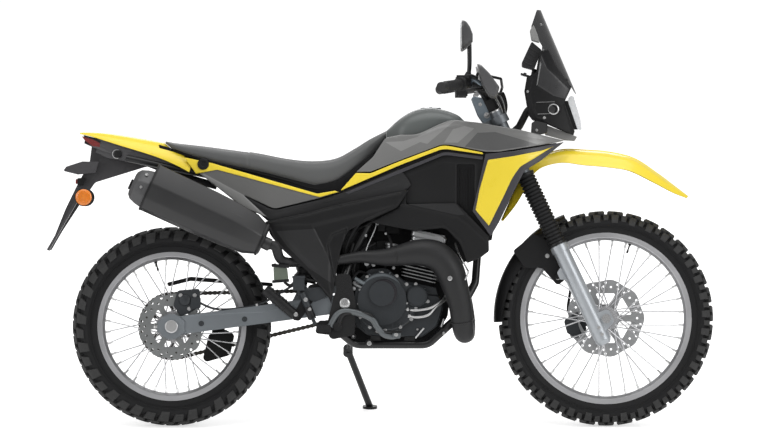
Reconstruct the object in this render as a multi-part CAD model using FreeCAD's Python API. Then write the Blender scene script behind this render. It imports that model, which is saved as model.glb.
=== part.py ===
"""Dual sport motorcycle, parked on its side stand. Millimetres.

The machine is modelled upright, with X forward from the rear axle, Y to the rider's left and Z up
from the floor line under its middle plane. At the end every piece leans over on the side stand and
moves so that the origin is the bottom centre of the whole machine's box.
"""

import FreeCAD, Part

import math
import os

# Driving dimensions
WHEELBASE = 1425.0
LEAN_DEG = 10.0
RAKE_DEG = 25.3
AXLE_LEAD = 39.0
YOKE_OFFSET = 30.0
FORK_HALF_SPAN = 95.0

FRONT_TYRE_R = 353.0
FRONT_TYRE_HALF_WIDTH = 46.0
FRONT_CROWN_R = 50.0
FRONT_RIM_R = 282.0
FRONT_RIM_HALF_WIDTH = 25.0
FRONT_DISC_R = 128.0

REAR_TYRE_R = 326.5
REAR_TYRE_HALF_WIDTH = 61.0
REAR_CROWN_R = 70.0
REAR_RIM_R = 245.0
REAR_RIM_HALF_WIDTH = 33.0
REAR_DISC_R = 110.0

TYRE_WALL = 9.0
TYRE_SHOULDER_DEG = 46.0
RIM_DEPTH = 26.0
RIM_LIP = 4.0
RIM_SEAT_DROP = 14.0
SPOKES_A_SIDE = 18
SPOKE_R = 2.0
SPOKE_CROSSING_DEG = 32.0
SEAT_GAP = 0.3
RUNNING_GAP = 0.05
MOVING_GAP = 6.0
DISC_THICK = 4.0
DISC_LOBES = 9

FRONT_HUB_R = 26.0
FRONT_FLANGE_R = 40.0
FRONT_FLANGE_Y = 30.0
FRONT_AXLE_R = 9.0
FRONT_DISC_Y = 56.0
REAR_HUB_R = 34.0
REAR_FLANGE_R = 50.0
REAR_FLANGE_Y = 34.0
REAR_AXLE_R = 10.0
REAR_DISC_Y = -74.0
FLANGE_THICK = 6.0

CHAIN_Y = 78.0
CHAIN_PITCH = 15.875
REAR_TEETH = 42
FRONT_TEETH = 14
CHAIN_HALF_WIDTH = 9.0
CHAIN_PLATE_HALF = 7.4
CHAIN_PLATE_THICK = 3.0
SPROCKET_THICK = 6.0
FRONT_SPROCKET_X = 652.0
FRONT_SPROCKET_Z = 412.0

SWINGARM_PIVOT_X = 568.0
SWINGARM_PIVOT_Z = 404.0
SWINGARM_Y = 111.0
SWINGARM_HALF_THICK = 13.0
SWINGARM_HALF_HEIGHT = 30.0
SWINGARM_BRACE_X = 372.0
PIVOT_R = 12.0

LEG_R = 27.0
LEG_BOTTOM = -60.0
LEG_TOP = 286.0
TUBE_R = 21.0
TUBE_TOP = 768.0
GAITER_TOP = 545.0
GAITER_R = 29.0
GAITER_GROOVE = 4.0
GAITER_PITCH = 12.0
LOWER_YOKE = 596.0
UPPER_YOKE = 738.0
YOKE_THICK = 26.0
YOKE_LOBE_R = 31.0
YOKE_BOSS_R = 26.0
HEAD_TUBE_R = 27.0

BAR_R = 11.0
HOSE_R = 4.5
GRIP_R = 16.0
PANEL_THICK = 3.0

STAND_PIVOT = (578.0, 112.0, 246.0)
STAND_FOOT = (650.0, 305.0)
STAND_LEG_R = 11.0
STAND_FOOT_R = 24.0
STAND_FOOT_THICK = 8.0
STAND_AXIS_TILT_DEG = 28.0

ORIGIN = FreeCAD.Vector(0, 0, 0)
X_AXIS = FreeCAD.Vector(1, 0, 0)
Y_AXIS = FreeCAD.Vector(0, 1, 0)
Z_AXIS = FreeCAD.Vector(0, 0, 1)

# Both tyres touch the leaning floor, so each axle stands a little above its tyre's radius.
LEAN_LIFT = 1.0 / math.cos(math.radians(LEAN_DEG)) - 1.0
REAR_AXLE_Z = REAR_TYRE_R + REAR_CROWN_R * LEAN_LIFT
FRONT_AXLE_Z = FRONT_TYRE_R + FRONT_CROWN_R * LEAN_LIFT
REAR_AXLE = FreeCAD.Vector(0, 0, REAR_AXLE_Z)
FRONT_AXLE = FreeCAD.Vector(WHEELBASE, 0, FRONT_AXLE_Z)


def vec(x, y, z):
    return FreeCAD.Vector(x, y, z)


# Shapes used all over


def mirrored(shape):
    """The same piece on the other side of the middle plane."""
    return shape.mirror(ORIGIN, Y_AXIS)


def mirrored_point(point):
    return vec(point.x, -point.y, point.z)


def both_sides(shape):
    return [shape, mirrored(shape)]


def fused(shapes):
    first, *rest = shapes
    return first.multiFuse(rest).removeSplitter() if rest else first


def rod(start, end, radius):
    along = end - start
    return Part.makeCylinder(radius, along.Length, start, along)


def disc_on_y(x, z, radius, y_from, y_to):
    return Part.makeCylinder(radius, y_to - y_from, vec(x, y_from, z), Y_AXIS)


def rounded_wire(corners, place):
    """A closed wire through (u, v) or (u, v, radius) corners, set in space by place(u, v)."""
    count = len(corners)
    arcs = []
    for i, corner in enumerate(corners):
        here = FreeCAD.Vector(corner[0], corner[1], 0)
        back = FreeCAD.Vector(*corners[i - 1][:2], 0) - here
        ahead = FreeCAD.Vector(*corners[(i + 1) % count][:2], 0) - here
        radius = corner[2] if len(corner) > 2 else 0
        if not radius:
            arcs.append((here, None, here))
            continue
        half = back.getAngle(ahead) / 2
        reach = min(radius / math.tan(half), 0.48 * min(back.Length, ahead.Length))
        radius = reach * math.tan(half)
        back.normalize()
        ahead.normalize()
        middle = back + ahead
        middle.normalize()
        centre = here + middle * (radius / math.sin(half))
        arcs.append((here + back * reach, centre - middle * radius, here + ahead * reach))
    edges = []
    for i, (start, through, end) in enumerate(arcs):
        if through is not None:
            edges.append(Part.Arc(*(place(p.x, p.y) for p in (start, through, end))).toShape())
        following = arcs[(i + 1) % count][0]
        if (following - end).Length > 1e-6:
            edges.append(Part.makeLine(place(end.x, end.y), place(following.x, following.y)))
    return Part.Wire(edges)


def side_prism(corners, y_from, y_to):
    """An outline in the side view, (x, z) or (x, z, radius), made solid between two Y planes."""
    wire = rounded_wire(corners, lambda u, v: vec(u, y_from, v))
    return Part.Face(wire).extrude(vec(0, y_to - y_from, 0))


def bent_rod(points, radius, bend):
    """A round bar along straight runs joined by arcs of the bend radius."""
    edges = []
    start = points[0]
    for i in range(1, len(points) - 1):
        here = points[i]
        back = points[i - 1] - here
        ahead = points[i + 1] - here
        half = back.getAngle(ahead) / 2
        reach = min(bend / math.tan(half), 0.45 * min(back.Length, ahead.Length))
        back.normalize()
        ahead.normalize()
        middle = back + ahead
        middle.normalize()
        arc_r = reach * math.tan(half)
        centre = here + middle * (arc_r / math.sin(half))
        first = here + back * reach
        last = here + ahead * reach
        edges.append(Part.makeLine(start, first))
        edges.append(Part.Arc(first, centre - middle * arc_r, last).toShape())
        start = last
    edges.append(Part.makeLine(start, points[-1]))
    spine = Part.Wire(edges)
    along = points[1] - points[0]
    section = Part.Wire([Part.makeCircle(radius, points[0], along)])
    return spine.makePipeShell([section], True, False)


def turned(profile, axle):
    """A ring turned about a wheel's axle from (radius, y) or (radius, y, corner radius) corners."""
    wire = rounded_wire(profile, lambda r, y: vec(axle.x, y, axle.z + r))
    return Part.Face(wire).revolve(axle, Y_AXIS, 360)


def through(stations, x):
    """A smooth curve through (x, value) stations, read at x."""
    if x <= stations[0][0]:
        return stations[0][1]
    if x >= stations[-1][0]:
        return stations[-1][1]
    k = next(i for i in range(len(stations) - 1) if x <= stations[i + 1][0])
    (x0, a), (x1, b) = stations[k], stations[k + 1]

    def slope(i):
        low, high = max(i - 1, 0), min(i + 1, len(stations) - 1)
        return (stations[high][1] - stations[low][1]) / (stations[high][0] - stations[low][0])

    run = x1 - x0
    t = (x - x0) / run
    ease = t * t * (3 - 2 * t)
    return (
        a * (1 - ease)
        + b * ease
        + slope(k) * run * t * (1 - t) ** 2
        - slope(k + 1) * run * t * t * (1 - t)
    )


def smooth_wire(points):
    curve = Part.BSplineCurve()
    curve.interpolate(Points=points, PeriodicFlag=True)
    return Part.Wire([curve.toShape()])


def oval(place, half_width, low, high, square=3.0, count=16):
    """A closed smooth section: a rounded box of that half width between two heights."""
    middle, half_height = (low + high) / 2, (high - low) / 2
    points = []
    for i in range(count):
        angle = 2 * math.pi * (i + 0.5) / count
        c, s = math.cos(angle), math.sin(angle)
        across = math.copysign(abs(c) ** (2 / square), c) * half_width
        up = math.copysign(abs(s) ** (2 / square), s) * half_height
        points.append(place(across, middle + up))
    return smooth_wire(points)


def loft(wires, ruled=False):
    return Part.makeLoft(wires, True, ruled)


def pipe_of_rings(rings):
    """A round body through (centre, radius) rings, each ring square to the way through it."""
    wires = []
    for i, (centre, radius) in enumerate(rings):
        before = rings[max(i - 1, 0)][0]
        after = rings[min(i + 1, len(rings) - 1)][0]
        wires.append(Part.Wire([Part.makeCircle(radius, centre, after - before)]))
    return loft(wires)


def moved(shape, way):
    shifted = shape.copy()
    shifted.translate(way)
    return shifted


def seated(post, body, way):
    """A post cut short where the body begins, with the seat gap between them.

    The way is the unit direction from the body back along the post. The post's own mirror image
    on the other side of the machine stays clear of the body too.
    """
    rest = post.cut(moved(body, way * SEAT_GAP)).cut(moved(mirrored(body), way * SEAT_GAP))
    return max(rest.Solids, key=lambda piece: piece.Volume)


def trough(stations, thickness, power=3.0, count=9):
    """A curved shell, open below, through (x, z, slope, half width, drop) stations.

    Each section arches over the middle plane, square to the path's slope in degrees, and its edges
    hang lower than its crown by the drop.
    """
    wires = []
    for x, z, slope, half_width, drop in stations:
        up = vec(-math.sin(math.radians(slope)), 0, math.cos(math.radians(slope)))
        crown = vec(x, 0, z)
        rows = []
        for depth in (0.0, thickness):
            width = half_width - depth
            row = []
            for i in range(count):
                share = 2 * i / (count - 1) - 1
                fall = (drop - depth) * abs(share) ** power
                row.append(crown + vec(0, width * share, 0) - up * (fall + depth))
            rows.append(row)
        outer, inner = Part.BSplineCurve(), Part.BSplineCurve()
        outer.interpolate(rows[0])
        inner.interpolate(rows[1][::-1])
        wires.append(
            Part.Wire(
                [
                    outer.toShape(),
                    Part.makeLine(rows[0][-1], rows[1][-1]),
                    inner.toShape(),
                    Part.makeLine(rows[1][0], rows[0][0]),
                ]
            )
        )
    return loft(wires)


def flank_panel(corners, half_width, thickness=PANEL_THICK, columns=9, rows=5, margin=4.0):
    """A left side panel: a curved skin at y = half_width(x, z), cut to an outline in side view."""
    x_low, x_high = min(c[0] for c in corners) - margin, max(c[0] for c in corners) + margin
    z_low, z_high = min(c[1] for c in corners) - margin, max(c[1] for c in corners) + margin
    grid = []
    for i in range(columns):
        x = x_low + (x_high - x_low) * i / (columns - 1)
        heights = [z_low + (z_high - z_low) * j / (rows - 1) for j in range(rows)]
        grid.append([vec(x, half_width(x, z), z) for z in heights])
    surface = Part.BSplineSurface()
    surface.interpolate(grid)
    skin = surface.toShape().extrude(vec(0, -thickness, 0))
    return skin.common(side_prism(corners, 0, 400))


# The body's half width by length, and the height at which it is widest.
FLANK_WIDTHS = (
    (-320, 40),
    (-100, 80),
    (100, 104),
    (350, 122),
    (560, 118),
    (720, 132),
    (900, 156),
    (1050, 170),
    (1180, 158),
    (1300, 92),
)
FLANK_RIDGE = ((-320, 940), (0, 860), (400, 740), (700, 800), (1000, 830), (1300, 930))
SIDE_COVER_WIDTHS = ((300, 124), (380, 138), (430, 146), (560, 149), (780, 141))
FLANK_FALL_ABOVE = 7.0
FLANK_FALL_BELOW = 2.0


def flank(x, z):
    above = (z - through(FLANK_RIDGE, x)) / 100.0
    fall = FLANK_FALL_ABOVE if above > 0 else FLANK_FALL_BELOW
    return through(FLANK_WIDTHS, x) - fall * above * above


def side_cover_flank(x, z):
    bulge = 1.0 - ((z - 560) / 300.0) ** 2
    return through(SIDE_COVER_WIDTHS, x) + 3.0 * bulge


def flank_inset(depth):
    return lambda x, z: flank(x, z) - depth


# Wheels


def tyre(axle, radius, half_width, crown_r, rim_r, rim_half_width):
    """A hollow tyre with a round crown, full sidewalls and beads that sit on the rim."""
    wall = TYRE_WALL
    bead_r = rim_r - RIM_SEAT_DROP + SEAT_GAP
    bead_y = rim_half_width - RIM_LIP - SEAT_GAP
    shoulder = math.radians(TYRE_SHOULDER_DEG)
    shoulder_y = min(crown_r * math.sin(shoulder), half_width - 4.0)
    shoulder_r = radius - crown_r + math.sqrt(crown_r**2 - shoulder_y**2)
    wall_r = (rim_r + radius) / 2 + 2.0
    lip_r, lip_y = rim_r + 1.5, rim_half_width + 1.0

    def at(r, y):
        return vec(axle.x, y, axle.z + r)

    lines = []
    arcs = [
        Part.Arc(at(shoulder_r, -shoulder_y), at(radius, 0), at(shoulder_r, shoulder_y)),
        Part.Arc(
            at(shoulder_r - wall, wall - shoulder_y),
            at(radius - wall - 4.0, 0),
            at(shoulder_r - wall, shoulder_y - wall),
        ),
    ]
    for side in (1, -1):
        outside = [
            at(shoulder_r, side * shoulder_y),
            at(wall_r, side * half_width),
            at(lip_r, side * lip_y),
        ]
        inside = [
            at(lip_r + 6.0, side * (bead_y - wall)),
            at(wall_r - 6.0, side * (half_width - wall)),
            at(shoulder_r - wall, side * (shoulder_y - wall)),
        ]
        corners = [outside[-1], at(lip_r, side * bead_y), at(bead_r, side * bead_y)]
        corners += [at(bead_r, side * (bead_y - wall)), inside[0]]
        arcs += [Part.Arc(*outside), Part.Arc(*inside)]
        lines += [Part.makeLine(a, b) for a, b in zip(corners, corners[1:])]
    wire = Part.Wire(Part.__sortEdges__([*(arc.toShape() for arc in arcs), *lines]))
    return Part.Face(wire).revolve(axle, Y_AXIS, 360)


def rim(axle, radius, half_width):
    """A drop-centre rim with a lip on each side for the tyre's bead."""
    seat_r = radius - RIM_SEAT_DROP
    well_r = radius - RIM_DEPTH
    floor = 3.0
    well_y = half_width * 0.45
    profile = [
        (radius, -half_width, 1.2),
        (radius, -half_width + RIM_LIP, 1.2),
        (seat_r, -half_width + RIM_LIP),
        (well_r + floor, -well_y, 3),
        (well_r + floor, well_y, 3),
        (seat_r, half_width - RIM_LIP),
        (radius, half_width - RIM_LIP, 1.2),
        (radius, half_width, 1.2),
        (seat_r - floor, half_width, 3),
        (well_r, well_y, 3),
        (well_r, -well_y, 3),
        (seat_r - floor, -half_width, 3),
    ]
    return turned(profile, axle)


def spoke_ends(axle, flange_r, flange_y, rim_inner_r, index, side):
    """Where one spoke leaves its hub flange and where it meets the rim."""
    step = 360.0 / SPOKES_A_SIDE
    sweep = SPOKE_CROSSING_DEG if index % 2 else -SPOKE_CROSSING_DEG
    stagger = step / 4 if side > 0 else -step / 4
    rim_angle = math.radians(index * step + stagger)
    hub_angle = rim_angle + math.radians(sweep)
    layer = 2.4 if index % 2 else -2.4
    hub_y = side * (flange_y + layer)
    rim_y = side * 5.0

    def at(radius, angle, y):
        return vec(axle.x + radius * math.sin(angle), y, axle.z + radius * math.cos(angle))

    return at(flange_r - 4.0, hub_angle, hub_y), at(rim_inner_r - 3 * SEAT_GAP, rim_angle, rim_y)


def spoked_hub(axle, hub_r, flange_r, flange_y, bore_r, y_left, y_right, rim_inner_r):
    """A hub turned from bar, with two flanges and the spokes that they carry."""
    barrel = Part.makeCylinder(hub_r, y_left - y_right, axle + vec(0, y_right, 0), Y_AXIS)
    pieces = [barrel]
    for side in (1, -1):
        centre = side * flange_y
        pieces.append(disc_on_y(axle.x, axle.z, flange_r, centre - FLANGE_THICK / 2, centre + FLANGE_THICK / 2))
        for index in range(SPOKES_A_SIDE):
            hub_end, rim_end = spoke_ends(axle, flange_r, flange_y, rim_inner_r, index, side)
            pieces.append(rod(hub_end, rim_end, SPOKE_R))
    bore = Part.makeCylinder(bore_r + RUNNING_GAP, 400, axle - vec(0, 200, 0), Y_AXIS)
    return fused(pieces).cut(bore)


def brake_disc(axle, radius, y, inner_r, carrier_r, lobes, hole_rows):
    """A wave-edged brake disc: a drilled ring on a carrier with windows between its arms."""
    points = []
    count = lobes * 6
    for i in range(count):
        angle = 2 * math.pi * i / count
        r = radius - 3.0 * (1 - math.cos(lobes * angle))
        points.append(vec(axle.x + r * math.cos(angle), y - DISC_THICK / 2, axle.z + r * math.sin(angle)))
    plate = Part.Face(smooth_wire(points)).extrude(vec(0, DISC_THICK, 0))
    windows = []
    arms = 6
    for i in range(arms):
        middle = 2 * math.pi * (i + 0.5) / arms
        spread = math.pi / arms * 0.74
        corners = []
        for r, a in ((carrier_r + 8, -1), (inner_r - 4, -1), (inner_r - 4, 1), (carrier_r + 8, 1)):
            angle = middle + a * spread * (1.0 if r > carrier_r + 9 else 0.8)
            corners.append((axle.x + r * math.cos(angle), axle.z + r * math.sin(angle), 4.0))
        windows.append(side_prism(corners, y - DISC_THICK, y + DISC_THICK))
    for row_r, hole_r, per_lobe, turn in hole_rows:
        for i in range(lobes * per_lobe):
            angle = 2 * math.pi * (i + turn) / (lobes * per_lobe)
            x, z = axle.x + row_r * math.cos(angle), axle.z + row_r * math.sin(angle)
            windows.append(disc_on_y(x, z, hole_r, y - DISC_THICK, y + DISC_THICK))
    return plate, windows


def sprocket_radius(teeth):
    return CHAIN_PITCH / (2 * math.sin(math.pi / teeth))


def sprocket(axle, teeth, y, bore_r, windows):
    """A toothed wheel whose tooth tips stay clear below the fixed chain's rollers."""
    tip = sprocket_radius(teeth) - CHAIN_PLATE_HALF - 1.0
    root = tip - 6.0
    corners = []
    for i in range(teeth):
        for share, r in ((0.0, root), (0.28, root), (0.5, tip), (0.72, tip)):
            angle = 2 * math.pi * (i + share) / teeth
            corners.append((axle.x + r * math.cos(angle), axle.z + r * math.sin(angle)))
    plate = side_prism(corners, y - SPROCKET_THICK / 2, y + SPROCKET_THICK / 2)
    cuts = [disc_on_y(axle.x, axle.z, bore_r, y - SPROCKET_THICK, y + SPROCKET_THICK)]
    for i in range(windows):
        angle = 2 * math.pi * i / windows
        middle_r = (bore_r + root) / 2 + 2.0
        x, z = axle.x + middle_r * math.cos(angle), axle.z + middle_r * math.sin(angle)
        cuts.append(disc_on_y(x, z, (root - bore_r) / 2 - 7.0, y - SPROCKET_THICK, y + SPROCKET_THICK))
    return plate.cut(Part.makeCompound(cuts))


def front_wheel():
    rim_inner = FRONT_RIM_R - RIM_DEPTH
    carrier_y = FRONT_DISC_Y - DISC_THICK / 2
    hub = spoked_hub(
        FRONT_AXLE, FRONT_HUB_R, FRONT_FLANGE_R, FRONT_FLANGE_Y, FRONT_AXLE_R, carrier_y, -48.0, rim_inner
    )
    rows = ((117.0, 4.0, 2, 0.5), (104.0, 3.6, 3, 0.0))
    plate, cuts = brake_disc(FRONT_AXLE, FRONT_DISC_R, FRONT_DISC_Y, 92.0, 40.0, DISC_LOBES, rows)
    bore = disc_on_y(FRONT_AXLE.x, FRONT_AXLE.z, 20.0, FRONT_DISC_Y - 9, FRONT_DISC_Y + 9)
    return {
        "front_tyre": tyre(
            FRONT_AXLE, FRONT_TYRE_R, FRONT_TYRE_HALF_WIDTH, FRONT_CROWN_R, FRONT_RIM_R, FRONT_RIM_HALF_WIDTH
        ),
        "front_rim": rim(FRONT_AXLE, FRONT_RIM_R, FRONT_RIM_HALF_WIDTH),
        "front_hub": hub,
        "front_disc": plate.cut(Part.makeCompound([*cuts, bore])),
    }


def rear_wheel():
    rim_inner = REAR_RIM_R - RIM_DEPTH
    disc_face = REAR_DISC_Y + DISC_THICK / 2
    sprocket_face = CHAIN_Y - SPROCKET_THICK / 2
    hub = spoked_hub(
        REAR_AXLE, REAR_HUB_R, REAR_FLANGE_R, REAR_FLANGE_Y, REAR_AXLE_R, sprocket_face, disc_face, rim_inner
    )
    rows = ((99.0, 4.0, 2, 0.5), (87.0, 3.4, 2, 0.0))
    plate, cuts = brake_disc(REAR_AXLE, REAR_DISC_R, REAR_DISC_Y, 76.0, 34.0, DISC_LOBES, rows)
    bore = disc_on_y(REAR_AXLE.x, REAR_AXLE.z, 22.0, REAR_DISC_Y - 9, REAR_DISC_Y + 9)
    return {
        "rear_tyre": tyre(
            REAR_AXLE, REAR_TYRE_R, REAR_TYRE_HALF_WIDTH, REAR_CROWN_R, REAR_RIM_R, REAR_RIM_HALF_WIDTH
        ),
        "rear_rim": rim(REAR_AXLE, REAR_RIM_R, REAR_RIM_HALF_WIDTH),
        "rear_hub": hub,
        "rear_disc": plate.cut(Part.makeCompound([*cuts, bore])),
        "rear_sprocket": sprocket(REAR_AXLE, REAR_TEETH, CHAIN_Y, 26.0, 6),
    }


# The steered front end, drawn along the fork and then laid back to the rake

FORK_FOOT = FRONT_AXLE - vec(
    AXLE_LEAD * math.cos(math.radians(RAKE_DEG)), 0, AXLE_LEAD * math.sin(math.radians(RAKE_DEG))
)
FORK_PLACEMENT = FreeCAD.Placement(FORK_FOOT, FreeCAD.Rotation(Y_AXIS, -RAKE_DEG))


def on_fork(shape):
    """Moves a piece drawn with Z along the fork and X ahead of it into the machine."""
    moved = shape.copy()
    moved.Placement = FORK_PLACEMENT.multiply(moved.Placement)
    return moved


def fork_point(x, y, z):
    """A point given ahead of, beside and up the fork, in the machine."""
    return FORK_PLACEMENT.multVec(vec(x, y, z))


def in_fork(point):
    """A point of the machine, given ahead of, beside and up the fork."""
    return FORK_PLACEMENT.inverse().multVec(point)


def fork_yokes():
    """Two yokes clamp the fork's steel tubes, and a stem turns in the head tube between them."""
    pieces = []
    for height in (LOWER_YOKE, UPPER_YOKE):
        low = height - YOKE_THICK / 2
        bridge = Part.makeBox(
            62, 2 * FORK_HALF_SPAN, YOKE_THICK, vec(-YOKE_OFFSET - 24, -FORK_HALF_SPAN, low)
        )
        lobes = [
            Part.makeCylinder(YOKE_LOBE_R, YOKE_THICK, vec(0, side * FORK_HALF_SPAN, low))
            for side in (1, -1)
        ]
        boss = Part.makeCylinder(YOKE_BOSS_R, YOKE_THICK, vec(-YOKE_OFFSET, 0, low))
        pieces += [bridge, boss, *lobes]
    stem = Part.makeCylinder(
        STEM_R, UPPER_YOKE - LOWER_YOKE + 2 * YOKE_THICK, vec(-YOKE_OFFSET, 0, LOWER_YOKE - YOKE_THICK / 2)
    )
    nut = Part.makeCylinder(16, 9, vec(-YOKE_OFFSET, 0, UPPER_YOKE + YOKE_THICK / 2))
    tubes = [
        Part.makeCylinder(TUBE_R, TUBE_TOP - LEG_TOP - SEAT_GAP, vec(0, side * FORK_HALF_SPAN, LEG_TOP + SEAT_GAP))
        for side in (1, -1)
    ]
    posts = [
        rod(fork_point(ahead, side * 34, LOWER_YOKE), fork_point(ahead, side * 34, LOWER_YOKE - 60), 8)
        for ahead in (-34.0, 22.0)
        for side in (1, -1)
    ]
    up = fork_point(0, 0, 1) - fork_point(0, 0, 0)
    shell = high_fender()
    return fused([on_fork(fused([*pieces, stem, nut, *tubes])), *[seated(post, shell, up) for post in posts]])


def gaiter(side):
    """A ribbed rubber sleeve over one fork tube."""
    count = int((GAITER_TOP - LEG_TOP) / GAITER_PITCH)
    pitch = (GAITER_TOP - LEG_TOP - 2 * SEAT_GAP) / count
    low = LEG_TOP + SEAT_GAP
    corners = [(TUBE_R + SEAT_GAP, low), (GAITER_R, low)]
    for i in range(count):
        base = low + i * pitch
        corners += [
            (GAITER_R, base + 0.55 * pitch),
            (GAITER_R - GAITER_GROOVE, base + 0.7 * pitch),
            (GAITER_R - GAITER_GROOVE, base + 0.85 * pitch),
            (GAITER_R, base + pitch),
        ]
    corners.append((TUBE_R + SEAT_GAP, low + count * pitch))
    wire = rounded_wire(corners, lambda r, z: vec(r, side * FORK_HALF_SPAN, z))
    centre = vec(0, side * FORK_HALF_SPAN, 0)
    return on_fork(Part.Face(wire).revolve(centre, Z_AXIS, 360))


def fork_lower(side):
    """One cast lower leg, with its axle lug ahead of it and a lug for the mudguard behind it."""
    y = side * FORK_HALF_SPAN
    leg = Part.makeCylinder(LEG_R, LEG_TOP - LEG_BOTTOM, vec(0, y, LEG_BOTTOM))
    foot = Part.makeCone(LEG_R, LEG_R - 8, 14, vec(0, y, LEG_BOTTOM), -Z_AXIS)
    collar = Part.makeCylinder(LEG_R + 3, 22, vec(0, y, LEG_TOP - 24))
    half = 17.0
    lug = side_prism(
        [(-6, 32, 6), (AXLE_LEAD + 20, 26, 14), (AXLE_LEAD + 20, -20, 14), (-6, -46, 6)], y - half, y + half
    )
    bore = disc_on_y(AXLE_LEAD, 0, FRONT_AXLE_R + RUNNING_GAP, y - 60, y + 60)
    arm = side_prism([(-LEG_R - 16, 205, 6), (-10, 225), (-10, 165), (-LEG_R - 16, 180, 6)], y - 9, y + 9)
    return on_fork(fused([leg, foot, collar, lug, arm]).cut(bore))


def front_axle():
    reach = FORK_HALF_SPAN + 24.0
    shaft = Part.makeCylinder(FRONT_AXLE_R, 2 * reach, FRONT_AXLE - vec(0, reach, 0), Y_AXIS)
    heads = [disc_on_y(FRONT_AXLE.x, FRONT_AXLE.z, 15, y, y + 8) for y in (reach - 7, -reach - 1)]
    spacers = []
    for start, end in ((FRONT_DISC_Y + 8, FORK_HALF_SPAN - 18), (-FORK_HALF_SPAN + 18, -50.0)):
        spacers.append(disc_on_y(FRONT_AXLE.x, FRONT_AXLE.z, 15, start, end))
    return fused([shaft, *heads, *spacers])


HIGH_FENDER = (
    (1080, 672, 68, 58, 14),
    (1112, 760, 66, 60, 20),
    (1150, 836, 52, 62, 26),
    (1200, 880, 30, 68, 34),
    (1275, 909, 8, 80, 44),
    (1360, 908, -3, 92, 50),
    (1440, 901, -8, 98, 50),
    (1520, 880, -24, 96, 46),
    (1600, 828, -36, 84, 34),
    (1660, 783, -37, 62, 22),
    (1697, 755, -37, 34, 10),
)


def high_fender():
    """The tall front mudguard, bolted under the lower yoke."""
    shell = trough(HIGH_FENDER, 3.5, power=3.2)
    slots = [
        on_fork(Part.makeCylinder(GAITER_R + 6, 120, vec(0, side * FORK_HALF_SPAN, LOWER_YOKE - 130)))
        for side in (1, -1)
    ]
    return shell.cut(Part.makeCompound(slots))


def low_mudguard():
    """The black guard that hugs the back of the front tyre, with an arm to each fork leg."""
    stations = []
    guard_r = FRONT_TYRE_R + 16.0
    for angle in (112, 126, 140, 154, 168, 182):
        a = math.radians(angle)
        x, z = FRONT_AXLE.x + guard_r * math.cos(a), FRONT_AXLE.z + guard_r * math.sin(a)
        width = through(((112, 46), (140, 58), (182, 50)), angle)
        stations.append((x, z, angle - 90, width, through(((112, 20), (140, 44), (182, 26)), angle)))
    shell = trough(stations, 3.0, power=3.4)
    corners = [
        (1120, 575, 10), (1190, 632, 8), (1236, 606, 12), (1260, 560, 8),
        (1290, 480, 10), (1266, 462, 10), (1215, 520, 30), (1158, 520, 10),
    ]
    plate_y = 60.0
    arm = side_prism(corners, plate_y - 3, plate_y)
    pads = [
        rod(fork_point(-LEG_R - 20, plate_y - 3, z), fork_point(-LEG_R - 20, FORK_HALF_SPAN - 9, z), 8)
        for z in (192.0,)
    ]
    wings = []
    for side_shape in (arm, *pads):
        wings += both_sides(side_shape)
    return fused([shell, *wings])


BAR_CENTRE = vec(1035, 0, 1081)
BAR_BEND = vec(988, 195, 1126)
BAR_END = vec(884, 408, 1110)


def handlebar():
    """The braced tube bar in its two clamps on the upper yoke."""
    inner = vec(BAR_CENTRE.x, 70, BAR_CENTRE.z)
    points = [BAR_END, BAR_BEND, inner]
    path = points + [vec(p.x, -p.y, p.z) for p in reversed(points)]
    bar = bent_rod(path, BAR_R, 55)
    brace_at = inner + (BAR_BEND - inner) * 0.42
    brace = rod(vec(brace_at.x, -brace_at.y, brace_at.z), brace_at, 6)
    centre = in_fork(BAR_CENTRE)
    low = UPPER_YOKE + YOKE_THICK / 2 + SEAT_GAP
    corners = [
        (centre.x - 17, low, 3),
        (centre.x + 21, low, 3),
        (centre.x + 19, centre.z + 17, 9),
        (centre.x - 17, centre.z + 17, 9),
    ]
    clamps = [on_fork(side_prism(corners, y - 15, y + 15)) for y in (45.0, -45.0)]
    return fused([bar, brace, *clamps])


def grip_point(share, ahead=0.0, up=0.0):
    """A point along the left grip, from its inner end at 0 to the bar's end at 1."""
    inner = BAR_BEND + (BAR_END - BAR_BEND) * 0.42
    return inner + (BAR_END - inner) * share + vec(ahead, 0, up)


def grip():
    """One rubber grip with a flange, over the bar's end."""
    inner, outer = grip_point(0.0), grip_point(1.0)
    along = outer - inner
    along.normalize()
    sleeve = rod(inner, outer + along * 6, GRIP_R)
    flange = rod(inner, inner + along * 5, GRIP_R + 7)
    bar_hole = rod(inner - along * 5, outer + along * 0.4, BAR_R + SEAT_GAP)
    return fused([sleeve, flange]).cut(bar_hole)


PERCH_R = 17.0


def perch_centre():
    """Where the lever perch clamps the left side of the bar."""
    along = BAR_END - BAR_BEND
    along.normalize()
    return grip_point(0.0) - along * 56


def bar_controls():
    """Grip, switch housing, lever perch and lever at the left end of the bar."""
    along = BAR_END - BAR_BEND
    along.normalize()
    inner = grip_point(0.0)
    hole = rod(inner - along * 120, inner + along * 5, BAR_R + SEAT_GAP)
    housing = rod(inner - along * 40, inner - along * 1, 22)
    perch = rod(perch_centre() - along * 12, perch_centre() + along * 16.3, PERCH_R)
    post = rod(perch_centre(), perch_centre() + vec(52, 0, -14), 9)
    knuckle = rod(perch_centre() + vec(52, 0, -26), perch_centre() + vec(52, 0, -2), 11)
    lever = bent_rod(
        [
            perch_centre() + vec(52, 0, -14),
            perch_centre() + vec(44, 60, -18),
            perch_centre() + vec(-2, 188, -24),
        ],
        5.5,
        60,
    )
    return [grip(), fused([housing, perch, post, knuckle, lever]).cut(hole)]


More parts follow.
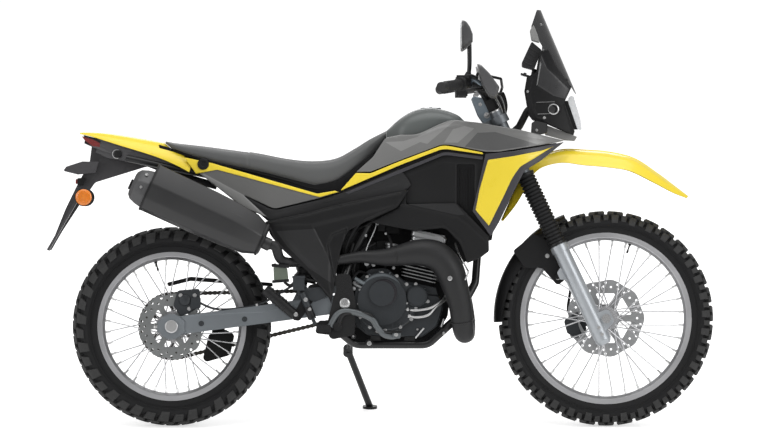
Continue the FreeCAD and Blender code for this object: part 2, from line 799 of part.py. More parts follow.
def handguard():
    """A curved plastic guard ahead of the left grip, on a stay clamped round the bar."""
    wires = []
    for y, back, front, low, high in (
        (196, 1034, 1052, 1104, 1150), (232, 1012, 1054, 1074, 1180), (300, 1003, 1058, 1066, 1187),
        (360, 1001, 1054, 1074, 1178), (398, 1000, 1038, 1092, 1152),
    ):
        bulge = 0.16 * (high - low)
        points = [
            vec(back, y, high),
            vec((back + front) / 2 + bulge, y, (low + high) / 2 + 0.1 * (high - low)),
            vec(front, y, low),
        ]
        hidden = [p - vec(PANEL_THICK, 0, 0) for p in reversed(points)]
        face, rear = Part.BSplineCurve(), Part.BSplineCurve()
        face.interpolate(points)
        rear.interpolate(hidden)
        wires.append(
            Part.Wire(
                [
                    face.toShape(),
                    Part.makeLine(points[-1], hidden[0]),
                    rear.toShape(),
                    Part.makeLine(hidden[-1], points[0]),
                ]
            )
        )
    along = BAR_BEND - vec(BAR_CENTRE.x, 70, BAR_CENTRE.z)
    along.normalize()
    seat_at = BAR_BEND - along * 44
    ring = rod(seat_at - along * 8, seat_at + along * 8, BAR_R + 6)
    stay = rod(seat_at, vec(1051, 211, 1124), 6)
    hole = rod(seat_at - along * 30, seat_at + along * 30, BAR_R + SEAT_GAP)
    return fused([loft(wires), ring, stay]).cut(hole)


MIRROR_X = 976.0
MIRROR_Z = 1281.0


def mirror():
    """A rear-view mirror on its stalk above the left lever perch."""
    base = perch_centre() + vec(0, 0, PERCH_R)
    top = vec(MIRROR_X, base.y + 22, 1240)
    along = BAR_END - BAR_BEND
    along.normalize()
    perch = rod(perch_centre() - along * 30, perch_centre() + along * 30, PERCH_R)
    nut = seated(rod(base - vec(0, 0, 9), base + vec(0, 0, 34), 10), perch, Z_AXIS)
    stalk = bent_rod([base + vec(0, 0, 20), vec(base.x + 6, base.y, 1175), top], 6, 30)
    wires = []
    for across, half, depth in ((-50, 24, 9), (-30, 42, 14), (10, 50, 17), (50, 43, 14), (72, 20, 9)):

        def place(ahead, up, across=across):
            return vec(MIRROR_X - 10 + ahead - 0.12 * (up - MIRROR_Z), top.y + across, up)

        wires.append(oval(place, depth, MIRROR_Z - half, MIRROR_Z + half, square=2.4, count=12))
    return fused([nut, stalk, loft(wires)])


def front_brake():
    """The caliper behind the left fork leg."""
    y = FRONT_DISC_Y
    body = side_prism(
        [(-88, 52, 12), (-31, 60, 10), (-31, -8, 10), (-76, -20, 12), (-96, 10, 10)], y - 20, y + 22
    )
    slot = disc_on_y(
        AXLE_LEAD, 0, FRONT_DISC_R + MOVING_GAP, y - DISC_THICK / 2 - 3, y + DISC_THICK / 2 + 3
    )
    clear = disc_on_y(AXLE_LEAD, 0, 92.0, y - 60, y + 12)
    arm = side_prism([(-50, 44, 8), (-20, 50, 4), (-20, 4, 4), (-50, 0, 8)], y + 8, FORK_HALF_SPAN - 4)
    leg = Part.makeCylinder(LEG_R + SEAT_GAP, 400, vec(0, FORK_HALF_SPAN, LEG_BOTTOM - 20))
    return on_fork(fused([body, arm]).cut(Part.makeCompound([slot, clear, leg])))


def brake_hose():
    """The hose from the caliper up the left leg and over the yokes to the right lever."""
    y = FRONT_DISC_Y
    outside = FORK_HALF_SPAN + GAITER_R + 9.0
    right_perch = mirrored_point(perch_centre())
    route = [
        fork_point(-66, y + 22 + HOSE_R, 30),
        fork_point(-60, outside, 80),
        fork_point(-6, outside, 160),
        fork_point(-6, outside, UPPER_YOKE + 34),
        vec(1086, 96, 1112),
        vec(1080, -60, 1140),
        vec(1030, -150, 1150),
        right_perch + vec(31, 6, 34),
        right_perch + vec(31, 0, 2.6),
    ]
    return bent_rod(route, HOSE_R, 30)


# Engine and exhaust

CASE_FLOOR = 300.0
CASE_BACK = ((640, CASE_FLOOR, 16), (604, 330, 30), (594, 400, 12), (606, 476, 30), (650, 516, 30), (708, 518, 30))
CASE_FRONT = ((880, 408, 20), (850, 330, 30), (800, CASE_FLOOR, 16))
CYLINDER_BASE = vec(806, 0, 468)
CYLINDER_TILT_DEG = 13.0
PORT_REACH = 78.0
PORT_START = 46.0
PORT_HIGH = 50.0
PORT_LOW = 44.0
CYLINDER_PLACEMENT = FreeCAD.Placement(CYLINDER_BASE, FreeCAD.Rotation(Y_AXIS, CYLINDER_TILT_DEG))


def engine_block():
    """The crankcase with round covers on both sides, and the output sprocket with its cover."""
    seat_back = CYLINDER_PLACEMENT.multVec(vec(-60, 0, 0))
    seat_front = CYLINDER_PLACEMENT.multVec(vec(62, 0, 0))
    outline = [*CASE_BACK, (seat_back.x, seat_back.z), (seat_front.x, seat_front.z), *CASE_FRONT]
    case = side_prism(outline, -72, 66)
    covers = [
        disc_on_y(690, 412, 92, -106, -72),
        disc_on_y(690, 412, 80, -124, -106),
        disc_on_y(689, 436, 41, -136, -124),
        disc_on_y(804, 427, 34, -104, -72),
        disc_on_y(804, 427, 29, -120, -104),
        disc_on_y(776, 408, 70, 66, 98),
        disc_on_y(776, 408, 56, 98, 112),
    ]
    sprocket_axis = vec(FRONT_SPROCKET_X, 0, FRONT_SPROCKET_Z)
    shaft = disc_on_y(FRONT_SPROCKET_X, FRONT_SPROCKET_Z, 12, 66, CHAIN_Y + 10)
    wheel = sprocket(sprocket_axis, FRONT_TEETH, CHAIN_Y, 11.0, 0)
    guard = side_prism(
        [(604, 372, 20), (600, 452, 30), (640, 474, 20), (700, 470), (700, 352), (640, 352, 20)],
        CHAIN_Y + 16,
        CHAIN_Y + 22,
    )
    posts = [disc_on_y(x, z, 7, 66, CHAIN_Y + 18) for x, z in ((628, 470), (640, 357))]
    return fused([case, *covers, shaft, wheel, guard, *posts])


def cylinder():
    """The finned barrel and its ribbed head, leaning forward."""
    bore = Part.makeBox(96, 100, 122, vec(-48, -50, SEAT_GAP))
    neck = Part.makeBox(110, 110, 14, vec(-55, -55, SEAT_GAP))
    fins = []
    for i in range(8):
        z = 30 + i * 12.0
        half_x, half_y = 64 - 1.2 * abs(i - 3), 66 - 1.0 * abs(i - 3)
        fin = rounded_wire(
            [(-half_x, -half_y, 14), (half_x, -half_y, 14), (half_x, half_y, 14), (-half_x, half_y, 14)],
            lambda u, v, z=z: vec(u, v, z),
        )
        fins.append(Part.Face(fin).extrude(vec(0, 0, 4)))
    head = Part.makeBox(100, 100, 26, vec(-50, -50, 122))
    cap = rounded_wire(
        [(-58, -56, 16), (62, -56, 16), (62, 56, 16), (-58, 56, 16)], lambda u, v: vec(u, v, 148)
    )
    cover = Part.Face(cap).extrude(vec(0, 0, 24))
    plug = Part.makeCylinder(11, 26, vec(0, 0, 170))
    exhaust_port = rod(vec(PORT_START, 0, PORT_HIGH), vec(PORT_REACH, 0, PORT_LOW), 24)
    intake_port = rod(vec(-46, 0, 84), vec(-PORT_REACH, 0, 84), 22)
    shape = fused([bore, neck, *fins, head, cover, plug, exhaust_port, intake_port])
    shape.Placement = CYLINDER_PLACEMENT
    return shape


def intake():
    """Carburettor body and rubber duct from the barrel back to the air box."""
    port = CYLINDER_PLACEMENT.multVec(vec(-PORT_REACH - SEAT_GAP, 0, 84))
    flange = rod(vec(port.x, 0, port.z), vec(port.x - 34, 0, port.z + 8), 22)
    bowl = Part.makeBox(44, 60, 74, vec(port.x - 76, -30, port.z - 34))
    duct = rod(vec(port.x - 70, 0, port.z + 14), vec(636, 0, port.z + 26), 26)
    air_box = side_prism(
        [(548, 582, 10), (640, 566, 14), (640, 700, 20), (620, 736, 16), (548, 736, 10)], -44, 44
    )
    return fused([flange, bowl, duct, air_box])


CHAMBER_RINGS = (
    (952, -1, 442, 25), (963, -3, 395, 26), (968, -8, 345, 28), (966, -42, 310, 30), (960, -82, 306, 33),
    (952, -115, 346, 36), (945, -127, 400, 38), (930, -132, 458, 43), (908, -135, 518, 48),
    (866, -137, 560, 48), (802, -137, 570, 42), (739, -135, 560, 33), (676, -132, 554, 25),
    (620, -129, 556, 19), (562, -125, 548, 16), (500, -119, 543, 16), (430, -119, 541, 16),
    (392, -121, 538, 16), (356, -141, 551, 16),
)


def expansion_chamber():
    """The fat exhaust pipe that loops under the engine's front and swells along its right side."""
    port = CYLINDER_PLACEMENT.multVec(vec(PORT_REACH, 0, PORT_LOW))
    ahead = port - CYLINDER_PLACEMENT.multVec(vec(PORT_START, 0, PORT_HIGH))
    ahead.normalize()
    back = SILENCER_BACK - SILENCER_FRONT
    back.normalize()
    rings = [(port + ahead * SEAT_GAP, 24.0), (port + ahead * 30, 24.0)]
    rings += [(vec(x, y, z), r) for x, y, z, r in CHAMBER_RINGS]
    rings += [(SILENCER_FRONT - back * reach, 17.0) for reach in (SILENCER_INLET + 22.0, SILENCER_INLET + SEAT_GAP)]
    return pipe_of_rings(rings)


SILENCER_INLET = 26.0
SILENCER_FRONT = vec(300, -163, 605)
SILENCER_BACK = vec(-92, -172, 782)


def silencer():
    """The upswept can with its tapered tail cap and outlet."""
    along = SILENCER_BACK - SILENCER_FRONT
    length = along.Length
    turn = FreeCAD.Rotation(Z_AXIS, along)
    place = FreeCAD.Placement(SILENCER_FRONT, turn)
    across_dir = place.Rotation.inverted().multVec(Y_AXIS)
    up_dir = Z_AXIS.cross(across_dir)

    def section(z, half_width, half_height, shift=0.0):
        put = lambda a, b: across_dir * a + up_dir * (b + shift) + Z_AXIS * z
        return oval(put, half_width, -half_height, half_height, square=2.7)

    body = loft(
        [section(0, 34, 40), section(50, 46, 56), section(200, 52, 66), section(length - 60, 54, 67)]
    )
    cap = loft(
        [section(length - 59.5, 54, 67), section(length - 24, 50, 60), section(length, 34, 40)]
    )
    outlet = Part.makeCylinder(20, 60, vec(0, 0, length - 42))
    hollow = Part.makeCylinder(17, 90, vec(0, 0, length - 40))
    inlet = Part.makeCylinder(21, SILENCER_INLET + 6, vec(0, 0, -SILENCER_INLET))
    shapes = []
    for shape in (fused([body, inlet]), fused([cap, outlet]).cut(hollow)):
        shape.Placement = place
        shapes.append(shape)
    peg = disc_on_y(262, 640, 10, -130, -95)
    strap = side_prism([(244, 632, 12), (280, 632, 12), (276, 752, 10), (250, 752, 10)], -102, -92)
    hanger = seated(fused([peg, strap]), subframe(), vec(0, -1, 0))
    return [shapes[0].fuse(hanger), shapes[1]]


# Frame, suspension and running gear


PLATE_Y = 128.0
STEM_R = 14.0
SUBFRAME_JOINT = vec(510, 72, 742)
SEAT_PAD_FEET = (vec(90, 77, 830), vec(400, 78, 764))
TANK_PAD_FEET = (vec(800, 60, 810), vec(884, 56, 844))
STAY_END = vec(1200, 0, 1052)
STAY_R = 12.0


def tower_stay(radius):
    """The bar that reaches forward between the yokes to carry the tower."""
    start = fork_point(-YOKE_OFFSET, 0, (LOWER_YOKE + UPPER_YOKE) / 2)
    elbow = fork_point(50, 0, UPPER_YOKE - 48)
    return bent_rod([start, elbow, vec(STAY_END.x - 30, 0, STAY_END.z - 12), STAY_END], radius, 30)


def shroud_bar():
    """The bar from the down tube out to the side shroud that it carries."""
    post = rod(vec(1018, 0, 700), vec(1018, 190, 706), 8)
    panel = flank_panel(WING_EDGE, flank_inset(0.0))
    return seated(post, panel, vec(0, -1, 0))


def main_frame():
    """Head tube, twin spars, down tube, cradle rails, pivot plates and the stand's bracket."""
    stem_gap = YOKE_THICK / 2 + 1.0
    head_low, head_high = LOWER_YOKE + stem_gap, UPPER_YOKE - stem_gap
    head = on_fork(Part.makeCylinder(HEAD_TUBE_R, head_high - head_low, vec(-YOKE_OFFSET, 0, head_low)))
    stem_bore = on_fork(Part.makeCylinder(STEM_R + RUNNING_GAP, 400, vec(-YOKE_OFFSET, 0, head_low - 100)))
    neck_low = fork_point(-YOKE_OFFSET - 20, 0, head_low + 52)
    neck_high = fork_point(-YOKE_OFFSET - 14, 0, head_high - 34)
    spar = bent_rod(
        [neck_high, vec(940, 52, 866), vec(700, 66, 770), vec(592, 82, 560), vec(560, 118, 470)], 15, 60
    )
    back_rail = rod(vec(712, 66, 774), SUBFRAME_JOINT, 13)
    cross = rod(mirrored_point(SUBFRAME_JOINT), SUBFRAME_JOINT, 13)
    down = bent_rod([neck_low, vec(1036, 0, 786), vec(1004, 0, 560)], 16, 60)
    rail = bent_rod(
        [
            vec(1004, 0, 575), vec(996, 34, 470), vec(930, 68, 350), vec(840, 74, 268),
            vec(600, 74, 268), vec(548, 116, 312),
        ],
        13,
        50,
    )
    plate = side_prism(
        [
            (600, 300, 16), (520, 284, 16), (508, 330, 16), (536, 440, 30), (536, 500, 14),
            (586, 500, 14), (604, 400, 30),
        ],
        PLATE_Y,
        PLATE_Y + 8,
    )
    pivot_hole = disc_on_y(SWINGARM_PIVOT_X, SWINGARM_PIVOT_Z, PIVOT_R + RUNNING_GAP, 100, 160)
    links = [rod(vec(560, 116, 470), vec(560, PLATE_Y + 2, 470), 14), rod(vec(548, 112, 312), vec(548, PLATE_Y + 2, 312), 13)]
    stay = tower_stay(STAY_R)
    engine_lugs = [
        side_prism([(x - 22, 262), (x + 22, 262), (x + 14, CASE_FLOOR - SEAT_GAP), (x - 14, CASE_FLOOR - SEAT_GAP)], 52, 76)
        for x in (668.0, 780.0)
    ]
    shock_ear = side_prism(
        [
            (SHOCK_HIGH.x - 18, SHOCK_HIGH.z, 10), (SHOCK_HIGH.x, SHOCK_HIGH.z + 40, 8), (526, 748, 6),
            (SHOCK_HIGH.x + 18, SHOCK_HIGH.z - 12, 10), (SHOCK_HIGH.x - 6, SHOCK_HIGH.z - 18, 10),
        ],
        25,
        32,
    )
    tank = fuel_tank()
    pads = [seated(rod(foot, foot + vec(0, 0, 62), 11), tank, vec(0, 0, -1)) for foot in TANK_PAD_FEET]
    panel_bar = shroud_bar()
    lefts = [spar, back_rail, rail, plate.cut(pivot_hole), *links, *engine_lugs, shock_ear, *pads, panel_bar]
    shapes = [head, down, cross, stay, *stand_bracket()]
    for piece in lefts:
        shapes += both_sides(piece)
    return fused(shapes).cut(stem_bore)


def subframe():
    """The rails that carry the seat and the tail, with their lower struts."""
    joint = SUBFRAME_JOINT - vec(13 + 2 * SEAT_GAP, 0, 0)
    top = bent_rod([joint, vec(300, 84, 786), vec(-150, 70, 880)], 11, 80)
    strut = bent_rod([vec(558, 97.5, 540), vec(420, 90, 650), vec(180, 82, 805)], 10, 60)
    bars = [rod(vec(x, -80, z), vec(x, 80, z), 9) for x, z in ((180, 812), (-60, 862))]
    shapes = bars
    bench, tail = seat(), tail_cowl()
    pads = [seated(rod(foot, foot + vec(0, 0, 62), 12), bench, vec(0, 0, -1)) for foot in SEAT_PAD_FEET]
    tail_post = seated(rod(vec(-60, 44, 862), vec(-60, 44, 934), 9), tail, vec(0, 0, -1))
    for piece in (top, strut, *pads, tail_post):
        shapes = shapes + both_sides(piece)
    return fused(shapes)


def arm_slope(x):
    """The height of the swinging arm's middle line at x."""
    return REAR_AXLE_Z + (SWINGARM_PIVOT_Z - REAR_AXLE_Z) * x / SWINGARM_PIVOT_X


SHOCK_LOW = vec(428, 0, 440)
SHOCK_HIGH = vec(492, 0, 712)


def swingarm():
    """Box-section arms with a cross brace ahead of the tyre and a cross tube at the pivot."""
    h = SWINGARM_HALF_HEIGHT
    corners = [
        (-34, REAR_AXLE_Z + h - 8, 20),
        (30, arm_slope(30) + h, 20),
        (SWINGARM_PIVOT_X - 40, arm_slope(SWINGARM_PIVOT_X - 40) + h),
        (SWINGARM_PIVOT_X + 26, SWINGARM_PIVOT_Z + 24, 22),
        (SWINGARM_PIVOT_X + 26, SWINGARM_PIVOT_Z - 24, 22),
        (SWINGARM_PIVOT_X - 40, arm_slope(SWINGARM_PIVOT_X - 40) - h),
        (30, arm_slope(30) - h, 20),
        (-34, REAR_AXLE_Z - h + 8, 20),
    ]
    inner, outer = SWINGARM_Y - SWINGARM_HALF_THICK, SWINGARM_Y + SWINGARM_HALF_THICK
    arm = side_prism(corners, inner, outer)
    cam = disc_on_y(0, REAR_AXLE_Z, 42, outer, outer + 5)
    axle_hole = disc_on_y(0, REAR_AXLE_Z, REAR_AXLE_R + RUNNING_GAP, inner - 5, outer + 9)
    shapes = []
    for piece in (arm, cam):
        shapes += both_sides(piece)
    brace_z = arm_slope(SWINGARM_BRACE_X)
    brace = Part.makeBox(44, 2 * inner, 44, vec(SWINGARM_BRACE_X, -inner, brace_z - 20))
    ears = []
    for y in (-32.0, 25.0):
        ears.append(
            side_prism(
                [
                    (SWINGARM_BRACE_X + 6, brace_z), (SWINGARM_BRACE_X + 44, brace_z),
                    (SHOCK_LOW.x + 16, SHOCK_LOW.z, 8), (SHOCK_LOW.x, SHOCK_LOW.z + 18, 12),
                    (SHOCK_LOW.x - 18, SHOCK_LOW.z, 10),
                ],
                y,
                y + 7,
            )
        )
    barrel = Part.makeCylinder(24, 2 * inner, vec(SWINGARM_PIVOT_X, -inner, SWINGARM_PIVOT_Z), Y_AXIS)
    pivot_hole = Part.makeCylinder(PIVOT_R + RUNNING_GAP, 400, vec(SWINGARM_PIVOT_X, -200, SWINGARM_PIVOT_Z), Y_AXIS)
    holes = Part.makeCompound([pivot_hole, axle_hole, mirrored(axle_hole)])
    return fused([*shapes, brace, *ears, barrel]).cut(holes)


def axle_and_pivot():
    """The rear axle with its nuts and spacers, and the bolt that the swinging arm turns on."""
    reach = SWINGARM_Y + SWINGARM_HALF_THICK + 16.0
    shaft = Part.makeCylinder(REAR_AXLE_R, 2 * reach, REAR_AXLE - vec(0, reach, 0), Y_AXIS)
    heads = [disc_on_y(0, REAR_AXLE_Z, 17, y, y + 9) for y in (reach - 10, -reach + 1)]
    inner = SWINGARM_Y - SWINGARM_HALF_THICK - SEAT_GAP
    left_spacer = disc_on_y(0, REAR_AXLE_Z, 16, CHAIN_Y + SPROCKET_THICK / 2 + 2, inner)
    right_spacer = disc_on_y(0, REAR_AXLE_Z, 16, -inner, REAR_DISC_Y - DISC_THICK / 2 - 2)
    bolt = Part.makeCylinder(PIVOT_R, 2 * 146, vec(SWINGARM_PIVOT_X, -146, SWINGARM_PIVOT_Z), Y_AXIS)
    ends = [disc_on_y(SWINGARM_PIVOT_X, SWINGARM_PIVOT_Z, 17, y, y + 9) for y in (137, -146)]
    return [fused([shaft, *heads, left_spacer, right_spacer]), fused([bolt, *ends])]


def rear_shock():
    """The single damper and its coil spring behind the engine."""
    along = SHOCK_HIGH - SHOCK_LOW
    along.normalize()
    length = (SHOCK_HIGH - SHOCK_LOW).Length
    shaft = rod(SHOCK_LOW, SHOCK_HIGH, 10)
    coils = 8
    low, high = 42.0, length - 34.0
    pitch = (high - low) / coils
    corners = [(0, low - 8), (36, low - 8), (36, low)]
    for i in range(coils):
        base = low + i * pitch
        corners += [(40, base + 0.25 * pitch), (36, base + 0.5 * pitch), (32, base + 0.75 * pitch), (36, base + pitch)]
    corners += [(36, high + 8), (0, high + 8)]
    wire = rounded_wire(corners, lambda r, z: vec(r, 0, z))
    spring = Part.Face(wire).revolve(ORIGIN, Z_AXIS, 360)
    spring.Placement = FreeCAD.Placement(SHOCK_LOW, FreeCAD.Rotation(Z_AXIS, along))
    eyes = [Part.makeCylinder(16, 49, vec(p.x, -24.5, p.z), Y_AXIS) for p in (SHOCK_LOW, SHOCK_HIGH)]
    return fused([shaft, spring, *eyes])


def chain_path():
    """The pitch line of the chain: two straight runs and an arc round each sprocket."""
    big, small = sprocket_radius(REAR_TEETH), sprocket_radius(FRONT_TEETH)
    rear, front = REAR_AXLE, vec(FRONT_SPROCKET_X, 0, FRONT_SPROCKET_Z)
    gap = front - rear
    tilt = math.atan2(gap.z, gap.x)
    wrap = math.acos((big - small) / gap.Length)
    return rear, front, big, small, tilt, wrap


def chain():
    """The drive chain as two loops of side plates with a roller between them at each joint."""
    rear, front, big, small, tilt, wrap = chain_path()

    def at(centre, r, angle, y):
        return vec(centre.x + r * math.cos(angle), y, centre.z + r * math.sin(angle))

    def loop(offset, y):
        up, down = tilt + wrap, tilt - wrap
        rear_mid, front_mid = tilt + math.pi, tilt
        return Part.Wire(
            [
                Part.makeLine(at(rear, big + offset, up, y), at(front, small + offset, up, y)),
                Part.Arc(
                    at(front, small + offset, up, y),
                    at(front, small + offset, front_mid, y),
                    at(front, small + offset, down, y),
                ).toShape(),
                Part.makeLine(at(front, small + offset, down, y), at(rear, big + offset, down, y)),
                Part.Arc(
                    at(rear, big + offset, down, y),
                    at(rear, big + offset, rear_mid, y),
                    at(rear, big + offset, up, y),
                ).toShape(),
            ]
        )

    pieces = []
    for y in (CHAIN_Y - CHAIN_HALF_WIDTH, CHAIN_Y + CHAIN_HALF_WIDTH - CHAIN_PLATE_THICK):
        outer = Part.Face(loop(CHAIN_PLATE_HALF, y)).extrude(vec(0, CHAIN_PLATE_THICK, 0))
        inner = Part.Face(loop(-CHAIN_PLATE_HALF, y)).extrude(vec(0, CHAIN_PLATE_THICK, 0))
        pieces.append(outer.cut(inner))
    low = CHAIN_Y - CHAIN_HALF_WIDTH + CHAIN_PLATE_THICK
    outer = Part.Face(loop(5.0, low)).extrude(vec(0, 2 * (CHAIN_HALF_WIDTH - CHAIN_PLATE_THICK), 0))
    inner = Part.Face(loop(-5.0, low)).extrude(vec(0, 2 * (CHAIN_HALF_WIDTH - CHAIN_PLATE_THICK), 0))
    pieces.append(outer.cut(inner))
    return fused(pieces)


def chain_guard():
    """The guard over the chain's upper run and the rubber guide on its lower run."""
    top = side_prism(
        [(-20, 470, 10), (60, 490, 20), (330, 470, 10), (330, 458), (60, 476, 20), (-12, 458, 4)],
        CHAIN_Y - 16,
        SWINGARM_Y + 6,
    )
    foot = side_prism(
        [(250, 473), (300, 470), (290, arm_slope(290) + SWINGARM_HALF_HEIGHT + SEAT_GAP),
         (262, arm_slope(262) + SWINGARM_HALF_HEIGHT + SEAT_GAP)],
        SWINGARM_Y - 4,
        SWINGARM_Y + 4,
    )
    guide = side_prism(
        [(96, 205, 14), (190, 232, 14), (205, 300, 14), (175, 316, 6), (120, 300, 10)], CHAIN_Y - 14, CHAIN_Y + 14
    )
    slot = side_prism([(60, 215), (240, 258), (240, 292), (60, 249)], CHAIN_Y - 10.5, CHAIN_Y + 10.5)
    ear = side_prism([(130, 300), (172, 300), (172, 325), (130, 316)], CHAIN_Y + 12, SWINGARM_Y + 2)
    cut = side_prism([(130, arm_slope(130) - SWINGARM_HALF_HEIGHT - SEAT_GAP),
                      (172, arm_slope(172) - SWINGARM_HALF_HEIGHT - SEAT_GAP), (172, 400), (130, 400)],
                     SWINGARM_Y - SWINGARM_HALF_THICK - 1, SWINGARM_Y + 20)
    return [fused([top, foot]), guide.cut(slot).fuse(ear.cut(cut))]


def rear_brake():
    """The rear caliper, and the master cylinder with its reservoir above the pedal."""
    y = REAR_DISC_Y
    body = side_prism([(14, 404, 10), (84, 404, 12), (84, 440, 12), (30, 446, 10)], y - 18, y + 16)
    slot = disc_on_y(0, REAR_AXLE_Z, REAR_DISC_R + MOVING_GAP, y - 5, y + 5)
    clear = disc_on_y(0, REAR_AXLE_Z, 80, y - 60, y + 60)
    inner = SWINGARM_Y - SWINGARM_HALF_THICK
    bracket = side_prism([(60, 384, 6), (96, 388, 6), (96, 424, 6), (66, 424, 6)], -inner - 8, y - 12)
    arm_room = side_prism(
        [(0, 300), (200, 300), (200, arm_slope(200) + SWINGARM_HALF_HEIGHT + SEAT_GAP),
         (0, arm_slope(0) + SWINGARM_HALF_HEIGHT + SEAT_GAP)],
        -inner - 40,
        -inner + 0.3,
    )
    caliper = fused([body, bracket]).cut(Part.makeCompound([slot, clear, arm_room]))
    outer = -(PLATE_Y + 8 + SEAT_GAP)
    stay = side_prism(
        [(412, 432, 6), (470, 408, 6), (540, 440, 6), (540, 462, 6), (424, 452, 6)], outer - 6, outer
    )
    master = rod(vec(464, outer - 16, 352), vec(428, outer - 16, 438), 12)
    rodlet = rod(vec(464, outer - 16, 352), vec(472, outer - 16, 334), 6)
    saddle = rod(vec(440, outer - 16, 410), vec(440, outer - 3, 424), 8)
    pot = Part.makeBox(38, 28, 40, vec(398, outer - 30, 446))
    lid = Part.makeBox(42, 32, 8, vec(396, outer - 32, 486))
    neck = rod(vec(420, outer - 16, 430), vec(416, outer - 16, 450), 7)
    return [caliper, fused([stay, master, rodlet, saddle, pot, lid, neck])]


def brake_pedal():
    """The bent flat pedal that swings beside the right footrest."""
    path = [
        vec(544, -156, 328), vec(560, -154, 374), vec(606, -156, 376), vec(654, -162, 362),
        vec(690, -164, 306), vec(742, -166, 302),
    ]
    bar = bent_rod(path, 9, 24)
    boss = Part.makeCylinder(14, 18, vec(544, -164.3, 328), Y_AXIS)
    pad = Part.makeBox(34, 40, 9, vec(720, -188, 307))
    return fused([bar, boss, pad])


def footpegs():
    """Serrated rider's pegs on brackets, and the passenger's pegs folded up, on the left side."""
    face = PLATE_Y + 8 + SEAT_GAP
    bracket = side_prism([(470, 306, 10), (556, 296, 10), (560, 344, 12), (480, 346, 12)], face, face + 10)
    peg = Part.makeBox(46, 98, 20, vec(476, face + 9, 310))
    notches = [Part.makeBox(28, 7, 6, vec(485, face + 20 + i * 15, 325)) for i in range(6)]
    rider = fused([bracket, peg.cut(Part.makeCompound(notches))])
    hanger = side_prism(
        [(392, 350, 12), (420, 346, 12), (470, 420, 10), (544, 466, 10), (540, 486, 8), (450, 462, 12)],
        SWINGARM_Y + SWINGARM_HALF_THICK + 2,
        PLATE_Y - SEAT_GAP,
    )
    bush = rod(vec(406, PLATE_Y - 2, 364), vec(406, PLATE_Y + 34, 364), 11)
    passenger = rod(vec(404, PLATE_Y + 24, 366), vec(306, PLATE_Y + 24, 450), 17)
    return rider, fused([hanger, bush, passenger])


# Bodywork


SEAT_SECTIONS = (
    (-20, 60, 927, 935),
    (14, 86, 902, 929),
    (110, 102, 868, 918),
    (240, 108, 838, 901),
    (275, 108, 830, 898),
    (380, 106, 802, 880),
    (470, 104, 776, 872),
    (540, 96, 790, 880),
    (600, 82, 828, 911),
    (650, 66, 873, 942),
    (703.7, 40, 944, 969),
)


def seat():
    """The two-level bench, drawn as its plain padded outline."""
    wires = []
    for x, half_width, low, high in SEAT_SECTIONS:
        wires.append(oval(lambda across, up, x=x: vec(x, across, up), half_width, low, high, square=3.4))
    return loft(wires)


TANK_SECTIONS = (
    (704, 50, 934, 969),
    (750, 92, 880, 1010),
    (795, 104, 862, 1036),
    (850, 108, 870, 1045),
    (900, 104, 892, 1036),
    (940, 90, 912, 1020),
    (962, 68, 926, 1000),
)


def fuel_tank():
    """The tank above the spars, with a filler cap on its crown."""
    wires = []
    for x, half_width, low, high in TANK_SECTIONS:
        wires.append(oval(lambda across, up, x=x: vec(x, across, up), half_width, low, high, square=3.6))
    cap = Part.makeCylinder(33, 14, vec(850, 0, 1038))
    return loft(wires).fuse(cap)


SHROUD = (
    (652, 834, 4), (604, 834), (660, 884, 6), (700, 946, 10), (749, 957), (804, 957, 20), (887, 996, 20),
    (924, 1006, 20), (1016, 995), (1145, 972), (1291, 937, 4), (1210, 921), (1072, 899), (1030, 899, 10),
    (906, 923, 20), (883, 922, 20), (749, 872, 20),
)
STRIPE = (
    (554, 776, 3), (604, 832), (653, 831), (749, 871, 20), (883, 921, 20), (906, 921, 20), (1020, 899, 6),
    (1022, 890), (890, 909, 20), (749, 855, 20), (556, 772, 3),
)
WING = (
    (1036, 874, 4), (1118, 886), (1210, 904), (1252, 918, 3), (1191, 879), (1143, 851, 10), (1118, 817, 20),
    (1090, 757), (1040, 656, 3), (995, 709, 3), (1008, 776),
)
WING_EDGE = (
    (1028, 894, 3), (1120, 903), (1210, 918), (1290, 934, 3), (1210, 870), (1157, 838, 12), (1132, 790, 20),
    (1073, 668), (1046, 622, 3), (985, 706, 3), (1002, 780),
)
SIDE_COVER = (
    (306, 672, 6), (445, 701), (549, 729), (756, 772), (780, 776, 4), (740, 716, 12), (636, 670, 10),
    (578, 640, 14), (556, 585, 40), (540, 500), (524, 400, 5), (516, 420), (445, 508), (362, 580, 20), (324, 626, 10),
)
UPPER_COVER = (
    (90, 830, 3), (150, 850, 6), (552, 752, 3), (640, 774), (756, 774), (549, 731), (445, 703),
    (330, 680), (300, 690, 4), (230, 720),
)
INNER = (
    (572, 779), (749, 868), (888, 920), (1040, 898), (1018, 780), (1000, 712), (984, 700), (960, 712),
    (774, 716), (786, 780, 4),
)
LOW_SHROUD = (
    (770, 768, 3), (770, 729), (933, 733, 8), (966, 702), (1040, 624, 4), (1041, 574, 6), (1012, 552, 6),
    (968, 534, 6), (944, 600, 14), (896, 650, 14), (796, 640, 14), (650, 668, 6), (742, 716),
)


def seat_trim():
    """The thin yellow strip along the seat's lower edge."""
    corners = [(44, 882), (134, 864), (478, 764, 6), (536, 774), (550, 768, 2), (486, 750, 6), (150, 840), (90, 830)]
    return corners


def boss(x, z, deep, shallow, radius=6.0):
    """A round post between two depths behind the flank's outer face."""
    face = flank(x, z)
    return disc_on_y(x, z, radius, face - deep, face - shallow)


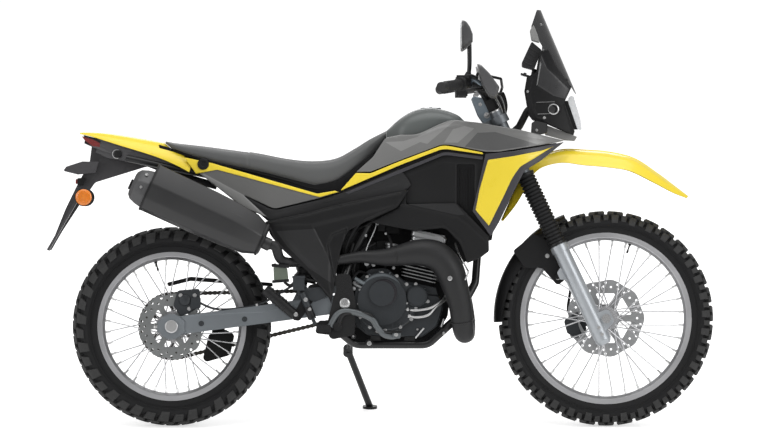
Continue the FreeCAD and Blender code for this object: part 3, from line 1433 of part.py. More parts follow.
def side_panels():
    """Every panel that lies on the machine's flanks, left and right."""
    plans = {
        "tank_shrouds": ((SHROUD, 0.0),),
        "yellow_panels": ((WING, -4.0), (STRIPE, 0.0), (seat_trim(), 0.0)),
        "lower_shrouds": ((WING_EDGE, -0.4), (INNER, 16.0), (LOW_SHROUD, 4.0)),
        "upper_covers": ((UPPER_COVER, 3.4),),
    }
    tank, rails, frame = fuel_tank(), subframe(), main_frame()
    outward = Y_AXIS
    nodes = {}
    for name, panels in plans.items():
        nodes[name] = [flank_panel(corners, flank_inset(depth)) for corners, depth in panels]
    shroud_bosses = [seated(boss(x, z, 60, 1.5), tank, outward) for x, z in ((800, 925), (880, 948))]
    nodes["tank_shrouds"] = [fused([*nodes["tank_shrouds"], *shroud_bosses])]
    ties = [boss(x, z, 18.0, 1.5) for x, z in ((1020, 850), (1008, 772), (880, 722))]
    ties.append(boss(830, 722, 18.0, 5.5))
    stripe = flank_panel(STRIPE, flank)
    ties += [seated(boss(x, z, 17.5, 1.0), stripe, outward * -1) for x, z in ((749, 862), (882, 913))]
    ties.append(seated(boss(880, 898, 60, 17.5), tank, outward))
    nodes["lower_shrouds"] = [fused([*nodes["lower_shrouds"], *ties])]
    cover_bosses = [seated(boss(x, z, 60, 5.0), rails, outward) for x, z in ((300, 786), (440, 755))]
    nodes["upper_covers"] = [fused([*nodes["upper_covers"], *cover_bosses])]
    cover = flank_panel(SIDE_COVER, side_cover_flank)
    cover_bosses = [
        seated(disc_on_y(x, z, 7, y, side_cover_flank(x, z) - 1.5), body, outward)
        for x, y, z, body in ((664, 72, 700, frame), (420, 90, 650, rails))
    ]
    nodes["side_covers"] = [fused([cover, *cover_bosses])]
    return {name: [side for piece in pieces for side in both_sides(piece)] for name, pieces in nodes.items()}


TAIL_COWL = (
    (-302, 964, -4, 16, 5),
    (-231, 963, -4, 46, 22),
    (-139, 951, -8, 70, 38),
    (-50, 936, -11, 84, 50),
    (10, 925, -11, 92, 62),
    (76, 905, -14, 99, 74),
)


def tail_cowl():
    """The yellow tail, cut away where the seat sits on it."""
    shell = trough(TAIL_COWL, 3.0, power=4.0)
    seat_room = side_prism([(-24, 1000), (-24, 929), (10, 900), (64, 877), (140, 870), (140, 1000)], -160, 160)
    front = side_prism([(40, 884), (88, 828), (140, 828), (140, 900)], -160, 160)
    return shell.cut(seat_room.fuse(front))


PLATE_WAY = vec(-0.8652, 0, 0.5014)
PLATE_HOLE_R = 3.5
PLATE_HOLE_SPAN = 160.0


def plate_holes():
    """The centres of the two bolt holes that take a number plate."""
    return [vec(-322, side * PLATE_HOLE_SPAN / 2, 722) for side in (1, -1)]


def rear_fender():
    """The dark under-tail with the plate holder that hangs from it."""
    under = trough(
        (
            (-286, 938, -6, 34, 10),
            (-230, 926, -12, 44, 20),
            (-140, 900, -20, 54, 24),
            (-50, 866, -22, 56, 24),
            (60, 826, -18, 56, 24),
            (150, 800, -14, 56, 24),
        ),
        3.0,
        power=4.0,
    )
    holder = side_prism(
        [(-262, 930), (-236, 900, 10), (-150, 890), (-60, 856), (-90, 850), (-252, 800, 20), (-280, 760, 20),
         (-298, 735), (-360, 640), (-396, 578), (-404, 578), (-350, 712), (-316, 782, 10), (-270, 868)],
        -9,
        9,
    )
    plate = side_prism([(-409, 580), (-402, 576), (-300, 752), (-307, 756)], -95, 95)
    plate = plate.cut(Part.makeCompound([rod(hole - PLATE_WAY * 20, hole + PLATE_WAY * 20, PLATE_HOLE_R) for hole in plate_holes()]))
    fin = side_prism(
        [(-357, 838, 4), (-346, 852, 4), (-294, 869), (-240, 868), (-250, 832), (-309, 826)], -42, 42
    )
    stalks = rod(vec(-287, -118, 751), vec(-287, 118, 751), 7)
    lamp = tail_light()
    lamp_room = lamp.fuse(moved(lamp, vec(SEAT_GAP, 0, -SEAT_GAP)))
    rails = subframe()
    return fused([under, holder, plate, fin, stalks]).cut(Part.makeCompound([lamp_room, rails]))


def indicators():
    """Round amber lamps on the ends of their stalks."""
    shape = fused(
        [disc_on_y(-287, 751, 29, 119, 137), Part.makeCone(29, 20, 10, vec(-287, 119, 751), -Y_AXIS)]
    )
    shape = shape.cut(rod(vec(-287, 100, 751), vec(-287, 118 + SEAT_GAP, 751), 7 + SEAT_GAP))
    return both_sides(shape)


def tail_light():
    """The red lamp under the tail's tip."""
    corners = [(-292, 950, 3), (-262, 941), (-224, 920, 4), (-227, 906, 4), (-259, 917, 6)]
    return side_prism(corners, -36, 36)


# The fairing tower, fixed to the frame ahead of the bars


SCREEN_TIP = (1211, 1368)
SCREEN_FOOT = (1327, 1094)
SCREEN_OUTLINE = (
    (SCREEN_TIP[0] - 8, 1380), (1180, 1311, 10), (1217, 1249, 12), (1215, 1232), (1232, 1179, 30),
    (1276, 1143, 30), (1311, 1115), (SCREEN_FOOT[0] - 2, 1090, 3), (1345, 1090), (1225, 1380),
)


def screen_front(z):
    """How far forward the screen's middle line is at a height."""
    (x1, z1), (x0, z0) = SCREEN_TIP, SCREEN_FOOT
    return x0 + (x1 - x0) * (z - z0) / (z1 - z0)


def windscreen():
    """The tall dark screen, wrapped back at its sides, cut to its raked side edges."""
    wires = []
    for z, half_width, depth in (
        (1088, 96, 150), (1150, 108, 150), (1210, 112, 136), (1270, 104, 112), (1320, 84, 70), (1366, 46, 16),
    ):
        rows = []
        for inset in (0.0, PANEL_THICK):
            row = []
            for i in range(9):
                share = 2 * i / 8 - 1
                back = (depth - inset) * abs(share) ** 3.2 + inset
                row.append(vec(screen_front(z) - back, (half_width - inset) * share, z))
            rows.append(row)
        outer, inner = Part.BSplineCurve(), Part.BSplineCurve()
        outer.interpolate(rows[0])
        inner.interpolate(rows[1][::-1])
        wires.append(
            Part.Wire(
                [
                    outer.toShape(),
                    Part.makeLine(rows[0][-1], rows[1][-1]),
                    inner.toShape(),
                    Part.makeLine(rows[1][0], rows[0][0]),
                ]
            )
        )
    return loft(wires).common(side_prism(SCREEN_OUTLINE, -200, 200))


TOWER = (
    (1166, 1146, 6), (1196, 1162, 6), (1211, 1230, 4), (1228, 1175, 30), (1273, 1137, 30), (1308, 1108, 6),
    (1294, 1078, 3), (1288, 1062), (1322, 968, 4), (1318, 954, 3), (1214, 1000, 6), (1186, 1004, 8),
    (1171, 1022, 8), (1158, 1100, 6),
)


def tower_half_width(x, z):
    return through(((1150, 76), (1230, 92), (1290, 84), (1330, 66)), x) + 0.05 * (z - 1050)


def tower_spine():
    return side_prism([(1182, 1062, 6), (1226, 1056, 8), (1238, 1116, 8), (1200, 1168), (1186, 1160)], -20, 20)


def tower_cowl():
    """The black side panels of the tower, joined by cross bars and a spine on the frame's stay."""
    panels = both_sides(flank_panel(TOWER, tower_half_width))
    joins = []
    for x, z in ((1190, 1062), (1232, 1108), (1282, 1040)):
        reach = tower_half_width(x, z) - PANEL_THICK / 2
        joins.append(disc_on_y(x, z, 6, -reach, reach))
    spine = tower_spine()
    socket = rod(STAY_END - vec(26, 0, 8), STAY_END + vec(14, 0, 4), 18)
    shell = side_prism([(1250, 1068, 8), (1299, 1068), (1331, 974), (1290, 974, 10), (1250, 1010, 10)], -58, 58)
    neck = side_prism([(1220, 1050), (1254, 1044), (1254, 1064), (1226, 1080)], -16, 16)
    screen = windscreen()
    stays = []
    for foot, head in ((vec(1228, 16, 1104), vec(1296, 62, 1136)), (vec(1212, 16, 1120), vec(1268, 46, 1236))):
        stays += both_sides(seated(rod(foot, head, 6), screen, X_AXIS * -1))
    whole = fused([*panels, *joins, spine, socket, shell, neck, *stays]).cut(tower_stay(STAY_R + SEAT_GAP))
    return whole.cut(screen).cut(moved(screen, X_AXIS * -SEAT_GAP))


def headlight():
    """The stacked lamp's lens, on the front of its shell."""
    back = (1299 + 1.06 * SEAT_GAP, 1068), (1331 + 1.06 * SEAT_GAP, 974)
    return side_prism([(1305, 1083, 6), (1318, 1083, 6), (1341, 1006), (1345, 970, 6), back[1], back[0]], -56, 56)


def chin_panel():
    """The grey nose under the tower."""
    corners = [(1222, 986, 4), (1318, 951, 4), (1328, 949, 2), (1318, 936, 4), (1298, 938), (1228, 955, 4), (1230, 975, 6)]
    posts = [rod(vec(1308, y, 950), vec(1308, y, 974 - SEAT_GAP), 7) for y in (-34, 34)]
    return fused([side_prism(corners, -50, 50), *posts])


def instruments():
    """The display behind the screen, on its arm."""
    box = side_prism(
        [(1186, 1262, 4), (1149, 1192, 4), (1151, 1178, 4), (1178, 1170, 4), (1206, 1226, 6)], -58, 58
    )
    arm = side_prism([(1168, 1176), (1196, 1190), (1200, 1150), (1190, 1150)], -14, 14)
    return box.fuse(seated(arm, tower_spine(), Z_AXIS))


STAND_KNUCKLE = 22.0
STAND_BOLT_R = 6.0


def stand_axis():
    tilt = math.radians(STAND_AXIS_TILT_DEG)
    return vec(0, math.cos(tilt), math.sin(tilt))


def side_stand():
    """The stand's leg and foot, on the knuckle that turns in its bracket."""
    pivot = vec(*STAND_PIVOT)
    floor = vec(*STAND_FOOT, STAND_FOOT[1] * math.tan(math.radians(LEAN_DEG)))
    up = vec(0, -math.sin(math.radians(LEAN_DEG)), math.cos(math.radians(LEAN_DEG)))
    foot = Part.makeCylinder(STAND_FOOT_R, STAND_FOOT_THICK, floor, up)
    leg = rod(pivot, floor + up * (STAND_FOOT_THICK * 0.6), STAND_LEG_R)
    axis = stand_axis()
    knuckle = Part.makeCylinder(16, STAND_KNUCKLE, pivot - axis * (STAND_KNUCKLE / 2), axis)
    bore = Part.makeCylinder(STAND_BOLT_R + RUNNING_GAP, 60, pivot - axis * 30, axis)
    ear_room = [
        Part.makeCylinder(17, 12, pivot + axis * offset, axis)
        for offset in (STAND_KNUCKLE / 2, -STAND_KNUCKLE / 2 - 12)
    ]
    return fused([foot, leg, knuckle]).cut(Part.makeCompound([bore, *ear_room]))


def stand_bracket():
    """Two ears under the left cradle rail, and the bolt that the stand turns on."""
    pivot = vec(*STAND_PIVOT)
    axis = stand_axis()
    rail = vec(584, 87, 280)
    across = rail - pivot
    across = across - axis * across.dot(axis)
    across.normalize()
    room = Part.makeCylinder(20, STAND_KNUCKLE + 1.0, pivot - axis * (STAND_KNUCKLE / 2 + 0.5), axis)
    shapes = [Part.makeCylinder(STAND_BOLT_R, 48, pivot - axis * 24, axis)]
    for offset in (STAND_KNUCKLE / 2 + 0.5, -STAND_KNUCKLE / 2 - 6.5):
        ear = pivot + axis * (offset + 3)
        shapes.append(Part.makeCylinder(16, 6, ear - axis * 3, axis))
        shapes.append(bent_rod([ear, ear + across * 30, rail], 5, 8).cut(room))
    return shapes


# Assembly


def build_nodes():
    """Every piece of the upright machine, by node name."""
    nodes = {}
    nodes.update(front_wheel())
    nodes.update(rear_wheel())
    nodes["fork_yokes"] = fork_yokes()
    nodes["fork_gaiters"] = [gaiter(1), gaiter(-1)]
    nodes["fork_lowers"] = [fork_lower(1), fork_lower(-1)]
    nodes["front_axle"] = front_axle()
    nodes["high_fender"] = high_fender()
    nodes["low_mudguard"] = low_mudguard()
    nodes["handlebar"] = handlebar()
    nodes["bar_controls"] = [side for piece in bar_controls() for side in both_sides(piece)]
    nodes["handguards"] = both_sides(handguard())
    nodes["mirrors"] = both_sides(mirror())
    nodes["front_brake"] = front_brake()
    nodes["brake_hose"] = brake_hose()
    nodes["engine_block"] = engine_block()
    nodes["cylinder"] = cylinder()
    nodes["intake"] = intake()
    nodes["expansion_chamber"] = expansion_chamber()
    can, cap = silencer()
    nodes["silencer"] = can
    nodes["silencer_cap"] = cap
    nodes["main_frame"] = main_frame()
    nodes["subframe"] = subframe()
    nodes["swingarm"] = swingarm()
    nodes["rear_axle"] = axle_and_pivot()
    nodes["rear_shock"] = rear_shock()
    nodes["chain"] = chain()
    nodes["chain_guard"] = chain_guard()
    nodes["rear_brake"] = rear_brake()
    rider_peg, passenger_peg = footpegs()
    nodes["foot_controls"] = [*both_sides(rider_peg), *both_sides(passenger_peg), brake_pedal()]
    nodes["seat"] = seat()
    nodes["fuel_tank"] = fuel_tank()
    nodes.update(side_panels())
    nodes["tail_cowl"] = tail_cowl()
    nodes["rear_fender"] = rear_fender()
    nodes["indicators"] = indicators()
    nodes["tail_light"] = tail_light()
    nodes["windscreen"] = windscreen()
    nodes["tower_cowl"] = tower_cowl()
    nodes["headlight"] = headlight()
    nodes["chin_panel"] = chin_panel()
    nodes["instruments"] = instruments()
    nodes["side_stand"] = side_stand()
    return nodes


def as_one(shape):
    return Part.makeCompound(shape) if isinstance(shape, list) else shape


def leaned(shape):
    """The shape turned over about the floor line, onto the side stand."""
    moved = shape.copy()
    turn = FreeCAD.Placement(ORIGIN, FreeCAD.Rotation(X_AXIS, -LEAN_DEG))
    moved.Placement = turn.multiply(moved.Placement)
    return moved


def base_centre(shapes):
    """The middle of the foot of the box round all the shapes, from their surface points."""
    points = [p for shape in shapes for p in shape.tessellate(0.5)[0]]
    x_low, x_high = min(p.x for p in points), max(p.x for p in points)
    y_low, y_high = min(p.y for p in points), max(p.y for p in points)
    return vec((x_low + x_high) / 2, (y_low + y_high) / 2, 0)


NODES = {name: leaned(as_one(shape)) for name, shape in build_nodes().items()}
BASE = base_centre(NODES.values())

os.makedirs("parts", exist_ok=True)
for name, shape in NODES.items():
    shape.translate(BASE * -1)
    shape.exportStep(os.path.join("parts", name + ".step"))
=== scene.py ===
"""Looks of the dual sport motorcycle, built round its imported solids.

Places are written in millimetres of the upright machine: X forward from the rear axle, Y to the
rider's left and Z up from the floor line. PLACE turns them into metres of the leaning frame.
"""

import math

import bpy
import numpy as np
from mathutils import Matrix, Vector
from mathutils.geometry import delaunay_2d_cdt

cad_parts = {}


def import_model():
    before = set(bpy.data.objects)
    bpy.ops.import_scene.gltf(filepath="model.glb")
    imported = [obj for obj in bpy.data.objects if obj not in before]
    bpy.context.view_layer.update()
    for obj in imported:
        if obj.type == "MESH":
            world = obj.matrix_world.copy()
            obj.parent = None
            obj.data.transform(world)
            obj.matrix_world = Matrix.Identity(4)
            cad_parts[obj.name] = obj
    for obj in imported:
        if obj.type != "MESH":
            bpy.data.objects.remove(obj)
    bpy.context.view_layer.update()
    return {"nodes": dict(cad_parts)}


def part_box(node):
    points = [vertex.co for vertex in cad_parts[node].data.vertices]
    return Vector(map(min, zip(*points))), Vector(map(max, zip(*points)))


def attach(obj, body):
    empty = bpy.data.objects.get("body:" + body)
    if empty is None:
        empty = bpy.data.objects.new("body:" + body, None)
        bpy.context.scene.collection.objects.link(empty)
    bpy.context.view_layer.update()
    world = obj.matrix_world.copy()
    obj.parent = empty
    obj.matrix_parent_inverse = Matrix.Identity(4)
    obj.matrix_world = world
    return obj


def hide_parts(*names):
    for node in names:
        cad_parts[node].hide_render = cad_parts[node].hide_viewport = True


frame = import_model()

# Placement of the upright machine in the leaning frame

MM = 0.001
LEAN = math.radians(10.0)
RAKE = math.radians(25.3)
WHEELBASE = 1425.0
FRONT_TYRE_R = 353.0
REAR_TYRE_R = 326.5
FRONT_CROWN_R = 50.0
REAR_CROWN_R = 70.0
AXLE_LEAD = 39.0
FORK_HALF_SPAN = 95.0
LEAN_LIFT = 1.0 / math.cos(LEAN) - 1.0
FRONT_AXLE = Vector((WHEELBASE, 0, FRONT_TYRE_R + FRONT_CROWN_R * LEAN_LIFT))
REAR_AXLE = Vector((0, 0, REAR_TYRE_R + REAR_CROWN_R * LEAN_LIFT))

X_WAY, Y_WAY, Z_WAY = Vector((1, 0, 0)), Vector((0, 1, 0)), Vector((0, 0, 1))
RIGHT = -Y_WAY


def way_at(angle):
    """The direction at an angle in the plane of the wheels, from straight ahead upward."""
    return Vector((math.cos(angle), 0, math.sin(angle)))


WHEEL_LOW, WHEEL_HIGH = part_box("front_tyre")
TURN = Matrix.Rotation(-LEAN, 4, "X")
SHIFT = (WHEEL_LOW + WHEEL_HIGH) / 2 - TURN @ (FRONT_AXLE * MM)
PLACE = Matrix.Translation(SHIFT) @ TURN @ Matrix.Scale(MM, 4)

FORK_FOOT = FRONT_AXLE - way_at(RAKE) * AXLE_LEAD
FORK = Matrix.Translation(FORK_FOOT) @ Matrix.Rotation(-RAKE, 4, "Y")
FORK_TURN = FORK.to_3x3()
FORK_UP = FORK_TURN @ Z_WAY
FORK_AHEAD = FORK_TURN @ X_WAY

BARREL_FOOT = (806, 0, 468)
BARREL_TILT = math.radians(13.0)
BARREL = Matrix.Translation(BARREL_FOOT) @ Matrix.Rotation(BARREL_TILT, 4, "Y")
BARREL_TURN = BARREL.to_3x3()


def placed(x, y, z):
    """A place of the upright machine in metres of the leaning frame."""
    return PLACE @ Vector((x, y, z))


# Forms: points and faces gathered for one piece


class Form:
    """Points and faces of one piece, in millimetres of the upright machine."""

    def __init__(self):
        self.points = []
        self.faces = []
        self.slots = []

    def add(self, shape, at=None, slot=0):
        """Adds points with their faces, moved by a matrix, in one material slot or a list of them."""
        points, faces = shape
        self.slots += [slot] * len(faces) if isinstance(slot, int) else slot
        base = len(self.points)
        if at is not None:
            points = [at @ Vector(p) for p in points]
        self.points += [tuple(p) for p in points]
        self.faces += [tuple(base + i for i in face) for face in faces]
        return self

    def mirror(self):
        """Adds the same form on the other side of the middle plane."""
        count = len(self.points)
        self.points += [(x, -y, z) for x, y, z in self.points]
        self.faces += [tuple(count + i for i in reversed(face)) for face in self.faces]
        self.slots += self.slots
        return self


def forms(count):
    """Empty forms, one for each piece that a function makes."""
    return [Form() for _ in range(count)]


def piece(name, form, material, body="machine", bevel=0.0, sharp=38.0, stands_for=()):
    """Makes one object of a form, riding on a body of the frame."""
    mesh = bpy.data.meshes.new(name)
    points = np.array(form.points, float)
    turn = np.array(PLACE, float)
    mesh.from_pydata(points @ turn[:3, :3].T + turn[:3, 3], [], form.faces)
    mesh.polygons.foreach_set("material_index", form.slots)
    mesh.validate()
    mesh.shade_smooth()
    mesh.set_sharp_from_angle(angle=math.radians(sharp))
    obj = bpy.data.objects.new(name, mesh)
    bpy.context.scene.collection.objects.link(obj)
    for held in material if isinstance(material, tuple) else (material,):
        obj.data.materials.append(held)
    if bevel:
        edge = obj.modifiers.new("edge", "BEVEL")
        edge.width = bevel * MM
        edge.segments = 2
        edge.limit_method = "ANGLE"
        edge.angle_limit = math.radians(35)
    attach(obj, body)
    if stands_for:
        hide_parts(*stands_for)
    return obj


def ring_faces(rows, count, closed_rows=False):
    """Quads between rings of points, each of the same count."""
    faces = []
    for i in range(rows if closed_rows else rows - 1):
        here, after = i * count, ((i + 1) % rows) * count
        for j in range(count):
            k = (j + 1) % count
            faces.append((here + j, here + k, after + k, after + j))
    return faces


def turned(faces):
    """The same faces seen from their other side."""
    return [tuple(reversed(face)) for face in faces]


def skin_faces(rows, count, inward=False):
    """Quads between rings of the same count and a face at each end."""
    last = (rows - 1) * count
    faces = ring_faces(rows, count)
    faces += [tuple(reversed(range(count))), tuple(range(last, last + count))]
    return turned(faces) if inward else faces


def smooth_path(points, steps=6):
    """Points along a smooth curve through the given ones."""
    knots = [Vector(p) for p in points]
    ends = [knots[0] * 2 - knots[1], *knots, knots[-1] * 2 - knots[-2]]
    path = []
    for i in range(1, len(ends) - 2):
        before, here, after, beyond = ends[i - 1 : i + 3]
        for k in range(steps):
            t = k / steps
            path.append(
                0.5
                * (
                    2 * here
                    + (after - before) * t
                    + (2 * before - 5 * here + 4 * after - beyond) * t * t
                    + (3 * here - before - 3 * after + beyond) * t**3
                )
            )
    return [*path, knots[-1]]


def tube(path, radius, sides=12, flat=1.0):
    """A closed round bar along a path; the radius may be a list with one value for each point."""
    path = [Vector(p) for p in path]
    radii = radius if isinstance(radius, (list, tuple)) else [radius] * len(path)
    points = []
    side = None
    for i, here in enumerate(path):
        along = (path[min(i + 1, len(path) - 1)] - path[max(i - 1, 0)]).normalized()
        if side is None:
            side = along.orthogonal().normalized()
        side = (side - along * side.dot(along)).normalized()
        up = along.cross(side)
        for k in range(sides):
            angle = 2 * math.pi * k / sides
            points.append(here + (side * math.cos(angle) + up * math.sin(angle) * flat) * radii[i])
    return points, skin_faces(len(path), sides)


def bent_tube(points, steps, *bar):
    """A round bar along a smooth curve through the points."""
    return tube(smooth_path(points, steps), *bar)


def lathe(profile, centre, axis, segments=32):
    """A closed body turned about an axis from (radius, along) points; ends on the axis close it."""
    axis = Vector(axis).normalized()
    side = axis.orthogonal().normalized()
    up = axis.cross(side)
    centre = Vector(centre)
    points = []
    for radius, along in profile:
        for k in range(segments):
            angle = 2 * math.pi * k / segments
            points.append(centre + axis * along + (side * math.cos(angle) + up * math.sin(angle)) * radius)
    return points, skin_faces(len(profile), segments)


def hoop(profile, centre, axis, segments=48):
    """A ring turned about an axis from a closed profile of (radius, along) points."""
    axis = Vector(axis).normalized()
    side = axis.orthogonal().normalized()
    up = axis.cross(side)
    centre = Vector(centre)
    points = []
    for k in range(segments):
        angle = 2 * math.pi * k / segments
        way = side * math.cos(angle) + up * math.sin(angle)
        points += [centre + axis * along + way * radius for radius, along in profile]
    return points, ring_faces(segments, len(profile), closed_rows=True)


def prism(outline, y_from, y_to):
    """A solid between two Y planes from an outline of (x, z) points."""
    count = len(outline)
    points = [(x, y_from, z) for x, z in outline] + [(x, y_to, z) for x, z in outline]
    return points, skin_faces(2, count)


def box(low, high):
    """A block between its lowest and highest corners."""
    (x0, y0, z0), (x1, y1, z1) = low, high
    return prism([(x0, z0), (x1, z0), (x1, z1), (x0, z1)], y0, y1)


def rounded(outline, radius, steps=3):
    """An outline with each corner cut to a short arc."""
    result = []
    count = len(outline)
    for i, corner in enumerate(outline):
        here = Vector(corner[:2])
        back = Vector(outline[i - 1][:2]) - here
        ahead = Vector(outline[(i + 1) % count][:2]) - here
        own = corner[2] if len(corner) > 2 else radius
        reach = min(own, 0.45 * back.length, 0.45 * ahead.length)
        start, end = here + back.normalized() * reach, here + ahead.normalized() * reach
        for k in range(steps + 1):
            t = k / steps
            result.append(tuple(start * (1 - t) ** 2 + here * 2 * t * (1 - t) + end * t * t))
    return result


def lofted_box(levels):
    """A block between level rectangles given as (x low, x high, y low, y high, z)."""
    points = []
    for x0, x1, y0, y1, z in levels:
        points += [(x0, y0, z), (x1, y0, z), (x1, y1, z), (x0, y1, z)]
    return points, skin_faces(len(levels), 4)


def plate(outline, z, thick, edge):
    """A flat plate of one outline with rounded top and bottom edges."""
    centre = np.mean(np.array(outline), axis=0)
    rows = []
    for inset, height in ((edge, 0.0), (0.0, edge), (0.0, thick - edge), (edge, thick)):
        for x, y in outline:
            way = np.array([x, y]) - centre
            length = max(float(np.linalg.norm(way)), 1e-6)
            x2, y2 = centre + way * (1 - inset / length)
            rows.append((x2, y2, z + height))
    return rows, skin_faces(4, len(outline))


def facing(outline, y, thick, edge):
    """The same plate lying against the machine's right side, its face towards the right."""
    points, faces = plate(outline, 0.0, thick, edge)
    return [(x, y - z, v) for x, v, z in points], faces


def facing_left(outline, y, thick, edge):
    """A plate against the left side of the middle plane, its face towards the left."""
    points, faces = plate(outline, 0.0, thick, edge)
    return [(x, y + z, v) for x, v, z in points], turned(faces)


def facing_side(outline, side, y, thick, edge):
    """A plate on the left side for 1, or on the right side for -1, its face outward."""
    if side > 0:
        return facing_left(outline, y, thick, edge)
    return facing(outline, -y, thick, edge)


def disc_outline(x, z, radius, count=40):
    """Points round a circle."""
    turns = [2 * math.pi * k / count for k in range(count)]
    return [(x + radius * math.cos(turn), z + radius * math.sin(turn)) for turn in turns]


def screw(centre, way, radius, height, sides=16):
    """A round-headed screw with a socket in its face."""
    shares = ((1, 0), (1, 0.7), (0.82, 1), (0.5, 1), (0.42, 0.35), (0.02, 0.35))
    return lathe([(radius * out, height * up) for out, up in shares], centre, way, sides)


def hex_bolt(centre, way, radius, height):
    """A flanged bolt with a six-sided head."""
    points, faces = lathe([(radius * 1.35, 0), (radius * 1.3, height * 0.22)], centre, way, 18)
    shares = ((1, 0.2), (1, 0.88), (0.86, 1), (0.02, 1))
    head = lathe([(radius * out, height * up) for out, up in shares], centre, way, 6)
    base = len(points)
    return points + head[0], faces + [tuple(base + i for i in face) for face in head[1]]


# Materials


def linear(red, green, blue):
    """A colour written as 0 to 255 steps, as linear light."""
    steps = [c / 255 for c in (red, green, blue)]
    return [c / 12.92 if c <= 0.04045 else ((c + 0.055) / 1.055) ** 2.4 for c in steps]


def scaled(colour, share):
    """A linear colour made lighter or darker, with full alpha."""
    return [min(1.0, c * share) for c in colour] + [1.0]


class Shader:
    """A small helper that adds nodes to one material and links them."""

    def __init__(self, name):
        self.material = bpy.data.materials.new(name)
        self.material.use_nodes = True
        self.tree = self.material.node_tree
        self.surface = self.tree.nodes["Principled BSDF"]
        self.coordinates = self.add("ShaderNodeTexCoord").outputs["Object"]

    def add(self, kind, **values):
        """A new node; each value sets a property or else an input, with low lines for spaces."""
        node = self.tree.nodes.new(kind)
        for key, value in values.items():
            if hasattr(node, key):
                setattr(node, key, value)
            else:
                node.inputs[key.replace("_", " ")].default_value = value
        return node

    def link(self, source, target):
        """Joins a node's output to an input."""
        self.tree.links.new(source, target)

    def give(self, **values):
        """Sets the surface's inputs by their names, with low lines for spaces."""
        for name, value in values.items():
            self.surface.inputs[name.replace("_", " ")].default_value = value

    def noise(self, scale, detail=3.0, stretch=None):
        """Noise over the piece's own coordinates, stretched along an axis where that is given."""
        node = self.add("ShaderNodeTexNoise", Scale=scale, Detail=detail, Roughness=0.55)
        source = self.coordinates
        if stretch:
            mapping = self.add("ShaderNodeMapping", Scale=stretch)
            self.link(source, mapping.inputs["Vector"])
            source = mapping.outputs["Vector"]
        self.link(source, node.inputs["Vector"])
        return node.outputs["Fac"]

    def spread(self, source, low, high, start=0.3, end=0.7):
        """A value from one range carried over to another."""
        node = self.add("ShaderNodeMapRange", From_Min=start, From_Max=end, To_Min=low, To_Max=high)
        self.link(source, node.inputs["Value"])
        return node.outputs["Result"]

    def mix(self, share, first, second):
        """A colour between two, each a plain colour or another node's output."""
        node = self.add("ShaderNodeMix", data_type="RGBA")
        for value, socket in ((first, node.inputs[6]), (second, node.inputs[7])):
            if isinstance(value, list):
                socket.default_value = value
            else:
                self.link(value, socket)
        self.link(share, node.inputs[0])
        return node.outputs[2]

    def bump(self, height, strength, distance, normal=None):
        """A normal tilted by a height."""
        node = self.add("ShaderNodeBump", Strength=strength, Distance=distance)
        self.link(height, node.inputs["Height"])
        if normal:
            self.link(normal, node.inputs["Normal"])
        return node.outputs["Normal"]

    def rounding(self, radius):
        """A normal that rounds sharp edges, and a mask that is 1 along them."""
        bevel = self.add("ShaderNodeBevel", samples=4, Radius=radius)
        geometry = self.add("ShaderNodeNewGeometry")
        dot = self.add("ShaderNodeVectorMath", operation="DOT_PRODUCT")
        self.link(bevel.outputs["Normal"], dot.inputs[0])
        self.link(geometry.outputs["Normal"], dot.inputs[1])
        return bevel.outputs["Normal"], self.spread(dot.outputs["Value"], 1.0, 0.0, 0.80, 0.985)


def finish(
    name, colour, rough, metal=0.0, grain=1400.0, bump=0.25, mottle=0.06, edge=0.0012, edge_wear_and_highlight=1.35,
    coat=0.0, sheen=0.0, uneven=0.07, depth=0.0003, stretch=None, shine=0.5
):
    """A procedural surface: broad colour drift, fine grain, uneven gloss, and rounded edges lightened in
    patches, partly as wear and partly as a painted edge highlight.
    """
    shader = Shader(name)
    surface = shader.surface
    base = linear(*colour)
    broad = shader.noise(7.0, 5.0)
    fine = shader.noise(grain, 2.0, stretch)
    tone = shader.mix(shader.spread(broad, 0.0, 1.0), scaled(base, 1 - mottle), scaled(base, 1 + mottle))
    normal = None
    if edge:
        normal, rim = shader.rounding(edge)
        # Lighter colour along sharp edges in noisy patches: partly wear, partly a painted highlight on the
        # edges.
        scuff_and_highlight_mask = shader.add("ShaderNodeMath", operation="MULTIPLY")
        shader.link(rim, scuff_and_highlight_mask.inputs[0])
        shader.link(shader.spread(shader.noise(60.0, 4.0), 0.15, 0.85, 0.35, 0.65), scuff_and_highlight_mask.inputs[1])
        tone = shader.mix(scuff_and_highlight_mask.outputs[0], tone, scaled(base, edge_wear_and_highlight))
    shader.link(tone, surface.inputs["Base Color"])
    gloss = shader.add("ShaderNodeMath", operation="ADD")
    shader.link(shader.spread(broad, rough - uneven, rough + uneven), gloss.inputs[0])
    shader.link(shader.spread(fine, -0.04, 0.04), gloss.inputs[1])
    shader.link(gloss.outputs[0], surface.inputs["Roughness"])
    shader.link(shader.bump(fine, bump, depth, normal), surface.inputs["Normal"])
    shader.give(
        Metallic=metal, Specular_IOR_Level=shine, Coat_Weight=coat, Coat_Roughness=0.08, Sheen_Weight=sheen
    )
    return shader.material


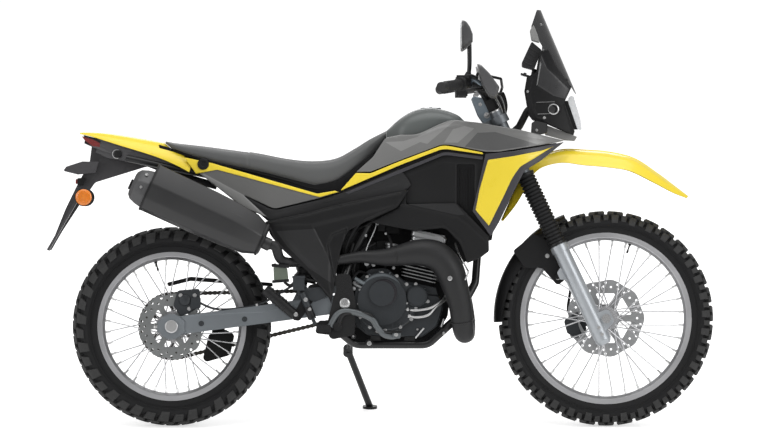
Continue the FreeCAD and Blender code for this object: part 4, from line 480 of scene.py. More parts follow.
def brushed_disc(name, colour, centre):
    """Ground steel with fine rings about a wheel's axle."""
    shader = Shader(name)
    surface = shader.surface
    middle = PLACE @ centre
    mapping = shader.add(
        "ShaderNodeMapping", vector_type="TEXTURE", Location=middle, Rotation=(-LEAN, 0, 0)
    )
    shader.link(shader.coordinates, mapping.inputs["Vector"])
    rings = shader.add(
        "ShaderNodeTexWave", wave_type="RINGS", rings_direction="Y", Scale=160.0, Distortion=2.5, Detail=3.0
    )
    shader.link(mapping.outputs["Vector"], rings.inputs["Vector"])
    base = linear(*colour)
    broad = shader.noise(18.0, 4.0)
    share = shader.spread(rings.outputs["Fac"], 0.0, 1.0, 0.0, 1.0)
    tone = shader.mix(share, scaled(base, 0.8), scaled(base, 1.15))
    shader.link(tone, surface.inputs["Base Color"])
    shader.link(shader.spread(broad, 0.26, 0.44), surface.inputs["Roughness"])
    normal, _ = shader.rounding(0.0006)
    shader.link(shader.bump(rings.outputs["Fac"], 0.2, 0.0001, normal), surface.inputs["Normal"])
    shader.give(Metallic=0.95)
    return shader.material


def lens(name, colour, rough, through):
    """Coloured clear plastic with a ribbed inner face."""
    shader = Shader(name)
    surface = shader.surface
    base = linear(*colour)
    drift = shader.noise(30.0, 2.0)
    tone = shader.mix(shader.spread(drift, 0.0, 1.0), scaled(base, 0.895), scaled(base, 1.08))
    shader.link(tone, surface.inputs["Base Color"])
    waves = shader.add("ShaderNodeTexWave", bands_direction="Z", Scale=55.0)
    shader.link(shader.coordinates, waves.inputs["Vector"])
    shader.link(shader.bump(waves.outputs["Fac"], 0.35, 0.0008), surface.inputs["Normal"])
    shader.link(shader.spread(drift, rough, rough + 0.06), surface.inputs["Roughness"])
    shader.give(Transmission_Weight=through, IOR=1.49, Coat_Weight=0.6, Coat_Roughness=0.04)
    return shader.material


def smoke_glass(name, colour, see_through):
    """Thin smoke-tinted sheet, mixed with plain transparency so that it stays cheap to render."""
    shader = Shader(name)
    surface = shader.surface
    base = linear(*colour)
    drift = shader.noise(9.0, 3.0)
    shader.link(
        shader.mix(shader.spread(drift, 0.0, 1.0), scaled(base, 0.9), scaled(base, 1.15)),
        surface.inputs["Base Color"],
    )
    shader.link(shader.spread(drift, 0.06, 0.14), surface.inputs["Roughness"])
    shader.link(shader.bump(shader.noise(500.0, 2.0), 0.05, 0.0001), surface.inputs["Normal"])
    shader.give(Coat_Weight=0.8, Coat_Roughness=0.05, Alpha=1.0 - see_through)
    return shader.material


TYRE_RUBBER = finish(
    "tyre_rubber", (50, 50, 50), 0.7, grain=420, bump=0.35, mottle=0.16, edge_wear_and_highlight=1.5, uneven=0.1, shine=0.3
)
SIDEWALL = finish("sidewall_rubber", (24, 24, 25), 0.6, grain=900, bump=0.2, mottle=0.12, edge_wear_and_highlight=1.3, shine=0.2)
SOFT_RUBBER = finish("soft_rubber", (22, 22, 23), 0.6, grain=800, bump=0.3, mottle=0.1, shine=0.25)
RIM_ALLOY = finish(
    "rim_alloy", (168, 168, 170), 0.36, 0.85, grain=900, bump=0.1, stretch=(1, 12, 1), edge_wear_and_highlight=1.2
)
SPOKE_STEEL = finish("spoke_steel", (190, 190, 192), 0.28, 1.0, grain=600, bump=0.08, edge=0)
BOLT_STEEL = finish("bolt_steel", (176, 176, 176), 0.3, 1.0, grain=900, bump=0.12, edge=0.0005)
FORK_ALLOY = finish("fork_alloy", (162, 166, 170), 0.38, 0.55, grain=1300, bump=0.16, mottle=0.05, edge_wear_and_highlight=1.15)
DARK_ALLOY = finish("dark_alloy", (104, 108, 112), 0.42, 0.7, grain=900, bump=0.2, mottle=0.08)
ARM_ALLOY = finish("arm_alloy", (112, 117, 121), 0.42, 0.55, grain=1000, bump=0.15, mottle=0.06)
CASE_DARK = finish(
    "case_dark", (44, 47, 50), 0.42, 0.25, grain=750, bump=0.45, mottle=0.1, edge_wear_and_highlight=1.9, shine=0.4
)
FIN_ALLOY = finish("fin_alloy", (170, 171, 172), 0.4, 0.7, grain=500, bump=0.5, mottle=0.12)
BLACK_STEEL = finish(
    "black_steel", (24, 24, 25), 0.4, 0.1, grain=1000, bump=0.2, mottle=0.1, edge_wear_and_highlight=2.2, shine=0.3
)
CHAMBER_BLACK = finish(
    "chamber_black", (32, 32, 33), 0.5, grain=500, bump=0.3, mottle=0.14, uneven=0.1, shine=0.3
)
CAN_SATIN = finish("can_satin", (27, 27, 28), 0.4, grain=1300, bump=0.12, mottle=0.08, edge_wear_and_highlight=1.8, shine=0.5)
CAP_GREY = finish("cap_grey", (74, 74, 75), 0.45, 0.35, grain=1100, bump=0.2, mottle=0.06)
FRAME_PAINT = finish("frame_paint", (18, 18, 19), 0.32, grain=900, bump=0.1, coat=0.1, edge_wear_and_highlight=1.9, shine=0.35)
CHAIN_STEEL = finish("chain_steel", (70, 68, 64), 0.42, 0.9, grain=900, bump=0.25, mottle=0.2, edge=0.0004)
YELLOW = finish(
    "yellow_plastic", (232, 206, 48), 0.34, grain=1500, bump=0.06, mottle=0.02, coat=0.25, edge_wear_and_highlight=1.08
)
BLACK_PLASTIC = finish(
    "black_plastic", (19, 19, 20), 0.46, grain=1500, bump=0.45, mottle=0.08, edge_wear_and_highlight=2.4, shine=0.22
)
DARK_PLASTIC = finish("dark_plastic", (50, 50, 51), 0.46, grain=1500, bump=0.4, mottle=0.06, edge_wear_and_highlight=1.6)
SHROUD_GREY = finish(
    "shroud_grey", (112, 112, 111), 0.36, 0.25, grain=2400, bump=0.1, mottle=0.05, coat=0.3, edge_wear_and_highlight=1.2
)
COVER_GREY = finish(
    "cover_grey", (96, 96, 95), 0.38, 0.2, grain=2400, bump=0.1, mottle=0.04, coat=0.25, edge_wear_and_highlight=1.25
)
# Also paints the highlight strips on the tower's ridges.
CHIN_GREY = finish("chin_grey", (122, 122, 122), 0.4, 0.2, grain=2000, bump=0.1, mottle=0.04, edge_wear_and_highlight=1.15)
# A lighter copy of the shroud grey: the painted highlight on the shrouds' shoulder; also used for the chin
# and lip plates.
SHROUD_PALE_AND_HIGHLIGHT = finish(
    "shroud_pale_and_painted_highlight", (132, 132, 131), 0.36, 0.25, grain=2400, bump=0.1, mottle=0.05, coat=0.3
)
# A darker copy of the shroud grey: painted shade below the shrouds' crease.
SHROUD_PAINTED_SHADE = finish("shroud_painted_shade", (84, 84, 84), 0.36, 0.25, grain=2400, bump=0.1, mottle=0.05, coat=0.3)
# A lighter copy of the cover grey: painted highlight on the grey covers' raised band.
COVER_PAINTED_HIGHLIGHT = finish("cover_painted_highlight", (128, 128, 127), 0.38, 0.2, grain=2400, bump=0.1, mottle=0.04, coat=0.25)
# Also the lighter patches on the black side covers and low shrouds, where it is a painted highlight.
SOFT_BLACK = finish("soft_black", (34, 34, 35), 0.4, grain=1500, bump=0.3, mottle=0.06, edge_wear_and_highlight=1.8, shine=0.3)
BORDER_GREY = finish("border_grey", (50, 49, 54), 0.42, grain=1500, bump=0.25, mottle=0.05, edge_wear_and_highlight=1.5)
TANK_PAINT = finish(
    "tank_paint", (84, 88, 87), 0.45, 0.15, grain=2400, bump=0.05, mottle=0.03, coat=0.12, edge_wear_and_highlight=1.1
)
VINYL = finish(
    "seat_vinyl", (78, 79, 79), 0.62, grain=700, bump=0.8, mottle=0.05, edge=0, sheen=0.15, depth=0.0005
)
SEAM_THREAD = finish("seam_thread", (58, 59, 60), 0.6, grain=2500, bump=0.4, mottle=0.05, edge=0)
# Near-black with little gloss: painted shade in the panel gaps, between the fins, behind the engine and the
# tail; also the seat's base rail.
INNER_BLACK_AND_SHADE = finish("inner_black_and_painted_shade", (13, 13, 14), 0.55, grain=1200, bump=0.3, mottle=0.08, edge=0, shine=0.15)
GRIP_RUBBER = finish("grip_rubber", (26, 26, 27), 0.7, grain=900, bump=0.4, mottle=0.1)
MIRROR_GLASS = finish(
    "mirror_glass", (205, 208, 210), 0.05, 1.0, grain=200, bump=0.01, mottle=0.01, edge=0, uneven=0.01
)
TOWER_SMOOTH = finish(
    "tower_smooth", (44, 44, 45), 0.34, grain=1500, bump=0.15, mottle=0.05, edge_wear_and_highlight=1.8, shine=0.4
)
HEAD_SILVER = finish("head_silver", (196, 197, 198), 0.34, 0.75, grain=500, bump=0.4, mottle=0.1)
# The clutch cover's ring, ribs and lever: a lighter cast grey set to the value of its lit top, so partly a
# painted highlight.
COVER_CAST_AND_HIGHLIGHT = finish(
    "cover_cast_and_painted_highlight", (104, 110, 114), 0.42, 0.35, grain=750, bump=0.45, mottle=0.1, edge_wear_and_highlight=1.5, shine=0.4
)
CAP_DARK = finish(
    "cap_dark", (40, 38, 42), 0.45, 0.2, grain=750, bump=0.35, mottle=0.08, edge_wear_and_highlight=1.6, shine=0.35
)
TAIL_GREY = finish("tail_grey", (62, 61, 63), 0.44, grain=1500, bump=0.35, mottle=0.05, edge_wear_and_highlight=1.4, shine=0.35)
PEDAL_GREY = finish("pedal_grey", (92, 96, 98), 0.42, 0.4, grain=900, bump=0.25, mottle=0.08, edge_wear_and_highlight=1.4)
GUARD_GREY = finish(
    "guard_grey", (72, 72, 73), 0.42, grain=1500, bump=0.35, mottle=0.05, edge_wear_and_highlight=1.4, shine=0.35
)
MIRROR_SHELL = finish(
    "mirror_shell", (58, 58, 59), 0.4, grain=1500, bump=0.3, mottle=0.05, edge_wear_and_highlight=1.5, shine=0.4
)
RISER_ALLOY = finish("riser_alloy", (118, 128, 136), 0.38, 0.6, grain=900, bump=0.2, mottle=0.06, edge_wear_and_highlight=1.4)
AMBER = lens("amber_lens", (226, 124, 0), 0.16, 0.1)
RED = lens("red_lens", (118, 12, 10), 0.14, 0.12)
CLEAR = lens("lamp_glass", (232, 234, 236), 0.1, 0.25)
RESERVOIR = lens("reservoir_plastic", (96, 106, 92), 0.3, 0.2)
SCREEN = smoke_glass("screen_smoke", (38, 38, 39), 0.12)
DISPLAY = finish(
    "display_glass", (10, 11, 12), 0.1, grain=200, bump=0.02, mottle=0.05, edge=0, coat=1.0, uneven=0.02
)
FRONT_DISC = brushed_disc("front_disc_steel", (165, 166, 167), FRONT_AXLE)
REAR_DISC = brushed_disc("rear_disc_steel", (138, 140, 140), REAR_AXLE)

NODE_FINISHES = (
    (RIM_ALLOY, ("front_rim", "rear_rim")),
    (SPOKE_STEEL, ("front_hub", "rear_hub")),
    (FRONT_DISC, ("front_disc",)),
    (REAR_DISC, ("rear_disc",)),
    (CHAIN_STEEL, ("rear_sprocket",)),
    (BLACK_STEEL, ("side_stand", "handlebar", "rear_shock", "foot_controls")),
    (DARK_ALLOY, ("fork_yokes",)),
    (SOFT_RUBBER, ("fork_gaiters", "brake_hose", "intake")),
    (FORK_ALLOY, ("fork_lowers",)),
    (BOLT_STEEL, ("front_axle", "rear_axle")),
    (BLACK_PLASTIC, ("low_mudguard", "chain_guard", "indicators", "tower_cowl")),
    (GRIP_RUBBER, ("bar_controls",)),
    (CASE_DARK, ("front_brake", "engine_block", "rear_brake")),
    (CHAMBER_BLACK, ("expansion_chamber",)),
    (CAN_SATIN, ("silencer",)),
    (CAP_GREY, ("silencer_cap",)),
    (FRAME_PAINT, ("main_frame", "subframe")),
    (ARM_ALLOY, ("swingarm",)),
    (YELLOW, ("tail_cowl",)),
    (TAIL_GREY, ("rear_fender",)),
    (SCREEN, ("windscreen",)),
    (CLEAR, ("headlight",)),
    (CHIN_GREY, ("chin_panel",)),
)


def finish_nodes():
    """Gives each solid that stays in sight its finish."""
    for material, names in NODE_FINISHES:
        for name in names:
            node = frame["nodes"][name]
            if not node.material_slots:
                node.data.materials.append(material)
            for held in node.material_slots:
                held.material = material


# Wheels

SHOULDER = math.radians(46.0)


def tyre_outline(radius, half_width, crown_r, rim_r, rim_half_width):
    """The tyre's outer profile from its crown to one bead, as (radius, y, length from the crown)."""
    rows = []
    for i in range(25):
        angle = SHOULDER * i / 24
        rows.append((radius - crown_r + crown_r * math.cos(angle), crown_r * math.sin(angle)))
    knots = [
        rows[-1],
        ((rim_r + radius) / 2 + 2.0, half_width),
        (rim_r + 1.5, rim_half_width + 1.0),
    ]
    (r0, y0), (r1, y1), (r2, y2) = knots
    for i in range(1, 21):
        t = i / 20
        ease = t * 2
        if ease <= 1:
            r = r0 + (r1 - r0) * ease
            y = y0 + (y1 - y0) * math.sin(ease * math.pi / 2)
        else:
            r = r1 + (r2 - r1) * (ease - 1)
            y = y1 + (y2 - y1) * (1 - math.cos((ease - 1) * math.pi / 2))
        rows.append((r, y))
    lengths = [0.0]
    for (ra, ya), (rb, yb) in zip(rows, rows[1:]):
        lengths.append(lengths[-1] + math.hypot(rb - ra, yb - ya))
    return np.array([(r, y, s) for (r, y), s in zip(rows, lengths)])


def profile_at(outline, length):
    """Radius and half width of the tyre at a length from the crown."""
    return tuple(np.interp(length, outline[:, 2], outline[:, k]) for k in range(2))


AROUND = 2


class Tread:
    """Blocks set round a tyre between its grooves' floor and its outer profile."""

    def __init__(self, axle, radius, outline, depth):
        self.axle = axle
        self.radius = radius
        self.outline = outline
        self.depth = depth
        self.form = Form()

    def at(self, around, across, height):
        """A point by its length round the crown, length across from the middle, and height."""
        r, y = profile_at(self.outline, abs(across))
        r2, y2 = profile_at(self.outline, abs(across) + 1)
        slope = math.hypot(r2 - r, y2 - y) or 1.0
        r, y = r + height * (y2 - y) / slope, y + height * (r - r2) / slope
        y = math.copysign(y, across)
        angle = around / self.radius
        return (self.axle.x + r * math.sin(angle), y, self.axle.z + r * math.cos(angle))

    def block(self, corners, across=4):
        """One block over four (around, across) corners, with a chamfered top and drafted sides."""
        (a0, s0), (a1, s1), (a2, s2), (a3, s3) = corners
        mid_a, mid_s = (a0 + a1 + a2 + a3) / 4, (s0 + s1 + s2 + s3) / 4

        def corner(u, v, grow):
            a = (a0 * (1 - u) + a1 * u) * (1 - v) + (a3 * (1 - u) + a2 * u) * v
            s = (s0 * (1 - u) + s1 * u) * (1 - v) + (s3 * (1 - u) + s2 * u) * v
            a = mid_a + (a - mid_a) * (1 + grow / abs(a1 - a0))
            return a, mid_s + (s - mid_s) * (1 + grow / abs(s3 - s0))

        points, faces = [], []
        for j in range(across + 1):
            for i in range(AROUND + 1):
                points.append(self.at(*corner(i / AROUND, j / across, -1.6), 0.0))
        for j in range(across):
            for i in range(AROUND):
                k = j * (AROUND + 1) + i
                faces.append((k, k + 1, k + AROUND + 2, k + AROUND + 1))
        loop = [(i / AROUND, 0.0) for i in range(AROUND)]
        loop += [(1.0, j / across) for j in range(across)]
        loop += [(1 - i / AROUND, 1.0) for i in range(AROUND)]
        loop += [(0.0, 1 - j / across) for j in range(across)]
        ring = [round(v * across) * (AROUND + 1) + round(u * AROUND) for u, v in loop]
        count = len(loop)
        levels = ((-0.9, 0.4), (-self.depth - 1.0, 2.0))
        rings = [ring]
        for height, grow in levels:
            base = len(points)
            points += [self.at(*corner(u, v, grow), height) for u, v in loop]
            rings.append(list(range(base, base + count)))
        for upper, lower in zip(rings, rings[1:]):
            for i in range(count):
                k = (i + 1) % count
                faces.append((upper[i], lower[i], lower[k], upper[k]))
        if (s3 - s0) * (a1 - a0) * mid_s < 0:
            faces = turned(faces)
        self.form.add((points, faces))


SIDEWALL_INSET = 4.5


def carcass(axle, outline, depth, tread_reach, rim_r, rim_half_width):
    """The tyre under its blocks, from bead to bead, as a closed ring."""
    half = []
    for k, (r, y, s) in enumerate(outline):
        following = outline[min(k + 1, len(outline) - 1)]
        before = outline[max(k - 1, 0)]
        run = math.hypot(following[0] - before[0], following[1] - before[1])
        fade = 1.0 if s < tread_reach else max(0.0, 1.0 - (s - tread_reach) / 6.0)
        sink = max(depth * fade, SIDEWALL_INSET * min(1.0, (outline[-1][2] - s) / 14.0))
        dr, dy = (following[:2] - before[:2]) * sink / run
        half.append((r - dy, y + dr))
    half.append((rim_r - 8.0, rim_half_width - 4.5))
    profile = [(r, -y) for r, y in reversed(half)] + half[1:]
    return hoop(profile, axle, Y_WAY, 144)


LINE_WIDTH = 1.2
LINE_HEIGHT = 0.7


def sidewall_lines(axle, outline, starts):
    """Thin moulded rings that stand on both sidewalls."""
    form = Form()
    for start in starts:
        for side in (1, -1):
            rows = []
            for share, rise in ((0.0, -0.4), (0.3, LINE_HEIGHT), (0.7, LINE_HEIGHT), (1.0, -0.4)):
                s = start + LINE_WIDTH * share
                r, y = profile_at(outline, s)
                r2, y2 = profile_at(outline, s + 1)
                rows.append((r + rise * (y2 - y), side * (y - rise * (r2 - r))))
            form.add(hoop(rows if side > 0 else rows[::-1], axle, Y_WAY, 96))
    return form


FRONT_PITCHES = 70
FRONT_KNOB = 11.0
FRONT_HALF_WIDTH = 46.0
FRONT_RIM = (282.0, 25.0)
REAR_PITCHES = 40
REAR_KNOB = 10.0
REAR_HALF_WIDTH = 61.0
REAR_RIM = (245.0, 33.0)
INSIDE_SOLID = 0.2


def dressed_tyre(node, body, tread, tread_reach, rim, line_starts):
    """Puts the carcass and its moulded lines under the blocks and makes the tyre of them."""
    form = tread.form
    form.add(carcass(tread.axle, tread.outline, tread.depth, tread_reach, *rim), slot=1)
    lines = sidewall_lines(tread.axle, tread.outline, line_starts)
    form.add((lines.points, lines.faces), slot=1)
    piece(
        node + "_dress", form, (TYRE_RUBBER, SIDEWALL), body, sharp=30, stands_for=[node]
    )


def front_tyre():
    """Pairs of square blocks on the crown, a staggered row beside them and two lengths of shoulder knob."""
    outline = tyre_outline(FRONT_TYRE_R - INSIDE_SOLID, FRONT_HALF_WIDTH, FRONT_CROWN_R, *FRONT_RIM)
    tread = Tread(FRONT_AXLE, FRONT_TYRE_R, outline, FRONT_KNOB)
    pitch = 2 * math.pi * FRONT_TYRE_R / FRONT_PITCHES
    for i in range(FRONT_PITCHES):
        a = i * pitch
        half, low = (12.5, 66.0) if i % 2 else (9.5, 58.0)
        for side in (1, -1):
            if i % 2:
                tread.block([
                    (a - 24, side * 1.2), (a + 24, side * 1.2), (a + 21, side * 13.5), (a - 22, side * 13.5)
                ])
            b = a + pitch / 2
            tread.block([
                (b - 11, side * 17.0), (b + 10, side * 16.0), (b + 8, side * 30.0), (b - 10, side * 30.0)
            ])
            tread.block(
                [
                    (a - half, side * 33.5), (a + half, side * 33.5), (a + half - 2, side * low),
                    (a - half + 1, side * low)
                ], across=7
            )
    dressed_tyre("front_tyre", "front_wheel", tread, 52.0, FRONT_RIM, (76.0, 84.0))


def rear_tyre():
    """Slanted blocks in three rows a side, the outer ones reaching down the sidewall."""
    outline = tyre_outline(REAR_TYRE_R - INSIDE_SOLID, REAR_HALF_WIDTH, REAR_CROWN_R, *REAR_RIM)
    tread = Tread(REAR_AXLE, REAR_TYRE_R, outline, REAR_KNOB)
    pitch = 2 * math.pi * REAR_TYRE_R / REAR_PITCHES
    lean = 10.0
    for i in range(REAR_PITCHES):
        a = i * pitch
        low = 84.0 if i % 2 else 74.0
        for side in (1, -1):
            tread.block([
                (a - 19, side * 1.2), (a + 19, side * 1.2), (a + 10, side * 18.0), (a - 28, side * 18.0)
            ])
            b = a + pitch / 2 - lean
            tread.block([
                (b - 19, side * 21.0), (b + 19, side * 21.0), (b + 10, side * 38.0), (b - 27, side * 38.0)
            ])
            c = a - 2 * lean
            tread.block(
                [(c - 19, side * 41.5), (c + 18, side * 41.5), (c + 6, side * low), (c - 24, side * low)],
                across=8
            )
    dressed_tyre("rear_tyre", "rear_wheel", tread, 66.0, REAR_RIM, (94.0, 104.0))


SPOKES_A_SIDE = 18


def wheel_trim(name, axle, rim_inner, body, disc_y, disc_bolt_r, valve_deg):
    """Spoke nipples, the valve and the disc's bolts of one wheel."""
    form = Form()
    for side in (1, -1):
        stagger = 360 / SPOKES_A_SIDE / 4 * side
        for i in range(SPOKES_A_SIDE):
            angle = math.radians(i * 360 / SPOKES_A_SIDE + stagger)
            way = Vector((math.sin(angle), 0, math.cos(angle)))
            foot = axle + way * (rim_inner - 17) + Vector((0, side * 6.2, 0))
            form.add(lathe([(2.4, 0), (3.3, 2), (3.3, 12), (4.2, 14), (4.2, 17.5)], foot, way, 8))
    angle = math.radians(valve_deg)
    way = Vector((math.sin(angle), 0, math.cos(angle)))
    piece(name + "_nipples", form, BOLT_STEEL, body)
    valve = Form()
    valve.add(lathe(
        [(3.0, 0), (3.6, 1), (3.6, 9), (2.6, 10), (2.6, 26), (5.5, 27), (5.5, 31)],
        axle + way * (rim_inner - 31), way, 12
    ))
    piece(name + "_valve", valve, SOFT_RUBBER, body)
    bolts = Form()
    outward = math.copysign(1, disc_y)
    for i in range(6):
        angle = 2 * math.pi * i / 6
        centre = axle + Vector(
            (math.cos(angle) * disc_bolt_r, disc_y + outward * 2.2, math.sin(angle) * disc_bolt_r)
        )
        bolts.add(screw(centre, Vector((0, outward, 0)), 6.0, 4.5))
    piece(name + "_disc_bolts", bolts, BOLT_STEEL, body)


# Chain

CHAIN_Y = 78.0
CHAIN_PITCH = 15.875
FRONT_SPROCKET = Vector((652.0, 0, 412.0))


def sprocket_radius(teeth):
    """Radius of the chain's joints round a sprocket."""
    return CHAIN_PITCH / (2 * math.sin(math.pi / teeth))


def chain_line():
    """Joints of the chain, a pitch apart round both sprockets."""
    big, small = sprocket_radius(42), sprocket_radius(14)
    gap = FRONT_SPROCKET - REAR_AXLE
    tilt = math.atan2(gap.z, gap.x)
    wrap = math.acos((big - small) / gap.length)
    run = math.sqrt(gap.length**2 - (big - small) ** 2)
    parts = (
        (REAR_AXLE, FRONT_SPROCKET, tilt + wrap, big, small, small * 2 * wrap),
        (FRONT_SPROCKET, REAR_AXLE, tilt - wrap, small, big, big * (2 * math.pi - 2 * wrap)),
    )
    total = 2 * run + sum(part[-1] for part in parts)
    count = 2 * round(total / CHAIN_PITCH / 2)

    def at(length):
        for start, end, turn, near, far, arc in parts:
            if length < run:
                return (start + way_at(turn) * near).lerp(end + way_at(turn) * far, length / run)
            length -= run
            if length < arc:
                return end + way_at(turn - length / far) * far
            length -= arc
        return REAR_AXLE + way_at(tilt + wrap) * big

    return [at(i * total / count) for i in range(count)]


LINK_RADIUS = 7.2
LINK_WAIST = 5.0


def link_plate(start, end, y_from, y_to):
    """One side plate of a link: two round ends with a waist between them."""
    along = (end - start).normalized()
    up = Vector((-along.z, 0, along.x))
    middle = (start + end) / 2
    outline = []
    for centre, turn in ((start, 1), (end, -1)):
        for k in range(7):
            angle = turn * math.pi / 2 + math.pi * k / 6
            rim = centre + (along * math.cos(angle) + up * math.sin(angle)) * LINK_RADIUS
            outline.append((rim.x, rim.z))
        neck = middle - up * (LINK_WAIST * turn)
        outline.append((neck.x, neck.z))
    return prism(outline, y_from, y_to)


def chain():
    """Wide and narrow links in turn, with a roller and a pin at each joint."""
    joints = chain_line()
    form = Form()
    for i, start in enumerate(joints):
        end = joints[(i + 1) % len(joints)]
        inset = 0.0 if i % 2 else 2.1
        for side in (1, -1):
            outer = CHAIN_Y + side * (8.8 - inset)
            inner = CHAIN_Y + side * (6.9 - inset)
            form.add(link_plate(start, end, min(outer, inner), max(outer, inner)))
        form.add(lathe([(5.0, -4.6), (5.0, 4.6)], start + Y_WAY * CHAIN_Y, Y_WAY, 10))
        form.add(lathe([(2.5, -9.0), (2.5, 9.0)], start + Y_WAY * CHAIN_Y, Y_WAY, 8))
    piece("chain_links", form, CHAIN_STEEL, stands_for=["chain"])


# Panels with relief


def through(stations, x):
    """A smooth curve through (x, value) stations, read at each x."""
    knots = np.array(stations, float)
    slopes = np.empty(len(knots))
    for i in range(len(knots)):
        low, high = max(i - 1, 0), min(i + 1, len(knots) - 1)
        slopes[i] = (knots[high, 1] - knots[low, 1]) / (knots[high, 0] - knots[low, 0])
    x = np.clip(np.asarray(x, float), knots[0, 0], knots[-1, 0])
    k = np.clip(np.searchsorted(knots[:, 0], x) - 1, 0, len(knots) - 2)
    run = knots[k + 1, 0] - knots[k, 0]
    t = (x - knots[k, 0]) / run
    ease = t * t * (3 - 2 * t)
    return (
        knots[k, 1] * (1 - ease)
        + knots[k + 1, 1] * ease
        + run * (t * (1 - t) ** 2 * slopes[k] - t * t * (1 - t) * slopes[k + 1])
    )


FLANK_WIDTHS = (
    (-320, 40), (-100, 80), (100, 104), (350, 122), (560, 118), (720, 132), (900, 156), (1050, 170),
    (1180, 158), (1300, 92),
)
FLANK_RIDGE = ((-320, 940), (0, 860), (400, 740), (700, 800), (1000, 830), (1300, 930))
SIDE_COVER_WIDTHS = ((300, 124), (380, 138), (430, 146), (560, 149), (780, 141))
TOWER_WIDTHS = ((1150, 76), (1230, 92), (1290, 84), (1330, 66))


def flank(x, z):
    """How far out the side panels stand at a place seen from the side."""
    above = (z - through(FLANK_RIDGE, x)) / 100.0
    return through(FLANK_WIDTHS, x) - np.where(above > 0, 7.0, 2.0) * above * above


def flank_at(depth):
    """The same flank, moved inward by a depth."""
    return lambda x, z: flank(x, z) - depth


def side_cover_flank(x, z):
    """How far out the black side cover stands."""
    return through(SIDE_COVER_WIDTHS, x) + 3.0 * (1.0 - ((z - 560) / 300.0) ** 2)


def tower_flank(x, z):
    """How far out the tower's side plates stand."""
    return through(TOWER_WIDTHS, x) + 0.05 * (z - 1050) + 1.2


def line_distance(points, path, closed=False):
    """How far each point is from a line of straight runs."""
    path = np.array([p[:2] for p in path], float)
    ends = np.roll(path, -1, axis=0) if closed else path[1:]
    starts = path if closed else path[:-1]
    best = np.full(len(points), 1e9)
    for a, b in zip(starts, ends):
        run = b - a
        t = np.clip(((points - a) @ run) / max(run @ run, 1e-9), 0, 1)
        best = np.minimum(best, np.linalg.norm(points - a - t[:, None] * run, axis=1))
    return best


def within(points, outline):
    """Which points lie inside an outline."""
    corners = np.array([p[:2] for p in outline], float)
    result = np.zeros(len(points), bool)
    for a, b in zip(corners, np.roll(corners, -1, axis=0)):
        crosses = (a[1] > points[:, 1]) != (b[1] > points[:, 1])
        slope = (b[0] - a[0]) / ((b[1] - a[1]) or 1e-9)
        result ^= crosses & (points[:, 0] < a[0] + (points[:, 1] - a[1]) * slope)
    return result


def divided(path, step, closed=False):
    """Points no further apart than a step along straight runs, corners kept."""
    path = [Vector(p[:2]) for p in path]
    following = path[1:] + path[:1] if closed else path[1:]
    result = []
    for a, b in zip(path, following):
        count = max(1, math.ceil((b - a).length / step))
        result += [a.lerp(b, i / count) for i in range(count)]
    if not closed:
        result.append(path[-1])
    return result


def beside(path, reach, closed=False):
    """The same points moved square to the line by a reach."""
    count = len(path)
    result = []
    for i, here in enumerate(path):
        back = path[i - 1] if closed or i else here
        ahead = path[(i + 1) % count] if closed or i < count - 1 else here
        run = (ahead - back).normalized()
        result.append(here + Vector((-run.y, run.x)) * reach)
    return result


def soft_step(share):
    """A share from 0 to 1 with soft ends."""
    share = np.clip(share, 0, 1)
    return share * share * (3 - 2 * share)


def rise_of(points, ridges, fields):
    """Height added at each point by ridges along lines and by raised or sunk fields."""
    rise = np.zeros(len(points))
    for path, width, height in ridges:
        rise += height * (1 - soft_step(line_distance(points, path) / width))
    for outline, height, blend in fields:
        reach = line_distance(points, outline, closed=True)
        signed = np.where(within(points, outline), reach, -reach)
        rise += height * soft_step((signed / blend + 1) / 2)
    return rise


def turned_left(outline):
    """The outline in the order that keeps its inside on the left."""
    twice = sum(a[0] * b[1] - b[0] * a[1] for a, b in zip(outline, outline[1:] + outline[:1]))
    return outline if twice > 0 else outline[::-1]


